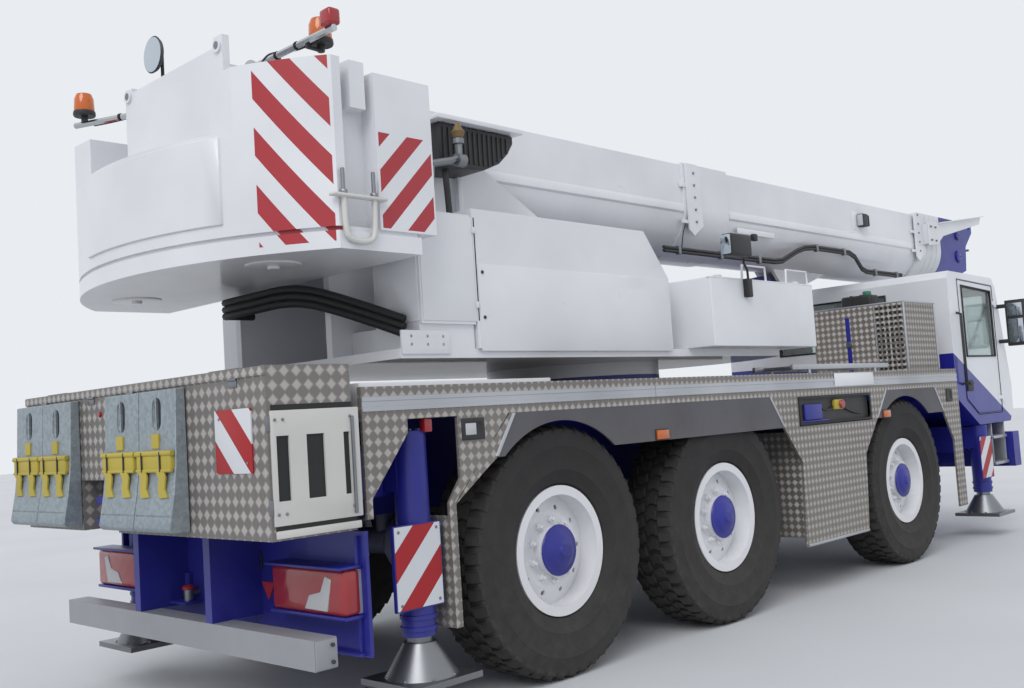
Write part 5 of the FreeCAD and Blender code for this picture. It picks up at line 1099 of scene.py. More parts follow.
@dataclass
class HousingTrim(Assembly):
    """Seams, catches and plates on the power housing and both cabinets, and the air filter on its top."""

    body: ClassVar[str] = "superstructure"
    side_y: float = -1.07
    seam_x: float = ahead(-0.385)
    filter_x: tuple[float, float] = (ahead(-0.31), ahead(0.31))
    filter_y: tuple[float, float] = (-0.76, -0.49)

    def build(self) -> None:
        """Makes the sheets and what is fixed to them."""
        self.sheets()
        self.fittings()
        self.drilled_plate()
        self.air_filter()
        self.breather()

    def sheets(self) -> None:
        """The cabinet's door and rear sheet, the housing's top cover and the left cabinet's doors."""
        y = self.side_y
        sheets = [
            block((ahead(-0.79), y - 0.006, 1.975), (ahead(-0.405), y + 0.01, 2.55), 0.004),
            block((ahead(-0.807), -1.055, 1.975), (ahead(-0.79), -0.70, 2.55), 0.004),
            block((ahead(-0.37), -1.03, 2.595), (ahead(1.10), -0.52, 2.606)),
            block((ahead(-0.375), y - 0.004, 1.815), (ahead(1.385), y + 0.01, 2.296)),
        ]
        for low, high in ((-0.57, 0.0), (0.03, 0.6), (0.63, 1.17)):
            sheets.append(block((ahead(low), 1.19, 1.86), (ahead(high), 1.205, 2.23)))
        self.add(sheets, "housing_sheets", WHITE)

    def fittings(self) -> None:
        """Hinges in the seam, its two black screws, latches on the left and bolts along the frame plate."""
        x, y = self.seam_x, self.side_y
        hinges = [block((x - 0.025, y - 0.014, z), (x - 0.005, y - 0.004, z + 0.035)) for z in (2.05, 2.46)]
        self.add(hinges, "cabinet_hinges", WHITE)
        dark = [bar((x + 0.04, y - 0.003, z), (x + 0.04, y - 0.010, z), 0.010, 12) for z in (2.0, 2.25)]
        dark.append(bar((x, y + 0.002, 1.98), (x, y + 0.002, 2.55), 0.005, 8))
        for low in (-0.30, 0.28, 0.90):
            dark.append(block((ahead(low), 1.2, 2.185), (ahead(low + 0.1), 1.216, 2.21), 0.005))
        self.add(dark, "housing_latches", BLACK_PLASTIC)
        places = [ahead(-0.86 + number * 0.2) for number in range(12)]
        studs = [bar((x, 1.0495, 1.806), (x, 1.062, 1.806), 0.011, 6) for x in places]
        self.add(studs, "frame_edge_bolts", STEEL)

    def drilled_plate(self) -> None:
        """A white plate with six holes under the cabinet, on the frame plate's edge."""
        y = -1.05
        sheet = block((ahead(-0.935), y - 0.012, 1.80), (ahead(-0.60), y + 0.004, 1.925), 0.004)
        holes = [
            bar((ahead(x), y - 0.05, z), (ahead(x), y + 0.05, z), 0.009, 12, 0.0005)
            for x in (-0.87, -0.76, -0.65)
            for z in (1.85, 1.893)
        ]
        self.add(pierced(sheet, *holes), "drilled_plate", WHITE)

    def air_filter(self) -> None:
        """The black ribbed air filter under a pale lid, right of the boom's foot, with its hose and posts."""
        (low_x, high_x), (face_y, back_y) = self.filter_x, self.filter_y
        bowl = (
            (low_x, 3.18), (high_x, 3.18), (high_x, 3.13), (high_x - 0.05, 3.06), (high_x - 0.13, 2.99),
            (high_x - 0.26, 2.935), (low_x + 0.06, 2.91), (low_x, 2.93),
        )
        filters = [plate([(x, face_y, z) for x, z in bowl], (0, back_y - face_y, 0), 0.012)]
        for number in range(14):
            x = low_x + 0.03 + number * 0.04
            foot = 2.955 + max(0.0, x - high_x + 0.22) ** 1.2
            filters.append(
                block((x - 0.006, face_y - 0.010, foot), (x + 0.006, face_y + 0.004, 3.15), 0.002, 1)
            )
        hose = [(low_x + 0.08, -0.70, 2.93), (low_x + 0.085, -0.71, 2.76), (low_x + 0.10, -0.70, 2.60)]
        filters.append(tube(hose, 0.020, smooth=True))
        self.add(filters, "air_filter_bowl", BLACK_PLASTIC)
        lid = block((low_x - 0.05, face_y - 0.05, 3.182), (high_x + 0.04, back_y + 0.005, 3.212), 0.005)
        self.add(lid, "air_filter_lid", WHITE)
        posts = [
            block((x - 0.02, -0.535, 2.56), (x + 0.02, -0.50, 2.94), 0.004)
            for x in (low_x + 0.10, high_x - 0.26)
        ]
        self.add(posts, "air_filter_posts", WHITE)

    def breather(self) -> None:
        """A bent pipe beside the filter with a neck, a side plug and a brass cap."""
        x, y = ahead(-0.25), -0.85
        elbow = [(ahead(-0.42), -0.80, 2.905), (ahead(-0.30), -0.84, 2.93), (x, y, 2.95), (x, y, 3.05)]
        neck = [(0, 0), (0.034, 0), (0.034, 0.03), (0.022, 0.034), (0, 0.034)]
        pipes = [
            tube(elbow, 0.023), turned(neck, (x, y, 3.03), UP, 20),
            disc(0.038, 0.06, (x - 0.025, y, 2.935), FORWARD, 20),
            tube([elbow[0], (ahead(-0.44), -0.79, 2.60)], 0.018),
        ]
        self.add(pipes, "breather_elbow", STEEL, 40)
        cap = [(0, 0), (0.030, 0), (0.042, 0.035), (0.030, 0.05), (0.012, 0.085), (0, 0.10)]
        self.add(turned(cap, (x, y, 3.065), UP, 20), "breather_cap", BRASS, 40)


@dataclass
class OperatorCab(Assembly):
    """The operator's cab: window rubbers, door handle and rails, roof lamp, wiper and seat."""

    body: ClassVar[str] = "superstructure"
    tail_x: float = ahead(1.45)
    nose_x: float = ahead(3.10)
    inner_y: float = 0.5
    outer_y: float = 1.27
    top_z: float = 3.28
    rail_x: float = ahead(2.62)

    def build(self) -> None:
        """Makes the trim, the seat and the lamps."""
        self.seals()
        self.door_trim()
        self.seat()
        self.roof()
        self.front()

    def seals(self) -> None:
        """Rubbers round the fixed windows, and the door's rails."""
        corners = ((0, 2.4), (1, 2.4), (1, 3.1), (0, 3.1))
        across_y = (self.inner_y + 0.08, self.outer_y - 0.08)
        rear = [(self.tail_x, across_y[end], z) for end, z in corners]
        along_x = (ahead(1.70), ahead(2.50))
        side = [(along_x[end], self.inner_y, z) for end, z in corners]
        near, far = self.inner_y + 0.06, self.outer_y - 0.06
        brow = self.nose_x - (3.19 - 2.5) * 0.4231
        front = [
            (self.nose_x, near, 2.1), (self.nose_x, far, 2.1), (self.nose_x, far, 2.5), (brow, far, 3.19),
            (brow, near, 3.19), (self.nose_x, near, 2.5),
        ]
        tubes = [tube(line, 0.011, closed=True) for line in (rear, side, front)]
        self.add(tubes, "op_cab_window_rubbers", SEAL, 50)
        y = self.outer_y
        rails = [
            block((ahead(1.50), y - 0.004, z), (ahead(2.62), y + 0.012, z + 0.03), 0.004)
            for z in (1.852, 3.168)
        ]
        self.add(rails, "op_cab_door_rails", SILVER)

    def door_trim(self) -> None:
        """Rubber round the door's window, its pane and its handle."""
        y = self.outer_y + 0.026
        x0, x1, z0, z1 = ahead(1.77), ahead(2.43), 2.35, 3.08
        window = tube([(x0, y, z0), (x1, y, z0), (x1, y, z1), (x0, y, z1)], 0.010, closed=True)
        pane = block((x0 - 0.002, y - 0.016, z0 - 0.002), (x1 + 0.002, y - 0.008, z1 + 0.002), 0.001, 1)
        handle = [
            block((ahead(2.44), y - 0.002, 2.12), (ahead(2.475), y + 0.022, 2.30), 0.008),
            block((ahead(2.425), y - 0.004, 2.09), (ahead(2.49), y + 0.004, 2.33)),
        ]
        for pieces, part, finish, angle in (
            (window, "rubber", SEAL, 50), (pane, "glass", GLASS, 35), (handle, "handle", BLACK_PLASTIC, 35),
        ):
            self.add(pieces, f"op_cab_door_{part}", finish, angle, body="op_cab_door")

    def seat(self) -> None:
        """A cushion and a back over the plain seat block, with arms."""
        y0, y1 = self.inner_y + 0.16, self.outer_y - 0.165
        for part, low, high in (
            ("cushion", (ahead(1.92), y0, 2.285), (ahead(2.37), y1, 2.38)),
            ("back", (ahead(1.875), y0, 2.34), (ahead(1.985), y1, 2.94)),
        ):
            self.add(pad(low, high), f"op_seat_{part}", CLOTH, 50)
        arms = []
        for y in (y0 - 0.06, y1 + 0.01):
            arms.append(block((ahead(1.98), y, 2.42), (ahead(2.30), y + 0.05, 2.46), 0.012))
            arms.append(block((ahead(1.99), y + 0.01, 2.28), (ahead(2.03), y + 0.04, 2.43), 0.006))
        self.add(arms, "op_seat_arms", TRIM)

    def roof(self) -> None:
        """Two work lamps over the windscreen and a sun-worn roof hatch."""
        x, z = ahead(2.70), self.top_z
        cases, lenses = [], []
        for y in (self.inner_y + 0.14, self.outer_y - 0.14):
            cases.append(block((x - 0.05, y - 0.06, z + 0.02), (x + 0.03, y + 0.06, z + 0.11), 0.01))
            cases.append(block((x - 0.02, y - 0.01, z - 0.004), (x, y + 0.01, z + 0.03)))
            lenses.append(
                block((x + 0.027, y - 0.052, z + 0.028), (x + 0.036, y + 0.052, z + 0.102), 0.004)
            )
        self.add(cases, "op_cab_work_lamps", BLACK_PLASTIC)
        self.add(lenses, "op_cab_work_lenses", CLEAR_LENS)
        near, far = self.inner_y + 0.13, self.outer_y - 0.13
        hatch = block((ahead(1.75), near, z - 0.003), (ahead(2.35), far, z + 0.016), 0.008)
        self.add(hatch, "op_cab_roof_hatch", WHITE)

    def front(self) -> None:
        """The wiper on the windscreen and the grab rail by the door."""
        x = self.nose_x + 0.014
        wiper = [
            tube([(x, 0.88, 2.14), (x, 0.84, 2.48)], 0.006),
            block((x - 0.006, 0.83, 2.16), (x + 0.002, 0.845, 2.49), 0.002),
            bar((x - 0.02, 0.88, 2.14), (x + 0.012, 0.88, 2.14), 0.018, 12),
        ]
        self.add(wiper, "op_cab_wiper", BLACK_PLASTIC)
        line = ((0, 2.02), (0.05, 2.05), (0.05, 2.70), (0, 2.73))
        grips = tube([(self.rail_x, self.outer_y + out, z) for out, z in line], 0.012)
        self.add(grips, "op_cab_grab_rail", BLACK_PLASTIC, 50)


@dataclass
class Toolbox(Assembly):
    """The white open tray at the right, its rim and grab rails, and the side mirror on a bent arm."""

    body: ClassVar[str] = "superstructure"
    tail_x: float = ahead(1.60)
    nose_x: float = ahead(2.98)
    inner_y: float = -0.70
    outer_y: float = -1.27
    low_z: float = 1.83
    top_z: float = 2.30
    wall: float = 0.02

    def build(self) -> None:
        """Makes the tray and the mirror, which stand for the plain CAD piece."""
        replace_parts(self.add(self.box(), "toolbox_dressed", WHITE), "toolbox")
        self.rails()
        self.mirror()

    def box(self) -> list[Piece]:
        """The tray of folded sheet with a rim turned inwards, and its hinge lugs."""
        tail, nose, inner, outer, top = self.tail_x, self.nose_x, self.inner_y, self.outer_y, self.top_z
        wall = self.wall
        tray = block((tail, outer, self.low_z), (nose, inner, top), 0.008, 3)
        room = block(
            (tail + wall, outer + wall, self.low_z + wall), (nose - wall, inner - wall, top + 0.05), 0.006,
        )
        pieces = [pierced(tray, room)]
        for x in (tail + 0.12, nose - 0.22):
            pieces.append(block((x, outer + 0.02, top - 0.004), (x + 0.05, outer + 0.06, top + 0.02)))
        for y in (outer, inner - 0.035):
            pieces.append(block((tail, y, top - 0.012), (nose, y + 0.035, top + 0.002), 0.002))
        return pieces

    def rails(self) -> None:
        """Two bent grab rails stand on the rim."""
        y, foot = self.outer_y + 0.018, self.top_z - 0.02
        pieces = []
        for start in (2.02, 2.62):
            low, high = ahead(start), ahead(start + 0.32)
            pieces.append(
                tube(
                    [(low, y, foot), (low + 0.01, y, 2.40), (high - 0.01, y, 2.40), (high, y, foot)], 0.009,
                )
            )
        self.add(pieces, "toolbox_grab_rails", WHITE, 50)

    def mirror(self) -> None:
        """A black mirror on a thin bent arm that is clipped to the tray's side."""
        y = self.outer_y - 0.03
        arm = [
            (ahead(1.91), y - 0.06, 2.53), (ahead(1.93), y - 0.03, 2.40), (ahead(2.02), y, 2.36),
            (ahead(2.03), y, 2.18),
        ]
        case = block((ahead(1.645), y - 0.125, 2.425), (ahead(1.905), y - 0.035, 2.575), 0.02, 3)
        clip = block(
            (ahead(2.00), self.outer_y - 0.042, 2.17), (ahead(2.06), self.outer_y + 0.004, 2.30), 0.008,
        )
        self.add([tube(arm, 0.009), case, clip], "side_mirror_case", BLACK_PLASTIC, 50)
        glass = block((ahead(1.638), y - 0.117, 2.435), (ahead(1.647), y - 0.043, 2.565))
        self.add(glass, "side_mirror_glass", MIRROR)


@dataclass
class RearLocker(Assembly):
    """The chequered locker across the tail: slotted side doors, hung wheel chocks, a board and hinges."""

    tail_x: float = ahead(-1.89)
    nose_x: float = ahead(-1.44)
    side_y: float = -1.275
    chock_y: tuple[float, ...] = (-0.60, -0.23, 0.55, 0.92)
    chock_wide: float = 0.36
    chock_low_z: float = 1.01
    chock_top_z: float = 1.688

    def build(self) -> None:
        """Makes the doors, the chocks, the board and the fittings."""
        self.side_doors()
        self.chocks()
        self.board()
        self.fittings()

    def side_doors(self) -> None:
        """An off-white door with three slots on each end, over a dark sheet of painted shade."""
        tail, nose, y = self.tail_x, self.nose_x, self.side_y
        slots = [
            block((ahead(low), y - 0.05, 1.15), (ahead(high), y + 0.05, 1.43), 0)
            for low, high in ((-1.855, -1.79), (-1.70, -1.605), (-1.50, -1.465))
        ]
        doors = [
            pierced(block((tail + 0.012, y - 0.012, 1.045), (nose + 0.03, y + 0.004, 1.54), 0.004), *slots),
            block((tail + 0.02, y - 0.010, 0.992), (nose + 0.02, y + 0.004, 1.025)),
        ]
        # A dark sheet inside the door's thickness, seen only through the slots: painted shade of the locker's
        # inside.
        room = block((tail + 0.02, y - 0.0022, 1.02), (nose, y + 0.004, 1.565), 0.001, 1)
        posts = [bar((nose - 0.012, y - 0.018, 1.06), (nose - 0.012, y - 0.018, 1.50), 0.008, 12)]
        posts += [
            bar((x, y - 0.010, z), (x, y - 0.018, z), 0.007, 8)
            for z in (1.095, 1.50)
            for x in (tail + 0.03, tail + 0.07, nose - 0.02)
        ]
        self.pair(doors, "locker_side_doors", OFF_WHITE)
        self.pair([room], "locker_slot_painted_shade", SEAL)
        self.pair(posts, "locker_door_fittings", STEEL, slot=None)

    def chock(self, low_y: float) -> Piece:
        """One folded chock: upright back, sloping face with a long slot, and a turned foot."""
        x, low, top = self.tail_x - 0.004, self.chock_low_z, self.chock_top_z
        high_y, middle = low_y + self.chock_wide, low_y + self.chock_wide / 2
        outline = (
            (0, top), (0.05, top - 0.006), (0.062, 1.33), (0.078, 1.19), (0.106, low + 0.02), (0.09, low),
            (0, low),
        )
        sheet = plate([(x - out, low_y, z) for out, z in outline], (0, self.chock_wide, 0), 0.004)
        slot = block((x - 0.2, middle - 0.045, 1.49), (x - 0.02, middle + 0.045, 1.65), 0.043, 6)
        groove = block((x - 0.2, low_y + 0.02, 1.085), (x - 0.092, high_y - 0.02, 1.092), 0)
        return pierced(sheet, slot, groove)

    def chocks(self) -> None:
        """Four galvanised chocks with their labels and yellow hook bands; they stand for the CAD ones."""
        hook = (
            (0.026, 0.085, 1.305), (0.026, 0.005, 1.305), (0.026, -0.012, 1.265), (0.026, 0.002, 1.215),
            (0.028, -0.025, 1.175), (0.028, 0.050, 1.17), (0.026, 0.062, 1.215), (0.026, 0.050, 1.262),
        )
        x = self.tail_x - 0.066
        zinc, yellow, dark = [], [], []
        for low_y in self.chock_y:
            middle, side_y = low_y + self.chock_wide / 2, low_y + self.chock_wide - 0.012
            zinc.append(self.chock(low_y))
            zinc.append(
                block((x + 0.006, middle + 0.002, 1.49), (x + 0.024, middle + 0.012, 1.65), 0.002, 1)
            )
            # A dark sheet inside the chock behind its long slot: painted shade seen through the slot.
            dark.append(block((x + 0.020, middle - 0.055, 1.47), (x + 0.023, middle + 0.055, 1.67), 0))
            yellow += [
                block((x - 0.004, middle - 0.03, 1.405), (x + 0.012, middle + 0.04, 1.475), 0.001, 1),
                block((x - 0.022, low_y + 0.012, 1.30), (x + 0.03, side_y, 1.375), 0.010, 3),
                bar((x - 0.014, low_y + 0.004, 1.382), (x - 0.014, side_y + 0.008, 1.382), 0.014, 12),
                bar((x - 0.018, low_y + 0.008, 1.301), (x - 0.018, side_y, 1.301), 0.009, 10),
            ]
            for start in (low_y + 0.2 * self.chock_wide, low_y + 0.7 * self.chock_wide):
                yellow.append(plate([(x - out, start + y, z) for out, y, z in hook], (0.012, 0, 0)))
                dark.append(
                    block((x - 0.030, start + 0.028, 1.295), (x - 0.020, start + 0.036, 1.39), 0.002, 1)
                )
        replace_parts(self.add(zinc, "wheel_chocks_dressed", ZINC, 30), "wheel_chocks")
        self.add(yellow, "chock_labels_and_hooks", YELLOW)
        # Black clips by the hooks, and the painted shade inside each slot.
        self.add(dark, "chock_clips_and_slot_painted_shade", BLACK_PLASTIC)

    def board(self) -> None:
        """A striped board near the right end with two rivets."""
        x = self.tail_x
        self.add(
            block((x - 0.008, -1.16, 1.275), (x + 0.002, -0.86, 1.56), 0.002), "rear_warning_board",
            REAR_BOARD,
        )
        rivets = [
            bar((x - 0.006, y, z), (x - 0.012, y, z), 0.007, 10) for y, z in ((-0.90, 1.52), (-1.12, 1.32))
        ]
        self.add(rivets, "rear_board_rivets", STEEL, slot=None)

    def fittings(self) -> None:
        """Hinges of the lid and the doors, a red reflector, and the lid's edge with two pads."""
        x = self.tail_x
        hinges = []
        for y in (-1.02, -0.05, 0.40, 1.0):
            hinges.append(block((x - 0.007, y - 0.035, 1.655), (x + 0.004, y + 0.035, 1.688)))
            hinges.append(bar((x - 0.008, y - 0.035, 1.69), (x - 0.008, y + 0.035, 1.69), 0.006, 10))
        for z in (1.09, 1.45):
            hinges.append(block((x - 0.004, -1.279, z), (x + 0.028, -1.262, z + 0.07)))
        self.add(hinges, "locker_hinges", STEEL, slot=None)
        button = turned([(0, 0), (0.016, 0), (0.013, 0.012), (0, 0.014)], (x, 0.30, 1.60), BACK, 20)
        self.add(button, "locker_red_reflector", RED_LENS)
        lid = [block((x - 0.006, -1.279, 1.695), (x + 0.001, 1.279, 1.736), 0.002)]
        lid += [block((x + 0.02, y - 0.12, 1.736), (x + 0.06, y + 0.12, 1.744)) for y in (-0.9, 0.9)]
        self.add(lid, "locker_lid_edge", CHEQUER, body="locker_lid")


@dataclass
class RearLamps(Assembly):
    """Rear lamps, red triangles, air and plug couplings over the underrun bar, and the bar's end caps."""

    lamp_x: float = ahead(-1.49)
    coupling_x: float = ahead(-1.43)
    apron_x: float = ahead(-1.40)
    bar_x: float = ahead(-1.69)
    bar_end_y: float = 1.25
    bar_z: tuple[float, float] = (0.394, 0.529)

    def build(self) -> None:
        """Makes the lamps, the couplings and the bar's ends."""
        self.lamps()
        self.couplings()
        self.bar_ends()
        self.apron_ribs()

    def lamps(self) -> None:
        """Lens blocks in red with a clear quarter, each under a blue hood, and a triangle beside it."""
        x = self.lamp_x
        triangle = [(x + 0.03, -0.62, 0.71), (x + 0.03, -0.51, 0.71), (x + 0.03, -0.565, 0.62)]
        red = [
            block((x - 0.018, -1.238, 0.594), (x + 0.080, -0.655, 0.806), 0.022, 3),
            plate(triangle, (-0.012, 0, 0), 0.003),
        ]
        self.pair(red, "rear_lamp_lenses", RED_LENS)
        quarter = (
            (-0.93, 0.615), (-1.11, 0.612), (-1.145, 0.76), (-1.10, 0.775), (-1.06, 0.70), (-0.97, 0.68),
        )
        clear = plate([(x - 0.015, y, z) for y, z in quarter], (-0.007, 0, 0), 0.003)
        self.pair([clear], "reversing_lamp_lenses", CLEAR_LENS)
        hood = [
            block((x - 0.045, -1.245, 0.806), (x + 0.085, -0.64, 0.820), 0.004),
            block((x - 0.020, -1.245, 0.578), (x + 0.085, -0.64, 0.594), 0.004),
        ]
        self.pair(hood, "rear_lamp_hoods", BLUE)

    def couplings(self) -> None:
        """Red and yellow air couplings and a plug socket on a blue bracket over the bar."""
        x = self.coupling_x
        bracket = [
            block((x - 0.09, 0.18, 0.545), (x + 0.02, 0.72, 0.56), 0.004),
            block((x + 0.005, 0.30, 0.55), (x + 0.03, 0.60, 0.70), 0.004),
        ]
        self.add(bracket, "coupling_bracket", BLUE)
        iron = []
        for y in (0.24, 0.64):
            iron.append(bar((x - 0.03, y, 0.56), (x - 0.03, y, 0.62), 0.028, 16))
            iron.append(bar((x - 0.03, y, 0.60), (x + 0.04, y, 0.60), 0.018, 16))
        iron.append(bar((x - 0.05, 0.44, 0.60), (x + 0.03, 0.44, 0.60), 0.045))
        self.add(iron, "coupling_bodies", STEEL, 40)
        cap = [(0, 0), (0.034, 0), (0.036, 0.012), (0.026, 0.024), (0, 0.028)]
        for y, finish, name in (
            (0.24, RED_LENS, "red_coupling_cap"), (0.64, YELLOW, "yellow_coupling_cap"),
        ):
            self.add(turned(cap, (x - 0.03, y, 0.62), UP, 24), name, finish, 40, None)
        lid = [(0, 0), (0.05, 0), (0.052, 0.01), (0.04, 0.018), (0, 0.02)]
        self.add(turned(lid, (x - 0.05, 0.44, 0.60), BACK, 28), "plug_socket_lid", BLACK_PLASTIC)
        hoses = []
        for y in (0.24, 0.44, 0.64):
            line = (
                (0.035, y, 0.60), (0.04, y - 0.02, 0.66), (0.045, 0.42 + 0.3 * (y - 0.44), 0.80),
                (0.05, 0.42, 0.93),
            )
            hoses.append(tube([(x + off, side, z) for off, side, z in line], 0.009, smooth=True))
        self.add(hoses, "coupling_hoses", BLACK_PLASTIC, 60)

    def bar_ends(self) -> None:
        """A plate with black plugs closes each end of the bar."""
        x, y, (low, top) = self.bar_x, -self.bar_end_y, self.bar_z
        end = block((x + 0.002, y - 0.008, low + 0.004), (x + 0.118, y + 0.002, top - 0.004), 0.004)
        plugs = [
            bar((x + 0.09, y - 0.004, z), (x + 0.09, y - 0.02, z), 0.009, 12)
            for z in (low + 0.03, top - 0.03)
        ]
        self.pair([end], "bar_end_plates", BAR_GREY)
        self.pair(plugs, "bar_end_plugs", BLACK_PLASTIC)

    def apron_ribs(self) -> None:
        """Folded ribs and the rims of round holes on the blue apron under the locker, each filled with a dark
        disc of painted shade.
        """
        x = self.apron_x
        ribs = [block((x - 0.02, y - 0.006, 0.42), (x + 0.004, y + 0.006, 0.95)) for y in (-1.22, 0.76)]
        ribs.append(block((x - 0.035, -1.24, 0.405), (x + 0.004, 0.78, 0.42)))
        self.add(ribs, "apron_ribs", BLUE)
        rim = [(0.05, 0), (0.062, 0), (0.062, 0.008), (0.05, 0.008)]
        rims = []
        for place in ((x, -0.36, 0.80), (x, -0.03, 0.80)):
            # Each rim gets a dark disc in its middle: painted shade inside the hole.
            rims += [turned(rim, place, BACK, 28), disc(0.05, 0.002, place, BACK, 28)]
        self.add(rims, "apron_hole_rims_and_painted_shade", SEAL)


@dataclass
class Outriggers(Assembly):
    """Striped warning boards, ram collars and the bolts of the four outriggers."""

    board_z: tuple[float, float] = (0.56, 0.965)

    def build(self) -> None:
        """Makes every outrigger's fittings on the body that carries them."""
        for corner in ("rear_right", "rear_left", "front_right", "front_left"):
            low, high = box_of(f"outrigger_jack_{corner}")
            x, y = (low.x + high.x) / 2, (low.y + high.y) / 2
            self.board(corner, Side[corner.split("_")[1].upper()].value)
            self.sleeve(corner, x, y)
            self.ram(corner, x, y, low.z)

    def board(self, corner: str, sign: float) -> None:
        """Film with red chevrons over the CAD board, whose span is read off its lower corners, and screws."""
        body = f"outrigger_beam_{corner}"
        low, top = self.board_z
        spots = [
            vertex.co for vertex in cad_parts[body].data.vertices if abs(vertex.co.z - low) < 0.002
        ]
        x0, x1 = min(spot.x for spot in spots), max(spot.x for spot in spots)
        face = sign * max(abs(spot.y) for spot in spots)
        near, far = sorted((face - sign * 0.001, face + sign * 0.003))
        film = block((x0 + 0.006, near, low + 0.006), (x1 - 0.006, far, top - 0.006), 0.001, 1)
        self.add(film, f"board_film_{corner}", BEAM_BOARD, body=body)
        screws = [
            bar((x, face, z), (x, face + sign * 0.007, z), 0.008, 8)
            for x in (x0 + 0.03, x1 - 0.03)
            for z in (low + 0.03, top - 0.03)
        ]
        self.add(screws, f"board_screws_{corner}", STEEL, body=body)

    def sleeve(self, corner: str, x: float, y: float) -> None:
        """A flange with cap screws on the sleeve's head and two bands at its foot."""
        body = f"outrigger_beam_{corner}"
        top = box_of(body)[1].z
        flange = [(0, -0.002), (0.084, -0.002), (0.084, 0.010), (0.074, 0.014), (0, 0.014)]
        band = [(0.083, 0), (0.092, 0.003), (0.092, 0.022), (0.083, 0.025)]
        pieces = [turned(flange, (x, y, top), UP, 32)]
        pieces += [turned(band, (x, y, z), UP, 32) for z in (0.445, 0.50)]
        self.add(pieces, f"sleeve_bands_{corner}", BLUE, body=body)
        screws = [
            bar((x + a, y + b, top + 0.012), (x + a, y + b, top + 0.022), 0.009, 6)
            for a, b in ring(6, 0.055)
        ]
        self.add(screws, f"sleeve_screws_{corner}", STEEL, body=body)

    def ram(self, corner: str, x: float, y: float, z: float) -> None:
        """A wiper ring's shoulder on the ram and bolts in the float's plate."""
        pieces = [
            bar((x + a, y + b, z + 0.028), (x + a, y + b, z + 0.04), 0.010, 6)
            for a, b in ring(8, 0.175, 0.5)
        ]
        foot = [(0.062, 0.03), (0.11, 0.03), (0.105, 0.06), (0.066, 0.085), (0.062, 0.085)]
        pieces.append(turned(foot, (x, y, z), UP, 32))
        self.add(pieces, f"float_fittings_{corner}", STEEL, 40, body=f"outrigger_jack_{corner}")


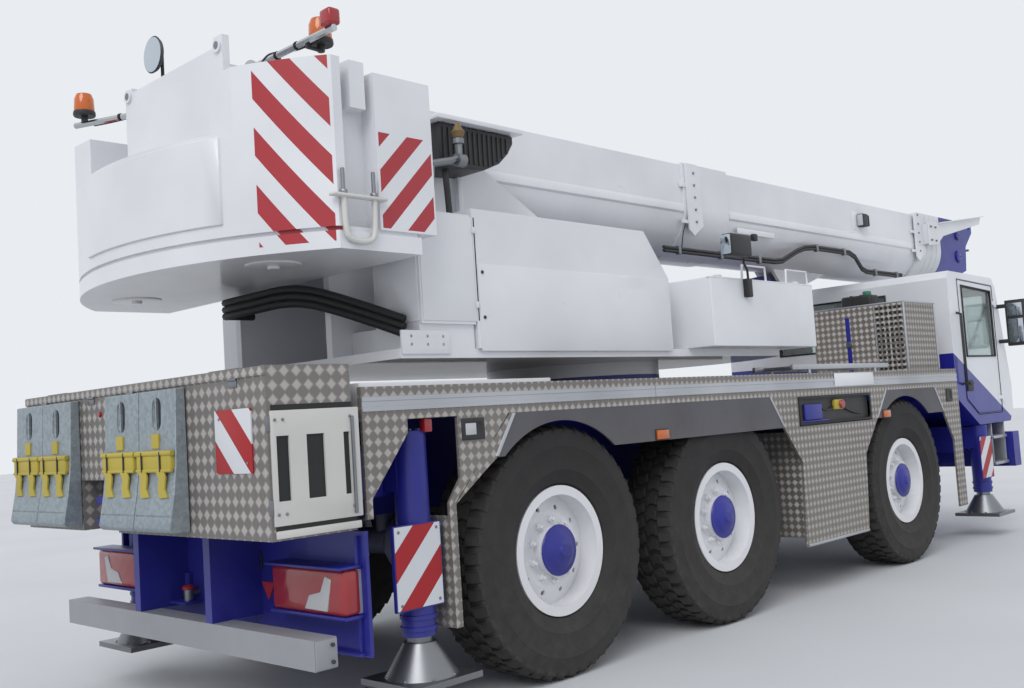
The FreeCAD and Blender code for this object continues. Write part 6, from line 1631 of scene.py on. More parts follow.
@dataclass
class DeckTrim(Assembly):
    """The deck's edge strips, skirt edges, side markers, lockers and lamps along both sides."""

    side_y: float = 1.275
    tail_x: float = ahead(-1.38)
    nose_x: float = ahead(5.58)
    joint_x: float = ahead(0.885)

    def build(self) -> None:
        """Makes the trim of both sides and what lies on the deck."""
        self.edge_strips()
        self.skirt_edges()
        self.markers()
        self.corner_lamp()
        self.recess()
        self.panel_fittings()
        self.deck_top()

    def edge_strips(self) -> None:
        """A grooved bright strip between the two chequered bands of the deck's edge, and a bare plate on it."""
        y = -self.side_y
        profile = (
            (0.002, 1.513), (-0.004, 1.515), (-0.004, 1.534), (-0.001, 1.537), (-0.001, 1.560),
            (-0.004, 1.563), (-0.004, 1.582), (0.002, 1.584),
        )
        pieces = [
            plate([(start, y + out, z) for out, z in profile], (end - start, 0, 0), 0)
            for start, end in (
                (self.tail_x + 0.002, self.joint_x - 0.002), (self.joint_x + 0.002, self.nose_x - 0.002),
            )
        ]
        self.pair(pieces, "deck_edge_strips", SILVER)
        self.pair(
            [block((ahead(3.19), y - 0.009, 1.522), (ahead(3.85), y - 0.003, 1.622))], "deck_bare_plates",
            WHITE,
        )

    def skirt_edges(self) -> None:
        """Bright angles along the skirts' slanting ends, and the wedge behind the rear arch."""
        y = -self.side_y
        pieces = []
        for low, high in ((-0.52, -0.375), (2.395, 2.23), (3.88, 4.07), (5.22, 5.06)):
            x0, x1 = ahead(low), ahead(high)
            outline = ((x0 - 0.012, 1.25), (x0 + 0.012, 1.25), (x1 + 0.012, 1.468), (x1 - 0.012, 1.468))
            pieces.append(plate([(x, y + 0.002, z) for x, z in outline], (0, -0.006, 0), 0.001))
        self.pair(pieces, "skirt_edge_angles", SILVER)
        outline = ((-0.415, 1.468), (-0.365, 1.468), (-0.515, 1.245), (-0.60, 1.19), (-0.825, 1.035))
        wedge = plate([(ahead(x), y + 0.016, z) for x, z in outline], (0, -0.016, 0), 0)
        self.pair([wedge], "skirt_wedges", FINE_CHEQUER)

    def markers(self) -> None:
        """Amber marker lamps with black backs along each side."""
        y = -self.side_y
        lenses, backs = [], []
        for x, z in ((ahead(0.86), 1.28), (ahead(3.98), 1.275)):
            lenses.append(block((x, y - 0.016, z - 0.028), (x + 0.12, y - 0.003, z + 0.028), 0.005))
            backs.append(block((x - 0.008, y - 0.005, z - 0.035), (x + 0.128, y + 0.003, z + 0.035)))
        self.pair(lenses, "side_marker_lenses", AMBER_LENS)
        self.pair(backs, "side_marker_backs", BLACK_PLASTIC)

    def corner_lamp(self) -> None:
        """A lamp in a black tray in the rear panel, and a fuel-cap bowl by the cab."""
        y = -self.side_y
        trays = []
        for x0, x1, z0, z1 in ((-0.76, -0.60, 1.345, 1.455), (5.30, 5.43, 1.33, 1.45)):
            low, high = ahead(x0), ahead(x1)
            room = block((low + 0.018, y - 0.03, z0 + 0.018), (high - 0.018, y - 0.002, z1 - 0.018), 0.012)
            trays.append(pierced(block((low, y - 0.008, z0), (high, y + 0.003, z1), 0.02, 3), room))
        self.pair(trays, "lamp_trays", BLACK_PLASTIC)
        glass = block((ahead(-0.735), y - 0.006, 1.37), (ahead(-0.66), y - 0.001, 1.43), 0.004)
        self.pair([glass], "corner_work_lenses", CLEAR_LENS)

    def recess(self) -> None:
        """The long recess over the tank: its black rim, hoses, and the yellow box with a red stop button."""
        y = -self.side_y
        x0, x1, z0, z1 = ahead(2.625), ahead(3.775), 1.247, 1.456
        rim = block((x0, y - 0.004, z0), (x1, y + 0.004, z1), 0.002)
        room = block((x0 + 0.016, y - 0.05, z0 + 0.016), (x1 - 0.016, y + 0.05, z1 - 0.016), 0.03, 4)
        back = block((x0 + 0.01, y + 0.024, z0 + 0.004), (x1 - 0.01, y + 0.029, z1 - 0.004), 0)
        valves = [
            block((ahead(2.72), y + 0.004, 1.28), (ahead(2.98), y + 0.026, 1.40), 0.01, 3),
            block((ahead(2.68), y + 0.012, 1.262), (ahead(3.10), y + 0.026, 1.278)),
        ]
        box = block((ahead(3.17), y - 0.006, 1.345), (ahead(3.31), y + 0.026, 1.42), 0.008)
        knob = [(0, 0), (0.028, 0), (0.034, 0.008), (0.030, 0.02), (0, 0.022)]
        lines = (
            ((3.0, 0.016, 1.36), (3.08, 0.010, 1.33), (3.17, 0.016, 1.37)),
            ((3.31, 0.016, 1.37), (3.45, 0.012, 1.31), (3.62, 0.018, 1.30)),
        )
        self.pair([pierced(rim, room)], "recess_rims", SEAL)
        self.pair([back], "recess_backs", BLACK_PLASTIC)
        self.pair(valves, "recess_valve_blocks", BLUE)
        self.pair([box], "stop_box", YELLOW)
        self.pair([turned(knob, (ahead(3.26), y - 0.006, 1.383), RIGHT, 24)], "stop_button", RED_LENS)
        hoses = [tube([(ahead(x), y + out, z) for x, out, z in line], 0.006, smooth=True) for line in lines]
        self.pair(hoses, "recess_hoses", BLACK_PLASTIC)

    def panel_fittings(self) -> None:
        """The lip under the middle panel, and the cord and red lamp at the rear outrigger."""
        y = -self.side_y
        lip = block((ahead(2.60), y - 0.010, 0.372), (ahead(3.56), y + 0.012, 0.392), 0.004)
        self.pair([lip], "panel_lips", SILVER)
        line = ((-0.97, 0.08, 1.50), (-0.96, 0.07, 1.42), (-0.94, 0.075, 1.36))
        cord = tube([(ahead(x), y + out, z) for x, out, z in line], 0.007, smooth=True)
        self.pair([cord], "corner_cords", SEAL)
        lamp = block((ahead(-0.985), y + 0.02, 1.40), (ahead(-0.935), y + 0.06, 1.468), 0.006)
        self.pair([lamp], "corner_red_lamps", RED_LENS)

    def deck_top(self) -> None:
        """What lies on the deck: a long low box at the rear right, a ladder, and the slewing ring's bolts."""
        self.add(
            block((ahead(-1.36), -1.235, 1.522), (ahead(-0.02), -1.08, 1.652), 0.006), "deck_long_box",
            WHITE,
        )
        ladder = []
        for y in (-1.22, -0.90):
            ladder.append(block((ahead(2.66), y - 0.012, 1.66), (ahead(4.25), y + 0.012, 1.70), 0.004))
            for x in (2.9, 4.0):
                ladder.append(block((ahead(x), y - 0.01, 1.518), (ahead(x + 0.03), y + 0.01, 1.665)))
        for number in range(6):
            x = ahead(2.80 + number * 0.26)
            ladder.append(bar((x, -1.215, 1.68), (x, -0.905, 1.68), 0.014, 12))
        self.add(ladder, "deck_ladder", SILVER)
        bolts = [
            bar((ahead(1.6) + x, y, 1.52), (ahead(1.6) + x, y, 1.53), 0.010, 6) for x, y in ring(24, 0.615)
        ]
        self.add(bolts, "deck_ring_bolts", STEEL)


@dataclass
class EngineCover(Assembly):
    """The cover behind the driver's cab: punched grille, blue strap and expansion tank."""

    tail_x: float = ahead(4.70)
    nose_x: float = ahead(5.37)
    left_y: float = -0.34
    top_z: float = 2.245

    def build(self) -> None:
        """Makes the grille, the strap and the tank."""
        self.grille()
        self.strap()
        self.tank()

    def grille(self) -> None:
        """Rows of punched slots on the right part of the rear face, drawn as dark squares of painted shade, and
        the cover's edges.
        """
        x, nose = self.tail_x, self.nose_x
        # Dark squares laid on the face stand in for the holes: painted shade of the room behind them.
        holes = [
            block((x - 0.003, y, z), (x + 0.001, y + 0.025, z + 0.025), 0)
            for z in (1.60 + row * 0.049 for row in range(13))
            for y in (-1.19 + column * 0.042 for column in range(6))
        ]
        self.add(holes, "engine_cover_grille_painted_shade", SEAL)
        edges = [
            block((x - 0.005, -0.945, 1.53), (x + 0.001, -0.935, 2.24), 0.002, 1),
            block((x - 0.004, -1.216, 1.53), (x + 0.02, -1.204, 2.25)),
            block((nose - 0.02, -1.216, 1.53), (nose + 0.004, -1.204, 2.25)),
            block((x - 0.004, -1.216, 2.236), (nose + 0.004, -1.20, 2.252)),
            block((x - 0.006, -1.216, 2.238), (x + 0.01, self.left_y, 2.252)),
        ]
        self.add(edges, "engine_cover_edges", SILVER)

    def strap(self) -> None:
        """A blue strap up the rear face with a buckle."""
        x = self.tail_x
        self.add(
            block((x - 0.007, -0.70, 1.62), (x + 0.001, -0.66, 2.15), 0.002), "engine_cover_strap", BLUE,
        )
        buckle = block((x - 0.012, -0.71, 1.88), (x - 0.002, -0.65, 1.93))
        self.add(buckle, "engine_cover_buckle", STEEL, slot=None)

    def tank(self) -> None:
        """A black tank with a green cap on the top, forward of the counterweight's sweep."""
        x, z = self.nose_x, self.top_z
        tank = [block((x - 0.19, -0.70, z - 0.005), (x - 0.01, -0.39, z + 0.145), 0.025, 3)]
        tank += [block((x - 0.195, y, z), (x - 0.005, y + 0.012, z + 0.15), 0.004) for y in (-0.60, -0.50)]
        self.add(tank, "coolant_tank", BLACK_PLASTIC)
        lip = [(0, 0), (0.038, 0), (0.042, 0.012), (0.038, 0.04), (0, 0.045)]
        self.add(turned(lip, (x - 0.10, -0.62, z + 0.142), UP, 24), "coolant_cap", CAP_GREEN, 40)


@dataclass
class DriverCab(Assembly):
    """The driver's cab: window rubbers, handles, wipers, mirrors, lamps, steps, seats and wheel."""

    tail_x: float = ahead(5.70)
    nose_x: float = ahead(7.15)
    side_y: float = 1.22
    door_x: tuple[float, float] = (ahead(5.93), ahead(6.83))
    window_z: tuple[float, float] = (1.75, 2.44)
    mirror_x: float = ahead(6.90)
    lamp_x: float = ahead(7.12)
    rail_x: float = ahead(5.86)
    roof_z: float = 2.562
    wheel_tilt_deg: float = -28.0

    def build(self) -> None:
        """Makes what the cab, its doors and the bumper carry."""
        self.windscreen()
        self.front()
        self.doors()
        self.mirrors()
        self.lamps()
        self.steps()
        self.seats()
        self.controls()
        self.roof()

    def windscreen(self) -> None:
        """Rubber round both screens, and two wipers with their arms."""
        half = self.side_y - 0.14
        low_x = self.nose_x + 0.002
        lean = -0.207
        corners = ((-half, 1.62), (half, 1.62), (half, 2.40), (-half, 2.40))
        front = [(low_x + lean * (z - 1.45), y, z) for y, z in corners]
        rear = [(self.tail_x, y, z) for y, z in ((-0.6, 1.90), (0.6, 1.90), (0.6, 2.40), (-0.6, 2.40))]
        rubbers = [tube(line, 0.013, closed=True) for line in (front, rear)]
        self.add(rubbers, "cab_window_rubbers", SEAL, 50)
        arms = []
        for pivot_y, tip_y in ((-0.50, -0.95), (0.45, 0.0)):
            foot_x = low_x + lean * 0.12 + 0.02
            blade = ((0.18, 1.72), (-0.12, 2.26))
            arms += [
                tube([(foot_x, pivot_y, 1.57), (low_x + lean * 0.55 + 0.018, tip_y, 2.00)], 0.007),
                tube([(low_x + lean * (z - 1.45) + 0.010, tip_y + shift, z) for shift, z in blade], 0.009),
                bar((foot_x - 0.02, pivot_y, 1.57), (foot_x + 0.012, pivot_y, 1.57), 0.020, 16),
            ]
        self.add(arms, "cab_wipers", BLACK_PLASTIC, 50)

    def front(self) -> None:
        """The grille's bars and the bare panel over it."""
        grille = []
        for number in range(5):
            z = 1.235 + number * 0.034
            x = self.nose_x - 0.02 + (z - 1.2) * 0.08
            grille.append(block((x - 0.006, -0.75, z), (x + 0.014, 0.75, z + 0.018), 0.005))
        self.add(grille, "cab_front_grille", BLACK_PLASTIC)
        panel = block((self.nose_x - 0.004, -0.62, 1.43), (self.nose_x + 0.006, 0.62, 1.50), 0.004)
        self.add(panel, "cab_bare_front_panel", CAB_ENAMEL)

    def doors(self) -> None:
        """Window rubber, handle, step-in grip, seam and card of each door, on the door's own body."""
        x0, x1 = self.door_x
        low, top = self.window_z
        window = ((x0 + 0.09, low), (x1 - 0.07, low), (x1 - 0.07, top - 0.03), (x0 + 0.09, top))
        seam = (
            (x0 + 0.004, 1.345), (x0 + 0.27, 1.19), (x1 - 0.004, 1.19), (x1 - 0.004, 2.465),
            (x0 + 0.004, 2.495),
        )
        for side in reversed(Side):
            sign = side.value
            y = sign * (self.side_y + 0.002)
            near, far = sorted((y - sign * 0.004, y + sign * 0.012))
            grip_near, grip_far = sorted((y + sign * 0.008, y + sign * 0.026))
            card_near, card_far = sorted((sign * (self.side_y - 0.034), sign * (self.side_y - 0.048)))
            handle = [
                block((x0 + 0.025, near, 1.41), (x0 + 0.165, far, 1.52), 0.01, 3),
                block((x0 + 0.045, grip_near, 1.475), (x0 + 0.150, grip_far, 1.500), 0.008),
            ]
            card = block((x0 + 0.08, card_near, 1.26), (x1 - 0.06, card_far, 1.70), 0.006)
            for pieces, part, finish, angle in (
                (tube([(x, y, z) for x, z in window], 0.012, closed=True), "rubber", SEAL, 50),
                (handle, "handle", BLACK_PLASTIC, 35),
                (tube([(x, y, z) for x, z in seam], 0.004, closed=True), "seam", SEAL, 50),
                (card, "card", TRIM, 35),
            ):
                self.add(pieces, side.named(f"door_{part}"), finish, angle, body=side.named("cab_door"))

    def mirrors(self) -> None:
        """Mirror glass that looks back, a wide-angle glass above it, and their housings on two arms."""
        x = self.mirror_x
        glass = [
            block((x - 0.010, 1.335, z0), (x - 0.004, 1.480, z1), 0.004)
            for z0, z1 in ((1.875, 2.115), (2.145, 2.275))
        ]
        shells = [block((x - 0.006, 1.312, 1.842), (x + 0.068, 1.505, 2.308), 0.006)]
        for z in (1.895, 2.255):
            shells.append(block((x + 0.006, 1.215, z - 0.020), (x + 0.046, 1.32, z + 0.020), 0.012, 3))
        self.pair(glass, "cab_mirror_glasses", MIRROR)
        self.pair(shells, "cab_mirror_shells", BLACK_PLASTIC)

    def lamps(self) -> None:
        """Headlamps, indicators and fog lamps in the bumper, with a plain plate between them."""
        x = self.lamp_x
        bowl = [(0, 0), (0.072, 0), (0.074, 0.008), (0.05, 0.014), (0, 0.016)]
        rim = [(0.070, 0), (0.084, 0), (0.084, 0.010), (0.076, 0.014), (0.070, 0.010)]
        places = [(x, y, 0.80) for y in (0.81, 1.0)]
        frames = [turned(rim, place, FORWARD, 32) for place in places]
        frames.append(block((x - 0.004, 0.68, 0.70), (x + 0.003, 1.24, 0.90), 0.02, 3))
        lenses = [turned(bowl, (x + 0.004, y, z), FORWARD, 32) for _, y, z in places]
        self.pair(lenses, "headlamp_lenses", CLEAR_LENS, 40)
        indicator = block((x, 1.12, 0.745), (x + 0.014, 1.22, 0.855), 0.01)
        self.pair([indicator], "front_indicator_lenses", AMBER_LENS, 40)
        self.pair(frames, "headlamp_frames", BLACK_PLASTIC, 40)
        self.add(block((x - 0.002, -0.27, 0.74), (x + 0.006, 0.27, 0.86), 0.004), "front_bare_plate", WHITE)
        pins = [bar((x, y, 0.68), (x + 0.03, y, 0.68), 0.024, 16) for y in (-0.42, 0.42)]
        self.add(pins, "front_tow_sockets", STEEL)

    def steps(self) -> None:
        """Two open treads on brackets under each door, and grab rails by the door's edge."""
        y = self.side_y
        treads = []
        for z, depth in ((0.66, 0.19), (0.92, 0.16)):
            treads.append(block((ahead(6.56), y - depth, z), (ahead(6.92), y - 0.01, z + 0.028), 0.006))
            for number in range(5):
                x = ahead(6.60 + number * 0.07)
                treads.append(
                    block((x, y - depth + 0.01, z + 0.024), (x + 0.012, y - 0.02, z + 0.034), 0.002, 1)
                )
        for x in (6.56, 6.905):
            treads.append(block((ahead(x), y - 0.19, 0.66), (ahead(x + 0.015), y - 0.03, 1.10), 0.004))
        self.pair(treads, "cab_steps", SILVER)
        line = ((-0.002, 1.48), (0.045, 1.50), (0.045, 2.15), (-0.002, 2.17))
        rail = tube([(self.rail_x, y + out, z) for out, z in line], 0.012)
        self.pair([rail], "cab_grab_rails", BLACK_PLASTIC, 50)

    def seats(self) -> None:
        """Two seats with cushion, back and headrest over the plain seat blocks."""
        parts = (
            ("cushion", 6.02, 6.52, 0.0, 1.585, 1.685), ("back", 5.975, 6.10, 0.0, 1.65, 2.23),
            ("headrest", 5.95, 6.06, 0.08, 2.20, 2.38),
        )
        for side in reversed(Side):
            near, far = sorted((side.value * 0.425, side.value * 0.875))
            for part, x0, x1, inset, z0, z1 in parts:
                cushion = pad((ahead(x0), near + inset, z0), (ahead(x1), far - inset, z1))
                self.add(cushion, side.named(f"cab_seat_{part}"), CLOTH, 50)

    def controls(self) -> None:
        """Steering wheel with three spokes, its column and the dashboard's hood."""
        centre = Matrix.Translation((ahead(6.63), 0.65, 1.72))
        tilt = centre @ Matrix.Rotation(math.radians(self.wheel_tilt_deg), 4, "Y")
        pieces = [
            started(
                bpy.ops.mesh.primitive_torus_add, major_segments=40, minor_segments=10, major_radius=0.22,
                minor_radius=0.014,
            )
        ]
        pieces += [bar((0, 0, -0.01), (x, y, 0), 0.011, 10) for x, y in ring(3, 0.215, 0.75)]
        boss = [(0, -0.04), (0.05, -0.04), (0.06, -0.005), (0.05, 0.015), (0, 0.02)]
        pieces.append(turned(boss, ORIGIN, UP, 24))
        for piece in pieces:
            piece.data.transform(tilt)
        ends = [tuple(tilt @ Vector((0, 0, depth))) for depth in (-0.02, -0.24)]
        pieces.append(bar(*ends, 0.028, 14))
        self.add(pieces, "steering_wheel", BLACK_PLASTIC, 50, "cab_trim")
        dash = [
            block((ahead(6.78), -1.10, 1.545), (ahead(7.05), 1.10, 1.585), 0.015, 3),
            block((ahead(6.765), 0.40, 1.46), (ahead(6.80), 0.92, 1.60), 0.012, 3),
        ]
        self.add(dash, "dashboard_hood", TRIM)

    def roof(self) -> None:
        """A vent hatch and gutters on the roof."""
        z = self.roof_z
        hatch = [block((ahead(6.05), -0.35, z - 0.012), (ahead(6.60), 0.35, z + 0.018), 0.012, 3)]
        for y in (-1.14, 1.14):
            hatch.append(
                block((ahead(5.80), y - 0.010, z - 0.004), (ahead(6.80), y + 0.010, z + 0.010), 0.004)
            )
        self.add(hatch, "cab_roof_hatch", CAB_ENAMEL)


@dataclass
class BoomTrim(Assembly):
    """What runs along the boom: the folded band on each side, the collar brackets, hose and lamp."""

    body: ClassVar[str] = "boom"
    side_y: float = -0.38

    def build(self) -> None:
        """Makes the boom's side bands, brackets, hose and lamp."""
        self.bands()
        self.brackets()
        self.hose()
        self.lamp()

    def bands(self) -> None:
        """A pressed rib runs along each side between the collars."""
        y = self.side_y
        profile = ((0.004, 2.985), (-0.010, 3.000), (-0.012, 3.035), (0.004, 3.075))
        pieces = [
            plate([(ahead(start), y + out, z) for out, z in profile], (end - start, 0, 0))
            for start, end in ((-0.10, 2.66), (3.32, 6.95))
        ]
        self.pair(pieces, "boom_side_bands", WHITE)

    def brackets(self) -> None:
        """Upright bracket plates with bolt rows on the middle collar and the boom's end."""
        y = self.side_y - 0.016
        plates, bolts = [], []
        for x0, x1, z0, z1 in ((2.68, 2.88, 2.80, 3.395), (7.02, 7.20, 2.86, 3.37)):
            outline = (
                (x0, z0 + 0.05), (x0 + 0.06, z0), (x1, z0 + 0.09), (x1, z1 - 0.04), (x1 - 0.04, z1),
                (x0, z1),
            )
            plates.append(plate([(ahead(x), y, z) for x, z in outline], (0, -0.016, 0), 0.003))
            for z in (z1 - 0.20, z0 + 0.10):
                plates.append(
                    block((ahead(x0 - 0.07), y - 0.006, z), (ahead(x0 + 0.01), y + 0.014, z + 0.03))
                )
            x = ahead((x0 + x1) / 2)
            for z in (z0 + 0.12 + number * 0.1 for number in range(5)):
                bolts.append(bar((x, y - 0.014, z), (x, y - 0.026, z), 0.011, 6))
        self.pair(plates, "boom_brackets", WHITE)
        self.pair(bolts, "boom_bracket_bolts", STEEL)

    def hose(self) -> None:
        """A black hose bundle clipped along the boom's right side, rising over the lift cylinder's ears."""
        y = self.side_y - 0.014
        route = (
            (2.32, 2.66), (3.98, 2.66), (4.12, 2.675), (4.40, 2.78), (4.55, 2.82), (4.70, 2.835),
            (5.43, 2.835), (5.55, 2.80), (5.68, 2.69), (5.78, 2.665), (6.60, 2.665),
        )
        lines = [tube([(ahead(x), y - 0.004, z + shift) for x, z in route], 0.014) for shift in (0, 0.026)]
        self.add(lines, "boom_hoses", BLACK_PLASTIC, 60)
        places = (
            (2.5, 2.66), (3.1, 2.66), (3.7, 2.66), (4.75, 2.835), (5.3, 2.835), (5.95, 2.665),
            (6.45, 2.665),
        )
        clamps = [
            block((ahead(x), y - 0.022, z - 0.022), (ahead(x + 0.035), y + 0.016, z + 0.048), 0.004)
            for x, z in places
        ]
        self.add(clamps, "boom_hose_clamps", STEEL)
        line = ((2.66, 0, 2.90), (2.60, -0.012, 2.86), (2.56, -0.012, 2.72), (2.56, -0.004, 2.68))
        wire = tube([(ahead(x), y + out, z) for x, out, z in line], 0.005, smooth=True)
        self.add(wire, "boom_lamp_wire", BLACK_PLASTIC, 60)

    def lamp(self) -> None:
        """A work lamp on a plate, and a box with its cable, on the boom's right side."""
        y = self.side_y
        sheets = [
            block((ahead(5.60), y - 0.006, 3.10), (ahead(5.72), y + 0.004, 3.28)),
            block((ahead(3.42), y - 0.018, 2.88), (ahead(4.02), y - 0.004, 2.93)),
        ]
        self.add(sheets, "boom_lamp_plates", WHITE)
        lamp = [block((ahead(5.69), y - 0.075, 3.13), (ahead(5.80), y - 0.004, 3.26), 0.012, 3)]
        for x in (ahead(5.802 + number * 0.012) for number in range(4)):
            lamp.append(block((x, y - 0.065, 3.14), (x + 0.006, y - 0.01, 3.25), 0))
        lamp.append(block((ahead(3.62), y - 0.05, 2.83), (ahead(3.68), y - 0.008, 2.89), 0.008))
        self.add(lamp, "boom_work_lamp", BLACK_PLASTIC)
        lens = block((ahead(5.684), y - 0.068, 3.14), (ahead(5.693), y - 0.012, 3.25))
        self.add(lens, "boom_lamp_lens", CLEAR_LENS)


@dataclass
class BoomHead(Assembly):
    """The boom's head: covers over its shafts, rope guards, and the arm that stows a jib."""

    body: ClassVar[str] = "boom_section_3"
    half: float = 0.33
    arm_y: float = -0.475

    def build(self) -> None:
        """Makes the covers, guards and arm at the places of the CAD shafts."""
        low, high = box_of("boom_head")
        self.hubs(low, high)
        self.guards(low, high)
        self.jib_arm()

    def hubs(self, low: Vector, high: Vector) -> None:
        """Bolted covers over both shafts' ends."""
        covers, bolts = [], []
        for x, z, radius in ((ahead(8.38), low.z + 0.31, 0.075), (ahead(8.40), high.z - 0.17, 0.062)):
            cover = [(0, 0), (radius, 0), (radius, 0.012), (radius - 0.01, 0.018), (0, 0.018)]
            for sign in (-1, 1):
                covers.append(turned(cover, (x, sign * self.half, z), (0, sign, 0), 28))
                start, end = sign * (self.half + 0.016), sign * (self.half + 0.026)
                bolts += [
                    bar((x + a, start, z + b), (x + a, end, z + b), 0.008, 6)
                    for a, b in ring(5, radius - 0.02)
                ]
        self.add(covers, "head_shaft_covers", BLUE, 40)
        self.add(bolts, "head_shaft_bolts", STEEL)

    def guards(self, low: Vector, high: Vector) -> None:
        """Round bars across the head keep the rope on its sheaves."""
        bars = [
            bar((x, -self.half + 0.03, z), (x, self.half - 0.03, z), 0.014, 14)
            for x, z in ((high.x - 0.05, low.z + 0.42), (high.x - 0.07, high.z - 0.16))
        ]
        self.add(bars, "head_rope_guards", STEEL)

    def jib_arm(self) -> None:
        """The white tapered arm that holds a stowed jib, bolted to the outer section's collar."""
        y = self.arm_y
        blade = (
            (7.20, 3.04), (7.42, 3.06), (7.60, 3.17), (8.72, 3.40), (8.78, 3.50), (7.46, 3.31),
            (7.20, 3.30),
        )
        flange = ((8.78, 3.50), (7.46, 3.31), (7.46, 3.30), (8.78, 3.49))
        pieces = [
            plate([(ahead(x), y, z) for x, z in blade], (0, -0.012, 0)),
            plate([(ahead(x), y - 0.05, z) for x, z in flange], (0, 0.05, 0), 0),
        ]
        for x in (7.215, 7.33):
            pieces.append(block((ahead(x), y - 0.002, 3.06), (ahead(x) + 0.05, -0.40, 3.28)))
        self.add(pieces, "jib_stowing_arm", WHITE, body="boom")
        bolts = [
            bar((ahead(x), y - 0.01, z), (ahead(x), y - 0.028, z), 0.012, 6)
            for x in (7.26, 7.38)
            for z in (3.10, 3.25)
        ]
        self.add(bolts, "jib_arm_bolts", STEEL, body="boom")


@dataclass
class Underbody(Assembly):
    """What hangs under the deck: drive shafts, brake cylinders and air tanks."""

    axle_x: tuple[float, ...] = (ahead(0.0), ahead(1.65), ahead(4.43))
    shaft_z: float = 0.725

    def build(self) -> None:
        """Makes the shafts, the brake cylinders and the tanks."""
        self.shafts()
        self.brakes()
        self.tanks()

    def shafts(self) -> None:
        """Shafts with joints at both ends run between the axles' differentials."""
        pieces = []
        for start, end in ((ahead(0.20), ahead(1.45)), (ahead(1.85), ahead(4.23))):
            for x0, x1, radius in (
                (start, end, 0.045), (start, start + 0.09, 0.075), (end - 0.09, end, 0.075),
            ):
                pieces.append(bar((x0, 0, self.shaft_z), (x1, 0, self.shaft_z), radius))
        self.add(pieces, "drive_shafts", AXLE)

    def brakes(self) -> None:
        """Two brake cylinders behind each axle beam."""
        band = [(0.074, -0.01), (0.084, -0.01), (0.084, 0.014), (0.074, 0.014)]
        pieces = []
        for x in self.axle_x:
            for y in (-0.52, 0.52):
                pieces.append(bar((x - 0.24, y, 0.80), (x - 0.08, y, 0.74), 0.075))
                pieces.append(turned(band, (x - 0.19, y, 0.78), FORWARD, 20))
        self.add(pieces, "brake_cylinders", AXLE, 40)

    def tanks(self) -> None:
        """Air tanks with domed ends, hung inside the frame's right side."""
        side = [
            (0, -0.02), (0.06, -0.012), (0.095, 0.02), (0.10, 0.05), (0.10, 0.45), (0.095, 0.48),
            (0.06, 0.512), (0, 0.52),
        ]
        pieces = [turned(side, (ahead(x), -0.25, 0.84), LEFT, 28) for x in (2.70, 3.05, 3.40)]
        self.add(pieces, "air_tanks", AXLE, 40)


# Camera, floor and light.


@dataclass
class Viewpoint:
    """The photographer's place behind the crane's right corner, standing at head height."""

    place: Point = (-7.855, -5.190, 1.447)
    right: Point = (0.6953, -0.7157, -0.0644)
    up: Point = (-0.0044, -0.0938, 0.9955)
    forward: Point = (0.7186, 0.6920, 0.0684)
    lens_mm: float = 37.33
    sensor_mm: float = 36.0

    def build(self) -> bpy.types.Object:
        """Makes the camera, sets it as the scene's own and gives it back."""
        lens = bpy.data.cameras.new("viewpoint")
        lens.lens = self.lens_mm
        lens.sensor_width = self.sensor_mm
        lens.clip_end = 400.0
        camera = bpy.data.objects.new("viewpoint", lens)
        bpy.context.scene.collection.objects.link(camera)
        turn = Matrix((self.right, self.up, tuple(-part for part in self.forward))).transposed().to_4x4()
        camera.matrix_world = Matrix.Translation(self.place) @ turn
        bpy.context.scene.camera = camera
        return camera


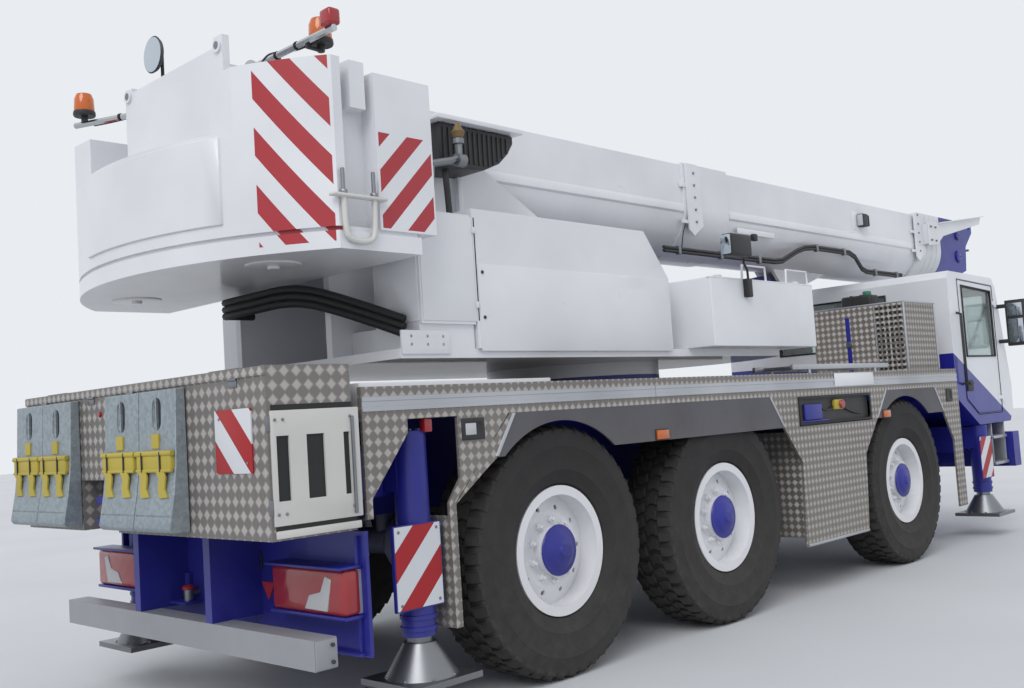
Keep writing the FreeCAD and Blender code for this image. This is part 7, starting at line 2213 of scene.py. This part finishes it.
@dataclass
class Studio:
    """A pale floor under soft, high, nearly even light."""

    floor_colour: str = "#D3D5D8"
    floor_shade: str = "#CBCDD0"
    floor_half: float = 60.0
    sky_colour: str = "#E6E9EE"
    sky_strength: float = 0.86
    backdrop: str = "#E9EDF1"
    sun_energy: float = 1.25
    sun_spread_deg: float = 35.0
    sun_turn_deg: tuple[float, float, float] = (48.0, 0.0, -62.0)

    def build(self) -> None:
        """Makes the floor, the sky and the sun."""
        self.floor()
        self.sky()
        self.sun()

    def floor(self) -> None:
        """A wide sheet of pale, faintly mottled concrete."""
        floor = started(bpy.ops.mesh.primitive_plane_add, size=2 * self.floor_half)
        floor.name = "studio_floor"
        concrete = Finish(
            "pale_concrete_floor", self.floor_colour, self.floor_shade, 0.75, blotch_mm=2500, grime=0.0,
        )
        floor.data.materials.append(concrete.material())

    def sky(self) -> None:
        """An even pale sky that lights the crane, with a brighter plain backdrop for the camera."""
        world = bpy.data.worlds.new("studio_sky")
        bpy.context.scene.world = world
        world.use_nodes = True
        tree = world.node_tree
        light = tree.nodes["Background"]
        light.inputs["Color"].default_value = linear(self.sky_colour)
        light.inputs["Strength"].default_value = self.sky_strength
        seen = add_node(tree, "Background", None, {"Color": self.backdrop, "Strength": 1}).outputs[0]
        ray = add_node(tree, "LightPath").outputs
        direct = calculated(tree, "MAXIMUM", ray["Is Camera Ray"], ray["Is Glossy Ray"])
        looked_at = calculated(tree, "MAXIMUM", direct, ray["Is Transmission Ray"])
        mixed = add_node(tree, "MixShader", None, {0: looked_at, 1: light.outputs[0], 2: seen})
        tree.links.new(mixed.outputs[0], tree.nodes["World Output"].inputs["Surface"])

    def sun(self) -> None:
        """One very soft sun from high on the right, as through thin cloud."""
        lamp = bpy.data.lights.new("soft_sun", "SUN")
        lamp.energy = self.sun_energy
        lamp.angle = math.radians(self.sun_spread_deg)
        sun = bpy.data.objects.new("soft_sun", lamp)
        sun.rotation_euler = tuple(math.radians(part) for part in self.sun_turn_deg)
        bpy.context.scene.collection.objects.link(sun)


ASSEMBLIES: tuple[Assembly, ...] = (
    Wheels(), Winch(), BeaconRails(), WeightTrim(), HousingTrim(), OperatorCab(), Toolbox(), RearLocker(),
    RearLamps(), Outriggers(), DeckTrim(), EngineCover(), DriverCab(), BoomTrim(), BoomHead(), Underbody(),
)


def main() -> None:
    """Builds the camera, the light and every sub-assembly in order."""
    logging.basicConfig(level=logging.INFO, format="%(name)s: %(message)s")
    bpy.context.scene.view_settings.view_transform = "Standard"
    Viewpoint().build()
    Studio().build()
    dress_nodes(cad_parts)
    for assembly in ASSEMBLIES:
        assembly.build()


if __name__ == "__main__":
    main()
